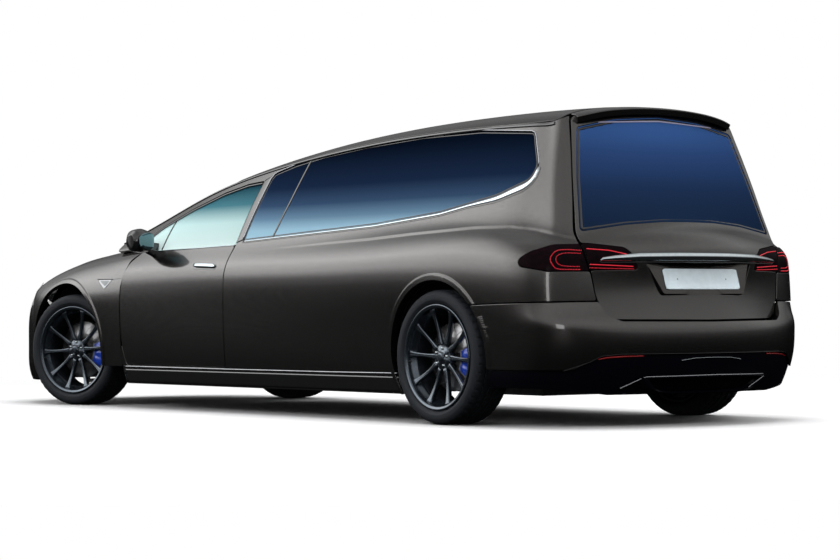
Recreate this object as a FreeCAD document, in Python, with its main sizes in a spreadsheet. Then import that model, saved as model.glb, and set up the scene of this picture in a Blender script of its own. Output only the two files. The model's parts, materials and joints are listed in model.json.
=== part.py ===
import FreeCAD, Part
import math, os
from FreeCAD import Vector as V

# A long-wheelbase electric hearse.  Millimetres.  +X forward, +Y to the car's left, +Z up.
# Every piece is drawn in the car's own station frame: s = 0 on the rear axle, positive
# forward, y = 0 on the centre plane, z = 0 on the ground.  Each sub-part then gets the same
# Placement, which moves the middle of the car's length to the frame's origin.

doc = FreeCAD.newDocument("hearse")

# ---------------------------------------------------------------- driving sizes
SIZES = [  # alias, value, note
    ("wheelbase", 3860, "rear axle to front axle"),
    ("midlength", 1870, "station of the middle of the car's length"),
    ("tyreradius", 352, "tyre outer radius"),
    ("tyrewidth", 245, "tyre section width"),
    ("rimradius", 277, "rim flange radius, 21 inch wheel"),
    ("bead", 262, "bead seat radius of the rim"),
    ("reartrack", 850, "rear wheel centre from the centre plane"),
    ("fronttrack", 830, "front wheel centre from the centre plane, wheels straight"),
    ("kingpin", 790, "steering axis from the centre plane"),
    ("steerangle", 18.65, "front wheels as parked, degrees to the left"),
    ("steerratio", 12, "steering wheel turn for each degree of the road wheels"),
    ("archradius", 400, "rear wheel arch in the skin"),
    ("frontarch", 420, "front wheel arch in the skin"),
    ("linerradius", 424, "inside of the wheel arch liner"),
    ("wellwall", 500, "inner side of the front wheel wells, from the centre plane"),
    ("wallthick", 80, "body side, outer skin to inner trim"),
    ("doorthick", 105, "door, outer skin to inner trim"),
    ("roofthick", 38, "roof"),
    ("glassthick", 6, "window glass"),
    ("shutgap", 6, "gap round doors and lids"),
    ("floorlow", 270, "underside of the floor"),
    ("floorthick", 30, "floor"),
    ("batterylow", 150, "ground clearance, underside of the battery"),
    ("batterythick", 118, "battery pack"),
    ("batterylength", 2560, "battery pack"),
    ("batterywidth", 1440, "battery pack"),
    ("decktop", 640, "top of the load deck"),
    ("platewidth", 520, "number plate"),
    ("plateheight", 110, "number plate"),
    ("spokecount", 10, "spokes of a wheel"),
    ("discradius", 180, "brake disc"),
]
sheet = doc.addObject("Spreadsheet::Sheet", "sizes")
for row, (alias, value, note) in enumerate(SIZES, start=1):
    sheet.set("A%d" % row, note)
    sheet.set("B%d" % row, str(value))
    sheet.setAlias("B%d" % row, alias)
doc.recompute()


def size(alias):
    return float(sheet.get(alias))


WB = size("wheelbase")
MID = size("midlength")
HOME = FreeCAD.Placement(V(-MID, 0, 0), FreeCAD.Rotation())
AXLE_Z = size("tyreradius")
SUBPARTS = []


def keep(obj, label, place=None):
    obj.Label = label
    obj.Placement = place if place is not None else HOME
    SUBPARTS.append(obj)
    return obj


def feature(label, shape, place=None):
    obj = doc.addObject("Part::Feature", label)
    obj.Shape = shape
    return keep(obj, label, place)


# ---------------------------------------------------------------- surface helpers
def relax(line):
    """Poles that bring a cubic curve close to its points."""
    n = len(line)
    out = [line[0]]
    for i in range(1, n - 1):
        out.append(line[i] - (line[i - 1] - line[i] * 2 + line[i + 1]) * (1.0 / 6.0))
    return out + [line[-1]]


def surface(grid):
    """A clamped, uniform cubic surface close to a grid of points."""
    cols = [relax([row[j] for row in grid]) for j in range(len(grid[0]))]
    poles = [relax([c[i] for c in cols]) for i in range(len(grid))]
    s = Part.BSplineSurface()
    nu, nv = len(poles), len(poles[0])
    du, dv = min(3, nu - 1), min(3, nv - 1)
    ku, kv = list(range(nu - du + 1)), list(range(nv - dv + 1))
    mu = [du + 1] + [1] * (len(ku) - 2) + [du + 1]
    mv = [dv + 1] + [1] * (len(kv) - 2) + [dv + 1]
    s.buildFromPolesMultsKnots(poles, mu, mv, [float(k) for k in ku], [float(k) for k in kv],
                               False, False, du, dv)
    return s


def shell_solid(faces):
    sh = Part.makeShell(faces)
    sh.sewShape()
    sol = Part.makeSolid(sh)
    if sol.Volume < 0:
        sol.reverse()
    return sol


def thick_patch(outer, inner):
    """A closed solid between two point grids of the same size."""
    a, b = surface(outer), surface(inner)
    ua, ub, va, vb = a.bounds()
    uc, ud, vc, vd = b.bounds()
    rim = [
        (a.uIso(ua), b.uIso(uc)), (a.uIso(ub), b.uIso(ud)),
        (a.vIso(va), b.vIso(vc)), (a.vIso(vb), b.vIso(vd)),
    ]
    faces = [a.toShape(), b.toShape()]
    for p, q in rim:
        faces.append(Part.makeRuledSurface(p.toShape(), q.toShape()))
    return shell_solid(faces)


def plan_inset(grid, t):
    """Moves each point of a wall inward, square to the wall's plan curve."""
    out = []
    n = len(grid)
    for i in range(n):
        row = []
        for j in range(len(grid[i])):
            a, b = grid[max(i - 1, 0)][j], grid[min(i + 1, n - 1)][j]
            d = V(b.x - a.x, b.y - a.y, 0)
            d.normalize()
            row.append(grid[i][j] + V(-d.y, d.x, 0) * t)
        out.append(row)
    return out


def mirror(shape):
    return shape.mirror(V(0, 0, 0), V(0, 1, 0))


def prism(points, axis, low, high):
    """A straight-sided prism: a closed outline of corners (p, q, fillet radius) in the plane
    square to the axis (x: y,z   y: s,z   z: s,y), from low to high along it."""
    def place(p, q):
        return {"x": V(low, p, q), "y": V(p, low, q), "z": V(p, q, low)}[axis]
    n = len(points)
    pts = [place(p[0], p[1]) for p in points]
    rad = [(p[2] if len(p) > 2 else 0) for p in points]
    edges, last, first = [], None, None
    for i in range(n):
        p, prev, nxt = pts[i], pts[i - 1], pts[(i + 1) % n]
        a, b = (prev - p), (nxt - p)
        la, lb = a.Length, b.Length
        a.normalize(); b.normalize()
        if rad[i] > 0:
            half = a.getAngle(b) / 2.0
            t = rad[i] / math.tan(half)
            t = min(t, 0.49 * la, 0.49 * lb)
            r = t * math.tan(half)
            s0, s1 = p + a * t, p + b * t
            mid = (a + b)
            mid.normalize()
            m = p + mid * (r / math.sin(half) - r)
            seg = Part.Arc(s0, m, s1).toShape()
        else:
            s0 = s1 = p
            seg = None
        if last is not None and (s0 - last).Length > 1e-6:
            edges.append(Part.LineSegment(last, s0).toShape())
        if first is None:
            first = s0
        if seg is not None:
            edges.append(seg)
        last = s1
    if (first - last).Length > 1e-6:
        edges.append(Part.LineSegment(last, first).toShape())
    face = Part.Face(Part.Wire(edges))
    d = {"x": V(1, 0, 0), "y": V(0, 1, 0), "z": V(0, 0, 1)}[axis] * (high - low)
    return face.extrude(d)


def box(x0, x1, y0, y1, z0, z1):
    return Part.makeBox(x1 - x0, y1 - y0, z1 - z0, V(x0, y0, z0))


def solids_only(shape):
    s = shape.Solids
    if len(s) == 1:
        return s[0]
    return Part.makeCompound(s)


def biggest(shape):
    return sorted(shape.Solids, key=lambda q: -q.Volume)[0]


# ---------------------------------------------------------------- body side
# One row a station, from the windscreen base back to the last straight station.
# y at the sill (z 150), strip (255), low door (380), waist (600), shoulder (790); then the
# haunch edge, the crease at the belt and the drip rail, each as y and z.
SIDE = [
    # s,   ysill ystrip ylow ywaist yshoul yhaunch zhaunch ybelt zbelt ydrip zdrip
    (3550, 900, 930, 945, 955, 945, 905, 870, 822, 952, 788, 985),
    (3200, 900, 930, 945, 953, 945, 912, 880, 850, 957, 738, 1092),
    (2700, 898, 930, 943, 948, 942, 915, 885, 868, 962, 675, 1275),
    (2200, 898, 930, 943, 948, 945, 918, 890, 874, 970, 660, 1385),
    (1600, 898, 930, 943, 950, 950, 920, 900, 868, 983, 660, 1470),
    (1000, 900, 932, 945, 957, 958, 925, 920, 858, 1007, 655, 1525),
    (500, 904, 936, 950, 968, 972, 935, 945, 848, 1035, 648, 1552),
    (0, 908, 942, 956, 978, 982, 942, 962, 838, 1052, 640, 1563),
    (-350, 905, 940, 955, 975, 975, 935, 955, 822, 1040, 632, 1560),
]
# Round the rear corner each level has its own station.  Pairs (s, y) for the five low levels,
# then (s, y, z) of the haunch edge, belt crease and drip rail.
CORNER = [
    ((-590, 890), (-590, 926), (-590, 942), (-590, 956), (-590, 952),
     (-590, 912, 925), (-530, 790, 1017), (-440, 624, 1560)),
    ((-740, 835), (-750, 868), (-752, 880), (-748, 884), (-742, 878),
     (-732, 850, 905), (-672, 764, 988), (-520, 606, 1560)),
    ((-830, 750), (-836, 775), (-836, 786), (-824, 790), (-812, 788),
     (-796, 782, 905), (-728, 742, 975), (-566, 596, 1574)),
    ((-890, 590), (-895, 600), (-900, 606), (-899, 606), (-871, 645),
     (-843, 672, 912), (-800, 678, 966), (-616, 550, 1594)),
]
LOW_Z = (150, 255, 380, 600, 790)
GLASS_STEPS = (0.25, 0.62)  # between belt and drip rail
BULGE = 12.0


def side_rows():
    rows = []
    for r in SIDE:
        s = r[0]
        row = [V(s, y, z) for y, z in zip(r[1:6], LOW_Z)]
        row += [V(s, r[6], r[7]), V(s, r[8], r[9])]
        top = V(s, r[10], r[11])
        rows.append((row, top))
    for c in CORNER:
        row = [V(p[0], p[1], z) for p, z in zip(c[:5], LOW_Z)]
        row += [V(*c[5]), V(*c[6])]
        rows.append((row, V(*c[7])))
    out = []
    for row, top in rows:
        belt = row[-1]
        for f in GLASS_STEPS:
            p = belt + (top - belt) * f
            row.append(p + V(0, BULGE * 4 * f * (1 - f), 0))
        row.append(top)
        out.append(row)
    return out


SIDE_GRID = side_rows()
side_wall = thick_patch(SIDE_GRID, plan_inset(SIDE_GRID, size("wallthick")))

GAP = size("shutgap")
# door outline, corners (s, z, radius)
DOOR = [(2044, 268, 25), (3146, 268, 30), (3196, 430, 300), (3196, 740, 300), (3150, 900, 60),
        (3078, 958, 12), (2030, 978, 12), (2046, 800, 200)]
DOOR_GLASS = [(2024, 984, 4), (3080, 962, 4), (3100, 1040, 30), (2990, 1116, 300),
              (2720, 1214, 400), (2400, 1300, 400), (2150, 1342, 300), (1984, 1352, 8)]


def grow(points, d):
    """Offset of a corner outline, outward for d > 0; the outline runs either way round."""
    n = len(points)
    area = sum(points[i][0] * points[(i + 1) % n][1] - points[(i + 1) % n][0] * points[i][1]
               for i in range(n))
    k = d if area > 0 else -d
    out = []
    for i in range(n):
        (x0, z0), (x1, z1), (x2, z2) = [points[j][:2] for j in (i - 1, i, (i + 1) % n)]
        a = math.hypot(x1 - x0, z1 - z0)
        b = math.hypot(x2 - x1, z2 - z1)
        n1 = ((z1 - z0) / a, -(x1 - x0) / a)
        n2 = ((z2 - z1) / b, -(x2 - x1) / b)
        den = 1 + n1[0] * n2[0] + n1[1] * n2[1]
        r = points[i][2] if len(points[i]) > 2 else 0
        out.append((x1 + k * (n1[0] + n2[0]) / den, z1 + k * (n1[1] + n2[1]) / den,
                    max(r + d, 0) if r > 0 else 0))
    return out


SIDE_GLASS = [(1960, 1005, 6), (1300, 1036, 600), (700, 1064, 900), (150, 1112, 900),
              (-280, 1185, 500), (-492, 1262, 110), (-512, 1340, 60), (-430, 1512, 40),
              (0, 1540, 900), (500, 1538, 900), (1000, 1512, 900), (1400, 1478, 600),
              (1680, 1440, 500), (1905, 1392, 60)]

arch_rear = Part.makeCylinder(size("archradius"), 700, V(0, 400, AXLE_Z), V(0, 1, 0))
arch_front = Part.makeCylinder(size("frontarch"), 700, V(WB, 400, AXLE_Z), V(0, 1, 0))

wing_cut = prism([(3203, 100), (3700, 100), (3700, 930), (3480, 965), (3300, 975),
                  (3120, 972), (3103, 960), (3163, 905), (3203, 745)], "y", 300, 1100)
# seam between the body side and the bumper, a little higher at the back
bumper_cut = prism([(-1300, 100), (-240, 100), (-240, 624.6), (-1300, 650)], "y", 300, 1100)
# tail lamp in the body side, square to a plane at 45 degrees; corners (w, z, r)
TAIL_LAMP = [(250, 822, 25), (150, 892, 80), (40, 926, 120), (-135, 930, 4), (-240, 915, 4),
             (-240, 790, 4), (60, 788, 60)]


def turned_lamp(points, low, high):
    pr = prism([(w, z, r) for w, z, r in points], "y", low, high)
    pr.rotate(V(0, 0, 0), V(0, 0, 1), 45)
    return pr


lamp_cut = turned_lamp(grow(TAIL_LAMP, 1.5), 500, 1500)
# tailgate outline seen from behind: corners (y, z, radius)
GATE_HALF = [(0, 541), (545, 546, 40), (600, 576, 60), (634, 660, 200), (650, 770, 300),
             (676, 880, 200), (688, 975, 200), (630, 1265, 900), (562, 1572, 16), (470, 1636),
             (300, 1672), (0, 1684)]


def both(half):
    return half + [(-p[0], p[1], p[2] if len(p) > 2 else 0) for p in reversed(half[1:-1])]


gate_outline = both(GATE_HALF)
side = side_wall
for tool in (arch_rear, bumper_cut, wing_cut,
             prism(grow(DOOR, GAP), "y", 300, 1100),
             prism(grow(DOOR_GLASS, GAP), "y", 300, 1100),
             prism(SIDE_GLASS, "y", 300, 1100)):
    side = side.cut(tool)
# the sliver of belt between door and door glass goes with the door
side = side.cut(prism([(2026, 940), (3120, 940), (3120, 985), (2018, 1000)], "y", 300, 1100))
side = side.cut(lamp_cut)
# the pillar foot ends behind the bonnet's hinge line
side = side.cut(box(3430, 3700, 300, 1100, 900, 1100))
side = side.cut(prism(grow(gate_outline, GAP + 1), "x", -1300, -450))
side = solids_only(side)
feature("side_panel_left", side)
feature("side_panel_right", mirror(side))


# ---------------------------------------------------------------- glass in the body side
def skin_slice(grid, depth, thick):
    """A thin sheet that follows the skin, depth inside it."""
    return thick_patch(plan_inset(grid, depth), plan_inset(grid, depth + thick))


glass_sheet = skin_slice(SIDE_GRID, 5, size("glassthick"))
side_glass = solids_only(glass_sheet.common(prism(grow(SIDE_GLASS, -1.0), "y", 300, 1100)))
feature("side_glass_left", side_glass)
feature("side_glass_right", mirror(side_glass))

# ---------------------------------------------------------------- doors
door_wall = thick_patch(SIDE_GRID[:7], [[p + V(0, -size("doorthick"), 0) for p in row]
                                        for row in SIDE_GRID[:7]])
door = biggest(door_wall.common(prism(DOOR, "y", 300, 1100)))
# the rear inner edge is drafted so that it swings out past the body
door = biggest(door.cut(prism([(2000, 700), (2085, 700), (2050, 880), (2000, 1100)],
                              "z", 100, 1200)))
door = biggest(door.cut(prism([(3120, 700), (3250, 700), (3250, 905), (3178, 905)],
                              "z", 100, 1200)))
door_glass = biggest(skin_slice(SIDE_GRID[:7], 8, size("glassthick")).common(
    prism(DOOR_GLASS, "y", 300, 1100)))
# the glass runs down into the door: a strip of the same sheet below the belt
glass_root = biggest(skin_slice(SIDE_GRID[:7], 8, size("glassthick")).common(
    prism([(2060, 950), (3060, 935), (3060, 990), (2060, 1000)], "y", 300, 1100)))
door_glass = biggest(door_glass.fuse(glass_root))
door = biggest(door.cut(prism([(2050, 940), (3070, 925), (3070, 1000), (2050, 1010)],
                              "y", 300, 1100).common(
    thick_patch(plan_inset(SIDE_GRID[:7], 7), plan_inset(SIDE_GRID[:7], 15)))))
feature("door_left", door)
feature("door_right", mirror(door))
feature("door_glass_left", door_glass)
feature("door_glass_right", mirror(door_glass))

# door mirror: an oval shell on an arm that stands on the door's front top corner
MIRROR_SECTIONS = [  # y, s centre, z centre, half length, half height
    (905, 2925, 1012, 60, 42), (940, 2905, 1020, 84, 66), (1000, 2880, 1024, 92, 74),
    (1052, 2866, 1022, 84, 66), (1078, 2860, 1018, 50, 40)]
wires = []
for y, sc, zc, a, b in MIRROR_SECTIONS:
    e = Part.Ellipse(V(sc, y, zc), a, b).toShape()
    e.rotate(V(sc, y, zc), V(1, 0, 0), 90)
    wires.append(Part.Wire([e]))
head = Part.makeLoft(wires, True, False)
arm = prism([(2880, 870), (2960, 868), (2950, 940), (2880, 940)], "z", 955, 1000)
arm = arm.cut(thick_patch([[p + V(0, 1, 0) for p in row] for row in SIDE_GRID[:7]],
                          [[p + V(0, -140, 0) for p in row] for row in SIDE_GRID[:7]]))
door_mirror = biggest(head.fuse(biggest(arm)))
feature("mirror_left", door_mirror)
feature("mirror_right", mirror(door_mirror))

# ---------------------------------------------------------------- roof
CROWN = [(2470, 1428), (2200, 1478), (1600, 1565), (1000, 1620), (500, 1648), (0, 1660),
         (-300, 1661), (-552, 1656)]  # s, z on the centre plane
DROP = [(0.0, 0.0), (0.30, 0.045), (0.55, 0.17), (0.75, 0.37), (0.90, 0.66), (1.0, 1.0)]


def drip(s):
    pts = sorted([(r[0], r[10], r[11]) for r in SIDE] + [(c[7][0], c[7][1], c[7][2])
                                                          for c in CORNER])
    for a, b in zip(pts, pts[1:]):
        if a[0] <= s <= b[0]:
            k = (s - a[0]) / (b[0] - a[0])
            return a[1] + k * (b[1] - a[1]), a[2] + k * (b[2] - a[2])
    return pts[0][1:] if s < pts[0][0] else pts[-1][1:]


def roof_row(s, zc):
    yd, zd = drip(s)
    half = [V(s, yd * f, zc - (zc - zd) * d) for f, d in DROP]
    return [V(p.x, -p.y, p.z) for p in reversed(half[1:])] + half


ROOF_GRID = [roof_row(s, z) for s, z in CROWN]
roof = thick_patch(ROOF_GRID, [[p - V(0, 0, size("roofthick")) for p in row]
                               for row in ROOF_GRID])
roof = roof.cut(side_wall)
roof = biggest(roof.cut(mirror(side_wall)))
# windscreen opening: the header is bowed forward
roof = biggest(roof.cut(prism([(2600, -900), (2600, 900), (2300, 900), (2352, 640), (2446, 330),
                               (2458, 0), (2446, -330), (2352, -640), (2300, -900)],
                              "z", 900, 1900)))
feature("roof", roof)

# ---------------------------------------------------------------- windscreen
SCREEN = [  # rows from header to cowl: centre (s, z), middle (s, y, z), edge (s, y, z)
    ((2466, 1428), (2452, 330, 1410), (2362, 628, 1352)),
    ((2760, 1352), (2735, 345, 1334), (2600, 652, 1290)),
    ((3080, 1235), (3040, 360, 1218), (2900, 690, 1192)),
    ((3400, 1098), (3350, 380, 1085), (3180, 728, 1095)),
    ((3700, 962), (3640, 400, 958), (3440, 765, 985)),
]


def screen_row(r):
    c, m, e = r
    return [V(e[0], -e[1], e[2]), V(m[0], -m[1], m[2]), V(c[0], 0, c[1]),
            V(m[0], m[1], m[2]), V(e[0], e[1], e[2])]


SCREEN_GRID = [screen_row(r) for r in SCREEN]
screen = thick_patch([[p - V(0, 0, 3) for p in r] for r in SCREEN_GRID],
                     [[p - V(3, 0, 11) for p in r] for r in SCREEN_GRID])
screen = biggest(screen.cut(side_wall))
screen = biggest(screen.cut(mirror(side_wall)))
screen = biggest(screen.cut(roof))
feature("windscreen", screen)

# ---------------------------------------------------------------- front wings
BONNET_PLAN = [(3720, 0), (3655, 400), (3468, 735), (3700, 729), (4000, 723), (4250, 713),
               (4420, 690), (4540, 620), (4620, 480), (4668, 250), (4682, 0)]
bonnet_outline = BONNET_PLAN + [(p[0], -p[1]) for p in reversed(BONNET_PLAN[1:-1])]
WING = [  # s, y at strip, low door, waist, z 740; then (y, z) of shoulder, crest, bonnet seam
    (3060, 930, 944, 952, 946, 909, 887, 853, 957, 750, 1012),
    (3205, 930, 945, 953, 947, 905, 888, 845, 955, 742, 990),
    (3550, 930, 945, 958, 950, 892, 880, 812, 936, 738, 962),
    (3860, 935, 952, 970, 960, 888, 862, 802, 905, 735, 930),
    (4130, 930, 950, 966, 946, 866, 830, 786, 862, 728, 884),
    (4330, 922, 938, 938, 896, 820, 786, 758, 812, 712, 828),
    (4480, 868, 884, 876, 810, 744, 730, 706, 750, 684, 764),
]


def wing_rows():
    out = []
    for r in WING:
        row = [V(r[0], y, z) for y, z in zip(r[1:5], (255, 380, 600, 740))]
        row += [V(r[0], r[5], r[6]), V(r[0], r[7], r[8]), V(r[0], r[9], r[10])]
        out.append(row)
    return out


WING_GRID = wing_rows()
wing = thick_patch(WING_GRID, [[p + V(0, -28, -22) for p in row] for row in WING_GRID])
wing = wing.cut(arch_front).cut(prism(grow(DOOR, GAP + 1), "y", 300, 1100))
wing = wing.cut(prism([(3000, 100), (3205, 100), (3205, 746), (3165, 906), (3106, 960),
                       (3106, 1100), (3000, 1100)], "y", 300, 1100))
for q in side.Solids:
    wing = biggest(wing.cut(q))
# the front edge meets the bumper and the lamp on a raked line
wing = wing.cut(prism([(4268, 100), (4700, 100), (4700, 900), (4452, 900), (4395, 770),
                       (4318, 600), (4268, 420)], "y", 300, 1100))
wing = wing.cut(box(3840, 4600, 300, 1100, 100, 300))
wing = biggest(wing.cut(prism(grow(bonnet_outline, GAP), "z", 600, 1200)))
feature("front_wings", Part.makeCompound([q for w in (wing, mirror(wing)) for q in w.Solids]))

# ---------------------------------------------------------------- bonnet
BONNET = [  # s, z at the centre, y 300, y 550, seam; y of the seam
    (3400, 1020, 1014, 998, 981, 741), (3700, 998, 991, 974, 949, 737),
    (4000, 962, 954, 937, 908, 731), (4250, 918, 910, 890, 852, 722),
    (4450, 868, 858, 832, 780, 694), (4620, 808, 796, 755, 694, 655),
    (4740, 740, 724, 672, 610, 610),
]


def bonnet_row(r):
    s, z0, z1, z2, z3, ye = r
    half = [V(s, 0, z0), V(s, 300, z1), (V(s, 550, z2)), V(s, ye, z3)]
    return [V(p.x, -p.y, p.z) for p in reversed(half[1:])] + half


BONNET_GRID = [bonnet_row(r) for r in BONNET]
bonnet = thick_patch(BONNET_GRID, [[p - V(0, 0, 26) for p in row] for row in BONNET_GRID])
bonnet = biggest(bonnet.common(prism(bonnet_outline, "z", 500, 1200)))
feature("bonnet", bonnet)

# ---------------------------------------------------------------- front bumper and lamps
NOSE_LEVELS = [  # z, forward shift of the nose, inset of the sides
    (150, -60, 24), (220, 4, 4), (350, 0, 2), (480, 0, 0), (600, -22, 6), (700, -88, 34),
    (790, -190, 88)]
NOSE_PLAN = [  # s, y, share of the shift that this point takes
    (4200, 952, 0.0), (4320, 936, 0.12), (4450, 893, 0.35), (4580, 816, 0.6),
    (4700, 686, 0.8), (4780, 470, 0.95), (4815, 230, 1.0), (4822, 0, 1.0)]


def around(levels, plan):
    rows = []
    for z, shift, inset in levels:
        half = [V(s + shift * k, y - inset * (1 - 0.6 * k) if y else 0, z) for s, y, k in plan]
        rows.append(half + [V(p.x, -p.y, p.z) for p in reversed(half[:-1])])
    # station first, level second
    return [[rows[j][i] for j in range(len(rows))] for i in range(len(rows[0]))]


NOSE_GRID = around(NOSE_LEVELS, NOSE_PLAN)
nose_in = plan_inset(NOSE_GRID, -70)
nose = thick_patch(NOSE_GRID, nose_in)
arch_front_r = mirror(arch_front)
HEADLAMP = [(4345, 648, 8), (4460, 618, 30), (4640, 612, 40), (4725, 640, 20), (4705, 690, 20),
            (4560, 752, 60), (4440, 812, 10), (4405, 770, 4)]
lamp_pr = prism(HEADLAMP, "y", 540, 1100)
lamp_hole = prism(grow(HEADLAMP, 1.5), "y", 540, 1100)
nose_cut = prism([(4000, 100), (4271, 100), (4271, 420), (4321, 600), (4398, 770),
                  (4455, 900), (4000, 900)], "y", -1100, 1100)
bumper = nose.cut(nose_cut).cut(lamp_hole).cut(mirror(lamp_hole))
bumper = bumper.cut(arch_front).cut(arch_front_r)
# the bonnet closes on its top edge
lid = thick_patch([[p + V(0, 0, 400) for p in row] for row in BONNET_GRID],
                  [[p - V(0, 0, 33) for p in row] for row in BONNET_GRID])
bumper = bumper.cut(lid)
# low air opening
bumper = bumper.cut(box(4600, 4900, -520, 520, 215, 330))
bumper = solids_only(bumper)
feature("front_bumper", biggest(bumper))
lamp_sheet = thick_patch(plan_inset(NOSE_GRID, -1), plan_inset(NOSE_GRID, -62))
headlamp = biggest(lamp_sheet.cut(nose_cut).common(lamp_pr).cut(lid).cut(wing))
feature("headlamps", Part.makeCompound([headlamp, mirror(headlamp)]))

# ---------------------------------------------------------------- rear bumper, diffuser
TAIL_Z = (150, 215, 300, 390, 480, 545, 600, 665)
TAIL = [  # each station from the arch round to the middle: (s, y) at every level
    [(-260, 905), (-260, 935), (-260, 948), (-260, 957), (-260, 966), (-260, 971),
     (-260, 975), (-260, 977)],
    [(-470, 900), (-470, 932), (-470, 946), (-470, 955), (-470, 964), (-470, 968),
     (-470, 971), (-470, 972)],
    [(-600, 880), (-606, 914), (-609, 930), (-611, 940), (-611, 947), (-611, 951),
     (-609, 952), (-607, 951)],
    [(-712, 828), (-720, 862), (-730, 884), (-736, 897), (-738, 902), (-740, 903),
     (-736, 894), (-732, 889)],
    [(-785, 756), (-800, 785), (-817, 810), (-827, 825), (-829, 827), (-829, 824),
     (-817, 800), (-808, 796)],
    [(-845, 660), (-870, 688), (-893, 708), (-907, 720), (-909, 722), (-904, 718),
     (-884, 700), (-866, 696)],
    [(-905, 476), (-945, 508), (-978, 528), (-993, 536), (-994, 536), (-982, 532),
     (-950, 520), (-920, 510)],
    [(-950, 250), (-1003, 265), (-1042, 277), (-1060, 280), (-1060, 280), (-1046, 278),
     (-1010, 272), (-975, 268)],
    [(-965, 0), (-1025, 0), (-1066, 0), (-1085, 0), (-1085, 0), (-1070, 0),
     (-1034, 0), (-998, 0)],
]
tail_half = [[V(p[0], p[1], z) for p, z in zip(row, TAIL_Z)] for row in TAIL]
TAIL_GRID = tail_half + [[V(p.x, -p.y, p.z) for p in row] for row in reversed(tail_half[:-1])]
tail_skin = thick_patch(TAIL_GRID, plan_inset(TAIL_GRID, 70))
rear_bumper = tail_skin.cut(arch_rear).cut(mirror(arch_rear))
# painted cover: above a line that drops from the middle to the corners
DIFFUSER_LINE = [(-1100, 292), (-760, 294), (-704, 336), (-650, 368), (-560, 377), (0, 377),
                 (560, 377), (650, 368), (704, 336), (760, 294), (1100, 292)]
lower = prism(DIFFUSER_LINE + [(1100, 100), (-1100, 100)], "x", -1300, 0)
# the top follows the tailgate's bottom edge between the corners
top_cut = prism(grow(gate_outline, GAP + 1), "x", -1300, -700)
rear_cover = rear_bumper.cut(lower).cut(top_cut).cut(
    prism([(-1300, 646), (-200, 619.6), (-200, 900), (-1300, 900)], "y", -1100, 1100))
rear_cover = biggest(rear_cover)
feature("rear_bumper", rear_cover)
insert = thick_patch(plan_inset(TAIL_GRID, 14), plan_inset(TAIL_GRID, 68))
insert = insert.cut(arch_rear).cut(mirror(arch_rear))
low_in = prism([(y, z - 1.5) for y, z in DIFFUSER_LINE] + [(1100, 100), (-1100, 100)],
               "x", -1300, 0)
diffuser = biggest(insert.common(low_in))
# the centre channel stands out below
channel = prism([(-300, 160, 6), (300, 160, 6), (420, 250, 8), (-420, 250, 8)], "x",
                -1072, -1000)
diffuser = biggest(diffuser.fuse(channel))
feature("rear_diffuser", diffuser)

# ---------------------------------------------------------------- tailgate
GATE = [  # rows from the bottom: centre (s, z), middle (s, y, z), edge (s, y, z)
    ((-1040, 540), (-1006, 300, 541), (-903, 610, 548)),
    ((-1024, 640), (-988, 310, 640), (-880, 640, 640)),
    ((-1014, 750), (-976, 320, 750), (-866, 660, 745)),
    ((-1020, 862), (-978, 335, 858), (-856, 682, 850)),
    ((-1008, 935), (-962, 345, 928), (-834, 692, 914)),
    ((-962, 995), (-920, 345, 982), (-812, 694, 948)),
    ((-900, 1040), (-866, 345, 1028), (-792, 694, 980)),
    ((-845, 1150), (-820, 335, 1138), (-758, 674, 1090)),
    ((-780, 1320), (-758, 315, 1305), (-706, 637, 1262)),
    ((-710, 1480), (-694, 295, 1468), (-658, 600, 1425)),
    ((-655, 1604), (-645, 278, 1594), (-622, 570, 1556)),
    ((-640, 1636), (-630, 275, 1626), (-604, 562, 1584)),
]
GATE_GRID = [screen_row(r) for r in GATE]
gate_skin = thick_patch(GATE_GRID, [[p + V(58 if p.z < 1500 else 40, 0, 0) for p in row]
                                    for row in GATE_GRID])
GATE_WINDOW = both([(0, 1046), (180, 1044, 600), (400, 1028, 600), (664, 990, 14),
                    (609, 1265, 900), (541, 1530, 30), (300, 1580, 600), (0, 1600)])
GATE_LAMP = [(408, 797, 8), (760, 792, 4), (760, 936, 4), (640, 928, 60), (478, 908, 30),
             (444, 880, 14)]
gate = gate_skin.common(prism(gate_outline, "x", -1300, -400))
gate = gate.cut(prism(GATE_WINDOW, "x", -1300, -400))
lamp_pocket = prism(grow(GATE_LAMP, 1.5), "x", -1300, -400).common(
    thick_patch([[p + V(-50, 0, 0) for p in row] for row in GATE_GRID],
                [[p + V(40, 0, 0) for p in row] for row in GATE_GRID]))
gate = gate.cut(lamp_pocket).cut(mirror(lamp_pocket))
# the plate stands in a recess whose floor leans forward at the top
LEAN = 17.0


def recess_floor(z):
    return -976 + (z - 750) * math.tan(math.radians(LEAN))


plate_pocket = prism([(-290, 668, 20), (290, 668, 20), (372, 842, 12), (-372, 842, 12)],
                     "x", -1200, -900)
plate_pocket = plate_pocket.common(prism([(-1200, 600), (recess_floor(600), 600),
                                          (recess_floor(900), 900), (-1200, 900)],
                                         "y", -600, 600))
gate = gate.cut(plate_pocket)
# spoiler on top: its upper face carries on from the roof to a lip behind the glass
def lip_row(s, zc, ye, ze):
    return [V(s, -ye, ze), V(s, -ye * 0.8, zc - (zc - ze) * 0.50),
            V(s, -ye * 0.45, zc - (zc - ze) * 0.12), V(s, 0, zc),
            V(s, ye * 0.45, zc - (zc - ze) * 0.12), V(s, ye * 0.8, zc - (zc - ze) * 0.50),
            V(s, ye, ze)]


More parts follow.
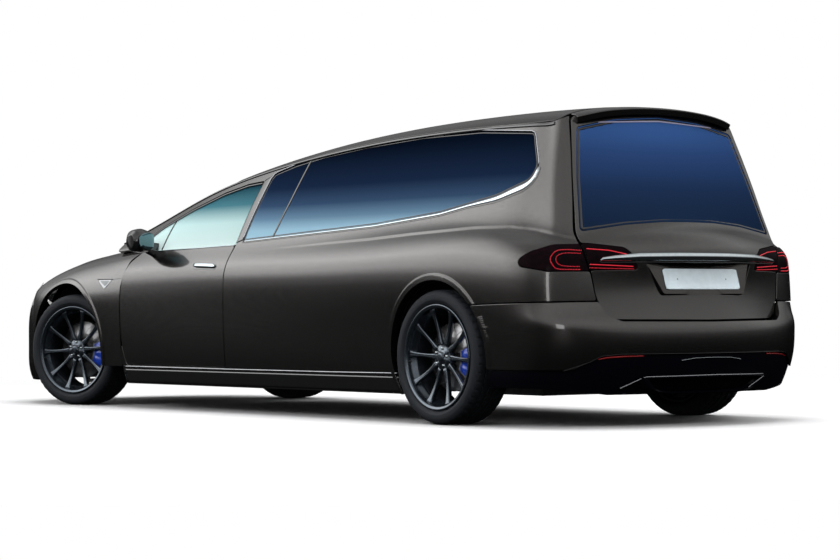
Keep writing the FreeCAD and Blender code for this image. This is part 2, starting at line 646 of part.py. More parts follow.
LIP_GRID = [lip_row(-558, 1656, 580, 1582), lip_row(-600, 1655, 580, 1580),
            lip_row(-650, 1650, 572, 1573), lip_row(-690, 1642, 562, 1562)]
lip = thick_patch(LIP_GRID, [[p - V(0, 0, 44) for p in row] for row in LIP_GRID])
lip = lip.common(prism([(-558, -559), (-558, 559), (-640, 559), (-664, 480), (-682, 260),
                        (-688, 0), (-682, -260), (-664, -480), (-640, -559)], "z", 1400, 1800))
lip = lip.common(prism(gate_outline, "x", -1300, -400))
gate = gate.fuse(biggest(lip))
gate = biggest(gate)
feature("tailgate", gate)
gate_glass = thick_patch([[p + V(4, 0, 0) for p in row] for row in GATE_GRID],
                         [[p + V(10, 0, 0) for p in row] for row in GATE_GRID])
gate_glass = biggest(gate_glass.common(prism(grow(GATE_WINDOW, -1.0), "x", -1300, -400)))
gate_glass = biggest(gate_glass.cut(gate))
feature("tailgate_glass", gate_glass)
gate_lamp = thick_patch([[p + V(1, 0, 0) for p in row] for row in GATE_GRID],
                        [[p + V(39, 0, 0) for p in row] for row in GATE_GRID])
gate_lamp = gate_lamp.common(prism(GATE_LAMP, "x", -1300, -400))
gate_lamp = biggest(gate_lamp.common(prism(gate_outline, "x", -1300, -400)).cut(gate))
feature("tailgate_lamps", Part.makeCompound([gate_lamp, mirror(gate_lamp)]))
plate = doc.addObject("Part::Box", "plate")
plate.setExpression("Width", "sizes.platewidth")
plate.setExpression("Height", "sizes.plateheight")
plate.Length = 2
plate_base = V(recess_floor(697) - MID - 2.3 * math.cos(math.radians(LEAN)),
               -size("platewidth") / 2, 697 + 2 * math.sin(math.radians(LEAN)))
keep(plate, "number_plate", FreeCAD.Placement(plate_base, FreeCAD.Rotation(V(0, 1, 0), LEAN)))

# tail lamps in the body side
tail_lamp = thick_patch(plan_inset(SIDE_GRID, 1), plan_inset(SIDE_GRID, 60)).common(
    turned_lamp(TAIL_LAMP, 500, 1500))
tail_lamp = tail_lamp.cut(prism(grow(gate_outline, GAP + 2), "x", -1300, -450))
tail_lamp = biggest(tail_lamp.cut(box(-400, 4000, 300, 1100, 0, 2000)))
feature("tail_lamps", Part.makeCompound([tail_lamp, mirror(tail_lamp)]))


# ---------------------------------------------------------------- floor, battery, axles
def bound_box(name, x0, y0, z0, **terms):
    b = doc.addObject("Part::Box", name)
    for k, v in terms.items():
        if isinstance(v, str):
            b.setExpression(k, v)
        else:
            setattr(b, k, v)
    b.Placement = FreeCAD.Placement(V(x0, y0, z0), FreeCAD.Rotation())
    return b


def fused(label, pieces):
    f = doc.addObject("Part::MultiFuse", label)
    f.Shapes = pieces
    return keep(f, label)


FLOOR = size("floorlow")
REAR_WELL = 690.0
fused("underbody", [
    bound_box("floor_mid", 440, -816, FLOOR, Length=2950, Width=1632, Height="sizes.floorthick"),
    bound_box("floor_rear", -780, -(REAR_WELL - 8), FLOOR, Length=1300,
              Width=2 * (REAR_WELL - 8), Height="sizes.floorthick"),
    bound_box("tail_beam", -870, -500, FLOOR, Length=95, Width=1000, Height=160)])
pads = []
for sx, sy in [(720, 770), (3040, 770), (720, -770), (3040, -770)]:
    pads.append(Part.makeCylinder(35, FLOOR - 200, V(sx, sy, 200)))
feature("jack_pads", Part.makeCompound(pads))
frame_parts = [
    bound_box("floor_front", 3390, -478, FLOOR, Length=1280, Width=956,
              Height="sizes.floorthick"),
    bound_box("front_beam", 4610, -440, 420, Length=50, Width=880, Height=110),
    bound_box("rail_left", 3390, 400, FLOOR, Length=1280, Width=78, Height=180),
    bound_box("rail_right", 3390, -478, FLOOR, Length=1280, Width=78, Height=180),
]
fused("front_frame", frame_parts)

battery = bound_box("battery_block", 620, 0, 0, Length="sizes.batterylength",
                    Width="sizes.batterywidth", Height="sizes.batterythick")
keep(battery, "battery_pack", FreeCAD.Placement(
    V(620 - MID, -size("batterywidth") / 2, size("batterylow")), FreeCAD.Rotation()))

KING = size("kingpin")
STEER = size("steerangle")


def rounded_bar(a, b, w, hgt):
    """A flat arm between two plan points with round ends, top at the points' height."""
    d = V(b.x - a.x, b.y - a.y, 0)
    n = V(-d.y, d.x, 0)
    n.normalize()
    n = n * (w / 2.0)
    pts = [a + n, b + n, b - n, a - n, a + n]
    sh = Part.Face(Part.makePolygon(pts)).extrude(V(0, 0, -hgt))
    for c in (a, b):
        sh = sh.fuse(Part.makeCylinder(w / 2.0, hgt, V(c.x, c.y, c.z - hgt)))
    return sh.removeSplitter()


ARM_TOP = 164.0


def subframe(s, half):
    sub = box(s - 190, s + 190, -half, half, ARM_TOP - 22, FLOOR)
    sub = sub.cut(box(s - 120, s + 120, -half + 70, half - 70, 100, FLOOR + 10))
    return sub.fuse(box(s - 60, s + 60, -half + 60, half - 60, 205, FLOOR))


front = subframe(WB, 380)
for side_y in (1, -1):
    arm = rounded_bar(V(WB + 130, side_y * 350, ARM_TOP), V(WB, side_y * KING, ARM_TOP), 50, 22)
    arm2 = rounded_bar(V(WB - 150, side_y * 350, ARM_TOP), V(WB, side_y * KING, ARM_TOP), 50, 22)
    front = front.fuse(arm).fuse(arm2)
for side_y in (1, -1):
    front = front.cut(Part.makeCylinder(12.05, 80, V(WB, side_y * KING, 120)))
feature("front_axle", biggest(front.removeSplitter()))

# rear: subframe, arms, and the carriers with the calipers that sit over the discs
DISC = size("discradius")
RT = size("reartrack")


def caliper(start, sweep, low=-52, high=44):
    """Bridge over the disc, in the wheel's own frame: axis along y, outboard +y."""
    ring = Part.makeCylinder(214, high - low, V(0, low, 0), V(0, 1, 0)).cut(
        Part.makeCylinder(116, high - low, V(0, low, 0), V(0, 1, 0)))
    w = []
    for a in (start - sweep / 2.0, start + sweep / 2.0):
        w.append(V(math.cos(math.radians(a)) * 500, 0, math.sin(math.radians(a)) * 500))
    wedge = Part.Face(Part.makePolygon([V(0, low, 0), w[0] + V(0, low, 0),
                                        w[1] + V(0, low, 0), V(0, low, 0)])).extrude(
        V(0, high - low, 0))
    slot = Part.makeCylinder(DISC + 6, 42, V(0, -33, 0), V(0, 1, 0))
    return ring.common(wedge).cut(slot)


def carrier(caliper_angle, low_pin):
    """Upright, bearing housing, spindle and caliper, in the wheel's own frame."""
    up = box(-44, 44, -92, -44, -128, 120)
    up = up.fuse(Part.makeCylinder(62, 50, V(0, -92, 0), V(0, 1, 0)))
    up = up.fuse(Part.makeCylinder(22, 70, V(0, -60, 0), V(0, 1, 0)))
    ca = caliper(caliper_angle, 52)
    lug = Part.makeBox(150, 30, 70, V(20, -82, -35))
    lug.rotate(V(0, 0, 0), V(0, 1, 0), -caliper_angle)
    up = up.fuse(lug)
    up = up.fuse(ca)
    if low_pin:
        up = up.fuse(Part.makeCylinder(12, 100, V(0, -size("fronttrack") + KING, -214)))
    return biggest(up.removeSplitter())


def hub_place(y_sign, track, steered):
    """Where a wheel's own frame sits on the car."""
    if steered:
        r = FreeCAD.Rotation(V(0, 0, 1), STEER)
        c = V(WB, y_sign * KING, AXLE_Z) + r.multVec(V(0, y_sign * (track - KING), 0))
        ang = STEER + (180 if y_sign < 0 else 0)
    else:
        c = V(0, y_sign * track, AXLE_Z)
        ang = 180 if y_sign < 0 else 0
    return FreeCAD.Placement(c - V(MID, 0, 0), FreeCAD.Rotation(V(0, 0, 1), ang))


rear = subframe(0, 400)
for y_sign in (1, -1):
    c = carrier(-8 if y_sign < 0 else 188, False)
    c.rotate(V(0, 0, 0), V(0, 0, 1), 180 if y_sign < 0 else 0)
    c.translate(V(0, y_sign * RT, AXLE_Z))
    rear = rear.fuse(c)
    for dx in (150, -150):
        rear = rear.fuse(rounded_bar(V(dx, y_sign * 370, 240), V(0, y_sign * (RT - 70), 240),
                                     50, 26))
feature("rear_axle", biggest(rear.removeSplitter()))
# drive units: a plain drum on a foot at each axle
drive = []
for s, r in ((WB, 92), (0, 100)):
    drum = Part.makeCylinder(r, 460, V(s, -230, FLOOR + 40 + r), V(0, 1, 0))
    drive.append(drum.fuse(box(s - 64, s + 64, -180, 180, FLOOR + 30, FLOOR + 90)))
feature("drive_units", Part.makeCompound(drive))

for name, y_sign, ang in (("left", 1, 188), ("right", -1, -8)):
    feature("front_knuckle_" + name, carrier(ang, True),
            hub_place(y_sign, size("fronttrack"), True))

# ---------------------------------------------------------------- wheels and tyres
RIM = [(277, 113), (277, 105), (262, 101), (262, 70), (241, 54), (241, -62), (262, -80),
       (262, -101), (277, -105), (277, -113), (268, -114), (254, -108), (251, -84),
       (231, -66), (231, 52), (251, 76), (254, 106), (267, 114)]
HUB = [(22.05, -34), (70, -34), (70, -27), (180, -27), (180, 3), (84, 3), (84, 54), (78, 62),
       (78, 84), (34, 90), (0, 92), (0, 26), (22.05, 26)]


def origin_plane(body, role):
    return [f for f in body.Origin.OriginFeatures if f.Role == role][0]


def polygon_sketch(body, name, role, points, offset=0.0):
    sk = body.newObject("Sketcher::SketchObject", name)
    sk.AttachmentSupport = [(origin_plane(body, role), "")]
    sk.MapMode = "FlatFace"
    sk.AttachmentOffset = FreeCAD.Placement(V(0, 0, offset), FreeCAD.Rotation())
    n = len(points)
    for i in range(n):
        a, b = points[i], points[(i + 1) % n]
        sk.addGeometry(Part.LineSegment(V(a[0], a[1], 0), V(b[0], b[1], 0)), False)
    return sk


def revolve(body, name, points):
    sk = polygon_sketch(body, name + "_sketch", "XY_Plane", points)
    rv = body.newObject("PartDesign::Revolution", name)
    rv.Profile = sk
    rv.ReferenceAxis = (sk, ["V_Axis"])
    rv.Angle = 360
    return rv


def make_wheel(label, place):
    body = doc.addObject("PartDesign::Body", label)
    revolve(body, "rim", RIM)
    revolve(body, "hub", HUB)
    spoke = polygon_sketch(body, "spoke_sketch", "XZ_Plane",
                           [(-24, 50), (-11, 120), (-13, 240), (-20, 250), (20, 250),
                            (13, 240), (11, 120), (24, 50)], offset=-76)
    pad = body.newObject("PartDesign::Pad", "spoke")
    pad.Profile = spoke
    pad.Length = 34
    pad.Midplane = True
    pol = body.newObject("PartDesign::PolarPattern", "spokes")
    pol.Originals = [pad]
    pol.Axis = (spoke, ["N_Axis"])
    pol.Angle = 360
    pol.setExpression("Occurrences", "sizes.spokecount")
    body.Tip = pol
    return keep(body, label, place)


TYRE = [(263, 97), (278, 102), (286, 110), (300, 121), (318, 121.5), (336, 114), (346, 104), (351, 84),
        (352, 40), (352, -40), (351, -84), (346, -104), (336, -114), (318, -121.5),
        (300, -121), (286, -110), (278, -102), (263, -97), (263, -74), (276, -84),
        (300, -107), (322, -103), (338, -70), (339, 0), (338, 70), (322, 103), (300, 107),
        (276, 84), (263, 74)]


def make_tyre(label, place):
    body = doc.addObject("PartDesign::Body", label)
    rv = revolve(body, "carcass", TYRE)
    body.Tip = rv
    return keep(body, label, place)


for end, y_sign, track, steered in (("rear_left", 1, RT, False), ("rear_right", -1, RT, False),
                                    ("front_left", 1, size("fronttrack"), True),
                                    ("front_right", -1, size("fronttrack"), True)):
    place = hub_place(y_sign, track, steered)
    make_wheel("wheel_" + end, place)
    make_tyre("tyre_" + end, place)

# ---------------------------------------------------------------- wheel arch liners
LIN = size("linerradius")
liners = []
for s, wall, out in ((0, REAR_WELL, 888), (WB, size("wellwall"), 856)):
    tub = Part.makeCylinder(LIN + 6, out - wall + 6, V(s, wall - 6, AXLE_Z), V(0, 1, 0))
    tub = tub.cut(Part.makeCylinder(LIN, 600, V(s, wall, AXLE_Z), V(0, 1, 0)))
    tub = tub.cut(box(s - 500, s + 500, 300, 1000, -100, 306))
    # the axle's arm and shaft pass through the inner wall
    tub = tub.cut(box(s - 70, s + 70, 300, wall + 1, 200, AXLE_Z + 90))
    for o in ("front_bumper", "rear_bumper", "side_panel_left", "rear_diffuser"):
        tub = tub.cut([q for q in SUBPARTS if q.Label == o][0].Shape.copy().translated(
            V(MID, 0, 0)))
    tub = biggest(tub)
    liners += [tub, mirror(tub)]
feature("wheel_liners", Part.makeCompound(liners))

# ---------------------------------------------------------------- front luggage tub
tub = box(3640, 4330, -470, 470, 512, 806).cut(box(3648, 4322, -462, 462, 520, 900))
for s in (3700, 4270):
    for y in (439, -439):
        tub = tub.fuse(box(s - 20, s + 20, y - 20, y + 20, FLOOR + 180, 512))
flange = box(3560, 4360, -540, 540, 800, 806).cut(box(3648, 4322, -462, 462, 790, 900))
feature("front_tub", tub.fuse(flange).removeSplitter())

# ---------------------------------------------------------------- load deck and partition
DECK = size("decktop")
# the rear end is shaped to the inside of the tailgate
DECK_END = [(-775, 676), (-800, 620), (-862, 470), (-900, 310), (-928, 0)]
deck = prism([(1905, -676), (1905, 676)] + DECK_END + [(a, -b) for a, b in
                                                      reversed(DECK_END[:-1])],
             "z", DECK - 30, DECK)
for y0 in (-676, 656):
    deck = deck.fuse(box(-770, 1905, y0, y0 + 20, FLOOR + 30, DECK - 30))
wall = prism([(775, 300, 20), (778, 930, 60), (700, 1170, 60), (585, 1385, 60), (300, 1432, 300),
              (-300, 1432, 300), (-585, 1385, 60), (-700, 1170, 60), (-778, 930, 60),
              (-775, 300, 20)], "x", 1905, 1935)
wall = wall.cut(prism([(470, 1030, 40), (440, 1310, 40), (-440, 1310, 40), (-470, 1030, 40)],
                      "x", 1900, 1940))
deck = deck.fuse(wall)
BIER = [(400, 280), (1600, 280), (400, -280), (1600, -280)]
for sx, sy in BIER:
    deck = deck.cut(Part.makeCylinder(9, 60, V(sx - 400, sy, DECK - 45)))
feature("load_deck", biggest(deck.removeSplitter()))

# ---------------------------------------------------------------- seats, dashboard
SEAT = [(2330, 300, 20), (2860, 300, 40), (2880, 470, 50), (2420, 500, 40), (2292, 1010, 60),
        (2268, 1140, 30), (2200, 1150, 30), (2205, 1000, 60), (2300, 420, 60)]
seats = []
for yc in (-385, 385):
    st = prism(SEAT, "y", yc - 245, yc + 245)
    st = st.cut(box(2000, 2380, yc - 400, yc - 120, 1020, 1300)).cut(
        box(2000, 2380, yc + 120, yc + 400, 1020, 1300))
    seats.append(biggest(st))
feature("seats", Part.makeCompound(seats))
DASH = [(3352, 925, 0), (3090, 948, 30), (2985, 915, 40), (2975, 840, 20), (3060, 700, 40),
        (3110, 600, 40), (3352, 560, 0)]
dash = prism(DASH, "y", -735, 735)
console = prism([(2420, 300, 0), (3352, 300, 0), (3352, 640, 0), (3080, 640, 40),
                 (2940, 520, 60), (2440, 500, 40)], "y", -120, 120)
COLUMN = FreeCAD.Placement(V(2900, 385, 885), FreeCAD.Rotation(V(0, 1, 0), -66))
column = Part.makeCylinder(24, 240, V(0, 0, -254))
column.Placement = COLUMN
firewall = box(3350, 3374, -800, 800, FLOOR + 30, 900)
dash = dash.fuse(console).fuse(column).fuse(firewall)
feature("dashboard", biggest(dash.removeSplitter()))
ring = Part.makeTorus(178, 14)
hubp = Part.makeCylinder(52, 26, V(0, 0, -10))
ring = ring.fuse(hubp)
for a in (0, 180, 270):
    sp = Part.makeBox(150, 26, 12, V(35, -13, -8))
    sp.rotate(V(0, 0, 0), V(0, 0, 1), a)
    ring = ring.fuse(sp)
ring = biggest(ring.removeSplitter())
ring.rotate(V(0, 0, 0), V(0, 0, 1), STEER * size("steerratio"))
feature("steering_wheel", ring, HOME.multiply(COLUMN))

# ---------------------------------------------------------------- check and write
doc.recompute()
bad = []
for o in doc.Objects:
    if "Invalid" in o.State or "Error" in o.State:
        bad.append(o.Label + " " + str(o.State))
for o in SUBPARTS:
    sh = o.Shape
    if sh.isNull() or not sh.isValid() or not sh.Solids or sh.Volume <= 0:
        bad.append(o.Label + " shape")
if bad:
    raise RuntimeError("failed: " + "; ".join(bad))
os.makedirs("parts", exist_ok=True)
for o in SUBPARTS:
    o.Shape.exportStep("parts/%s.step" % o.Label)
total = sum(o.Shape.Volume for o in SUBPARTS) / 1e9
print(len(SUBPARTS), "sub-parts, %.3f cubic metres of solid" % total)
for o in SUBPARTS:
    b = o.Shape.BoundBox
    print("%-20s %d  x %.0f %.0f  y %.0f %.0f  z %.0f %.0f" % (
        o.Label, len(o.Shape.Solids), b.XMin, b.XMax, b.YMin, b.YMax, b.ZMin, b.ZMax))
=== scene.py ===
"""Looks of a long electric hearse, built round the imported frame. Metres, the row's own frame."""
import json
import math
import bpy
import bmesh
import numpy as np
from mathutils import Matrix, Vector
from mathutils.geometry import delaunay_2d_cdt

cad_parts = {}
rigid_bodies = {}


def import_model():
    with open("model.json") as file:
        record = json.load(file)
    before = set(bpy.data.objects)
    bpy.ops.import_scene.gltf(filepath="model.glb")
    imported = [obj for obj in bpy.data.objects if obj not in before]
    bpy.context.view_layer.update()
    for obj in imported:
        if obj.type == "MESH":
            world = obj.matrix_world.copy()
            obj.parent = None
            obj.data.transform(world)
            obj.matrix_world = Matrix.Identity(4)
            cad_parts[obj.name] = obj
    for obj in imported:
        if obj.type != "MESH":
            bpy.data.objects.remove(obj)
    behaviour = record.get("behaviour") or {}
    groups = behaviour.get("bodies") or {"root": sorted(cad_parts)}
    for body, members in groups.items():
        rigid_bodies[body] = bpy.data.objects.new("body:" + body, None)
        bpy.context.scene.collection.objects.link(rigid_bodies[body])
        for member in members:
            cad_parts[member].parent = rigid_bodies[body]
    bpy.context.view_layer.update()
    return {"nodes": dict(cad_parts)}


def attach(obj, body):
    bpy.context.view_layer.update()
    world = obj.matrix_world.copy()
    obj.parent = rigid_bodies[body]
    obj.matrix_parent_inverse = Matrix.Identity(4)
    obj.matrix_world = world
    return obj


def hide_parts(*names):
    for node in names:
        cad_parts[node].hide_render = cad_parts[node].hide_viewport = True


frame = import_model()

MID = 1.87          # station of the middle of the car's length
WB = 3.86           # wheelbase
AXLE_Z = 0.352
NODES = frame["nodes"]

# ---------------------------------------------------------------- shape tables, millimetres
SIDE = [
    # s,   ysill ystrip ylow ywaist yshoul yhaunch zhaunch ybelt zbelt ydrip zdrip
    (3550, 900, 930, 945, 955, 945, 905, 870, 822, 952, 788, 985),
    (3200, 900, 930, 945, 953, 945, 912, 880, 850, 957, 738, 1092),
    (2700, 898, 930, 943, 948, 942, 915, 885, 868, 962, 675, 1275),
    (2200, 898, 930, 943, 948, 945, 918, 890, 874, 970, 660, 1385),
    (1600, 898, 930, 943, 950, 950, 920, 900, 868, 983, 660, 1470),
    (1000, 900, 932, 945, 957, 958, 925, 920, 858, 1007, 655, 1525),
    (500, 904, 936, 950, 968, 972, 935, 945, 848, 1035, 648, 1552),
    (0, 908, 942, 956, 978, 982, 942, 962, 838, 1052, 640, 1563),
    (-350, 905, 940, 955, 975, 975, 935, 955, 822, 1040, 632, 1560),
]
CORNER = [
    ((-590, 890), (-590, 926), (-590, 942), (-590, 956), (-590, 952),
     (-590, 912, 925), (-530, 790, 1017), (-440, 624, 1560)),
    ((-740, 835), (-750, 868), (-752, 880), (-748, 884), (-742, 878),
     (-732, 850, 905), (-672, 764, 988), (-520, 606, 1560)),
    ((-830, 750), (-836, 775), (-836, 786), (-824, 790), (-812, 788),
     (-796, 782, 905), (-728, 742, 975), (-566, 596, 1574)),
    ((-890, 590), (-895, 600), (-900, 606), (-899, 606), (-871, 645),
     (-843, 672, 912), (-800, 678, 966), (-616, 550, 1594)),
]
LOW_Z = (150, 255, 380, 600, 790)
GLASS_STEPS = (0.25, 0.62)
BULGE = 12.0


def side_grid():
    out = []
    for r in SIDE:
        row = [(r[0], y, z) for y, z in zip(r[1:6], LOW_Z)] + [(r[0], r[6], r[7]), (r[0], r[8], r[9])]
        out.append((row, (r[0], r[10], r[11])))
    for c in CORNER:
        row = [(p[0], p[1], z) for p, z in zip(c[:5], LOW_Z)] + [c[5], c[6]]
        out.append((row, c[7]))
    res = []
    for row, top in out:
        b, t = np.array(row[-1], float), np.array(top, float)
        for f in GLASS_STEPS:
            p = b + (t - b) * f
            row.append(tuple(p + np.array([0, BULGE * 4 * f * (1 - f), 0])))
        row.append(tuple(t))
        res.append(row)
    return np.array(res, float)


def relax(a):
    out = a.copy()
    out[1:-1] = a[1:-1] - (a[:-2] - 2 * a[1:-1] + a[2:]) / 6.0
    return out


def basis(n, t):
    """Weights of n poles of a clamped uniform cubic at each t in 0..n-3."""
    d = min(3, n - 1)
    knots = np.concatenate([[0] * (d + 1), np.arange(1, n - d), [n - d] * (d + 1)]).astype(float)
    t = np.clip(np.asarray(t, float), 0, n - d - 1e-9)
    N = np.zeros((len(knots) - 1, t.size))
    for i in range(len(knots) - 1):
        N[i] = (t >= knots[i]) & (t < knots[i + 1])
    for k in range(1, d + 1):
        M = np.zeros((len(knots) - 1 - k, t.size))
        for i in range(len(knots) - 1 - k):
            a, b = knots[i + k] - knots[i], knots[i + k + 1] - knots[i + 1]
            if a > 0:
                M[i] += (t - knots[i]) / a * N[i]
            if b > 0:
                M[i] += (knots[i + k + 1] - t) / b * N[i + 1]
        N = M
    return N.T



DOOR = [(2044, 268, 25), (3146, 268, 30), (3196, 430, 300), (3196, 740, 300), (3150, 900, 60),
        (3078, 958, 12), (2030, 978, 12), (2046, 800, 200)]
DOOR_GLASS = [(2024, 984, 4), (3080, 962, 4), (3100, 1040, 30), (2990, 1116, 300),
              (2720, 1214, 400), (2400, 1300, 400), (2150, 1342, 300), (1984, 1352, 8)]
SIDE_GLASS = [(1960, 1005, 6), (1300, 1036, 600), (700, 1064, 900), (150, 1112, 900),
              (-280, 1185, 500), (-492, 1262, 110), (-512, 1340, 60), (-430, 1512, 40),
              (0, 1540, 900), (500, 1538, 900), (1000, 1512, 900), (1400, 1478, 600),
              (1680, 1440, 500), (1905, 1392, 60)]
TAIL_LAMP = [(250, 822, 25), (150, 892, 80), (40, 926, 120), (-135, 930, 4), (-240, 915, 4),
             (-240, 790, 4), (60, 788, 60)]
GATE_HALF = [(0, 541), (545, 546, 40), (600, 576, 60), (634, 660, 200), (650, 770, 300),
             (676, 880, 200), (688, 975, 200), (630, 1265, 900), (562, 1572, 16), (470, 1636),
             (300, 1672), (0, 1684)]
GATE = [  # rows from the bottom: centre (s, z), middle (s, y, z), edge (s, y, z)
    ((-1040, 540), (-1006, 300, 541), (-903, 610, 548)),
    ((-1024, 640), (-988, 310, 640), (-880, 640, 640)),
    ((-1014, 750), (-976, 320, 750), (-866, 660, 745)),
    ((-1020, 862), (-978, 335, 858), (-856, 682, 850)),
    ((-1008, 935), (-962, 345, 928), (-834, 692, 914)),
    ((-962, 995), (-920, 345, 982), (-812, 694, 948)),
    ((-900, 1040), (-866, 345, 1028), (-792, 694, 980)),
    ((-845, 1150), (-820, 335, 1138), (-758, 674, 1090)),
    ((-780, 1320), (-758, 315, 1305), (-706, 637, 1262)),
    ((-710, 1480), (-694, 295, 1468), (-658, 600, 1425)),
    ((-655, 1604), (-645, 278, 1594), (-622, 570, 1556)),
    ((-640, 1636), (-630, 275, 1626), (-604, 562, 1584)),
]
GATE_LAMP = [(408, 797, 8), (760, 792, 4), (760, 936, 4), (640, 928, 60), (478, 908, 30),
             (444, 880, 14)]
TAIL_Z = (150, 215, 300, 390, 480, 545, 600, 665)
TAIL = [  # each station from the arch round to the middle: (s, y) at every level
    [(-260, 905), (-260, 935), (-260, 948), (-260, 957), (-260, 966), (-260, 971),
     (-260, 975), (-260, 977)],
    [(-470, 900), (-470, 932), (-470, 946), (-470, 955), (-470, 964), (-470, 968),
     (-470, 971), (-470, 972)],
    [(-600, 880), (-606, 914), (-609, 930), (-611, 940), (-611, 947), (-611, 951),
     (-609, 952), (-607, 951)],
    [(-712, 828), (-720, 862), (-730, 884), (-736, 897), (-738, 902), (-740, 903),
     (-736, 894), (-732, 889)],
    [(-785, 756), (-800, 785), (-817, 810), (-827, 825), (-829, 827), (-829, 824),
     (-817, 800), (-808, 796)],
    [(-845, 660), (-870, 688), (-893, 708), (-907, 720), (-909, 722), (-904, 718),
     (-884, 700), (-866, 696)],
    [(-905, 476), (-945, 508), (-978, 528), (-993, 536), (-994, 536), (-982, 532),
     (-950, 520), (-920, 510)],
    [(-950, 250), (-1003, 265), (-1042, 277), (-1060, 280), (-1060, 280), (-1046, 278),
     (-1010, 272), (-975, 268)],
    [(-965, 0), (-1025, 0), (-1066, 0), (-1085, 0), (-1085, 0), (-1070, 0),
     (-1034, 0), (-998, 0)],
]
CROWN = [(2470, 1428), (2200, 1478), (1600, 1565), (1000, 1620), (500, 1648), (0, 1660),
         (-300, 1661), (-552, 1656)]  # s, z on the centre plane
DROP = [(0.0, 0.0), (0.30, 0.045), (0.55, 0.17), (0.75, 0.37), (0.90, 0.66), (1.0, 1.0)]
WING = [  # s, y at strip, low door, waist, z 740; then (y, z) of shoulder, crest, bonnet seam
    (3060, 930, 944, 952, 946, 909, 887, 853, 957, 750, 1012),
    (3205, 930, 945, 953, 947, 905, 888, 845, 955, 742, 990),
    (3550, 930, 945, 958, 950, 892, 880, 812, 936, 738, 962),
    (3860, 935, 952, 970, 960, 888, 862, 802, 905, 735, 930),
    (4130, 930, 950, 966, 946, 866, 830, 786, 862, 728, 884),
    (4330, 922, 938, 938, 896, 820, 786, 758, 812, 712, 828),
    (4480, 868, 884, 876, 810, 744, 730, 706, 750, 684, 764),
]
BONNET = [  # s, z at the centre, y 300, y 550, seam; y of the seam
    (3400, 1020, 1014, 998, 981, 741), (3700, 998, 991, 974, 949, 737),
    (4000, 962, 954, 937, 908, 731), (4250, 918, 910, 890, 852, 722),
    (4450, 868, 858, 832, 780, 694), (4620, 808, 796, 755, 694, 655),
    (4740, 740, 724, 672, 610, 610),
]
NOSE_LEVELS = [  # z, forward shift of the nose, inset of the sides
    (150, -60, 24), (220, 4, 4), (350, 0, 2), (480, 0, 0), (600, -22, 6), (700, -88, 34),
    (790, -190, 88)]
NOSE_PLAN = [  # s, y, share of the shift that this point takes
    (4200, 952, 0.0), (4320, 936, 0.12), (4450, 893, 0.35), (4580, 816, 0.6),
    (4700, 686, 0.8), (4780, 470, 0.95), (4815, 230, 1.0), (4822, 0, 1.0)]
BONNET_PLAN = [(3720, 0), (3655, 400), (3468, 735), (3700, 729), (4000, 723), (4250, 713),
               (4420, 690), (4540, 620), (4620, 480), (4668, 250), (4682, 0)]
HEADLAMP = [(4345, 648, 8), (4460, 618, 30), (4640, 612, 40), (4725, 640, 20), (4705, 690, 20),
            (4560, 752, 60), (4440, 812, 10), (4405, 770, 4)]
SCREEN = [  # rows from header to cowl: centre (s, z), middle (s, y, z), edge (s, y, z)
    ((2466, 1428), (2452, 330, 1410), (2362, 628, 1352)),
    ((2760, 1352), (2735, 345, 1334), (2600, 652, 1290)),
    ((3080, 1235), (3040, 360, 1218), (2900, 690, 1192)),
    ((3400, 1098), (3350, 380, 1085), (3180, 728, 1095)),
    ((3700, 962), (3640, 400, 958), (3440, 765, 985)),
]

def both(half):
    return half + [(-p[0], p[1], p[2] if len(p) > 2 else 0) for p in reversed(half[1:-1])]
gate_outline = both(GATE_HALF)
GATE_WINDOW = both([(0, 1046), (180, 1044, 600), (400, 1028, 600), (664, 990, 14),
                    (609, 1265, 900), (541, 1530, 30), (300, 1580, 600), (0, 1600)])

def screen_row(r):
    c, m, e = r
    return [(e[0], -e[1], e[2]), (m[0], -m[1], m[2]), (c[0], 0, c[1]), (m[0], m[1], m[2]), (e[0], e[1], e[2])]
def around(levels, plan):
    rows = []
    for z, shift, inset in levels:
        half = [(s + shift * k, y - inset * (1 - 0.6 * k) if y else 0, z) for s, y, k in plan]
        rows.append(half + [(p[0], -p[1], p[2]) for p in reversed(half[:-1])])
    return [[rows[j][i] for j in range(len(rows))] for i in range(len(rows[0]))]
tail_half = [[(p[0], p[1], z) for p, z in zip(row, TAIL_Z)] for row in TAIL]
TAIL_GRID = tail_half + [[(p[0], -p[1], p[2]) for p in row] for row in reversed(tail_half[:-1])]
NOSE_GRID=around(NOSE_LEVELS,NOSE_PLAN)
def drip(s):
    pts = sorted([(r[0], r[10], r[11]) for r in SIDE] + [(c[7][0], c[7][1], c[7][2]) for c in CORNER])
    for a, b in zip(pts, pts[1:]):
        if a[0] <= s <= b[0]:
            k = (s - a[0]) / (b[0] - a[0])
            return a[1] + k * (b[1] - a[1]), a[2] + k * (b[2] - a[2])
    return pts[0][1:] if s < pts[0][0] else pts[-1][1:]
def roof_row(s, zc):
    yd, zd = drip(s)
    half = [(s, yd * f, zc - (zc - zd) * d) for f, d in DROP]
    return [(p[0], -p[1], p[2]) for p in reversed(half[1:])] + half
ROOF_GRID = [roof_row(s, z) for s, z in CROWN]
def wing_rows():
    out = []
    for r in WING:
        row = [(r[0], y, z) for y, z in zip(r[1:5], (255, 380, 600, 740))]
        row += [(r[0], r[5], r[6]), (r[0], r[7], r[8]), (r[0], r[9], r[10])]
        out.append(row)
    return out
WING_GRID = wing_rows()
def bonnet_row(r):
    s, z0, z1, z2, z3, ye = r
    half = [(s, 0, z0), (s, 300, z1), (s, 550, z2), (s, ye, z3)]
    return [(p[0], -p[1], p[2]) for p in reversed(half[1:])] + half
BONNET_GRID = [bonnet_row(r) for r in BONNET]

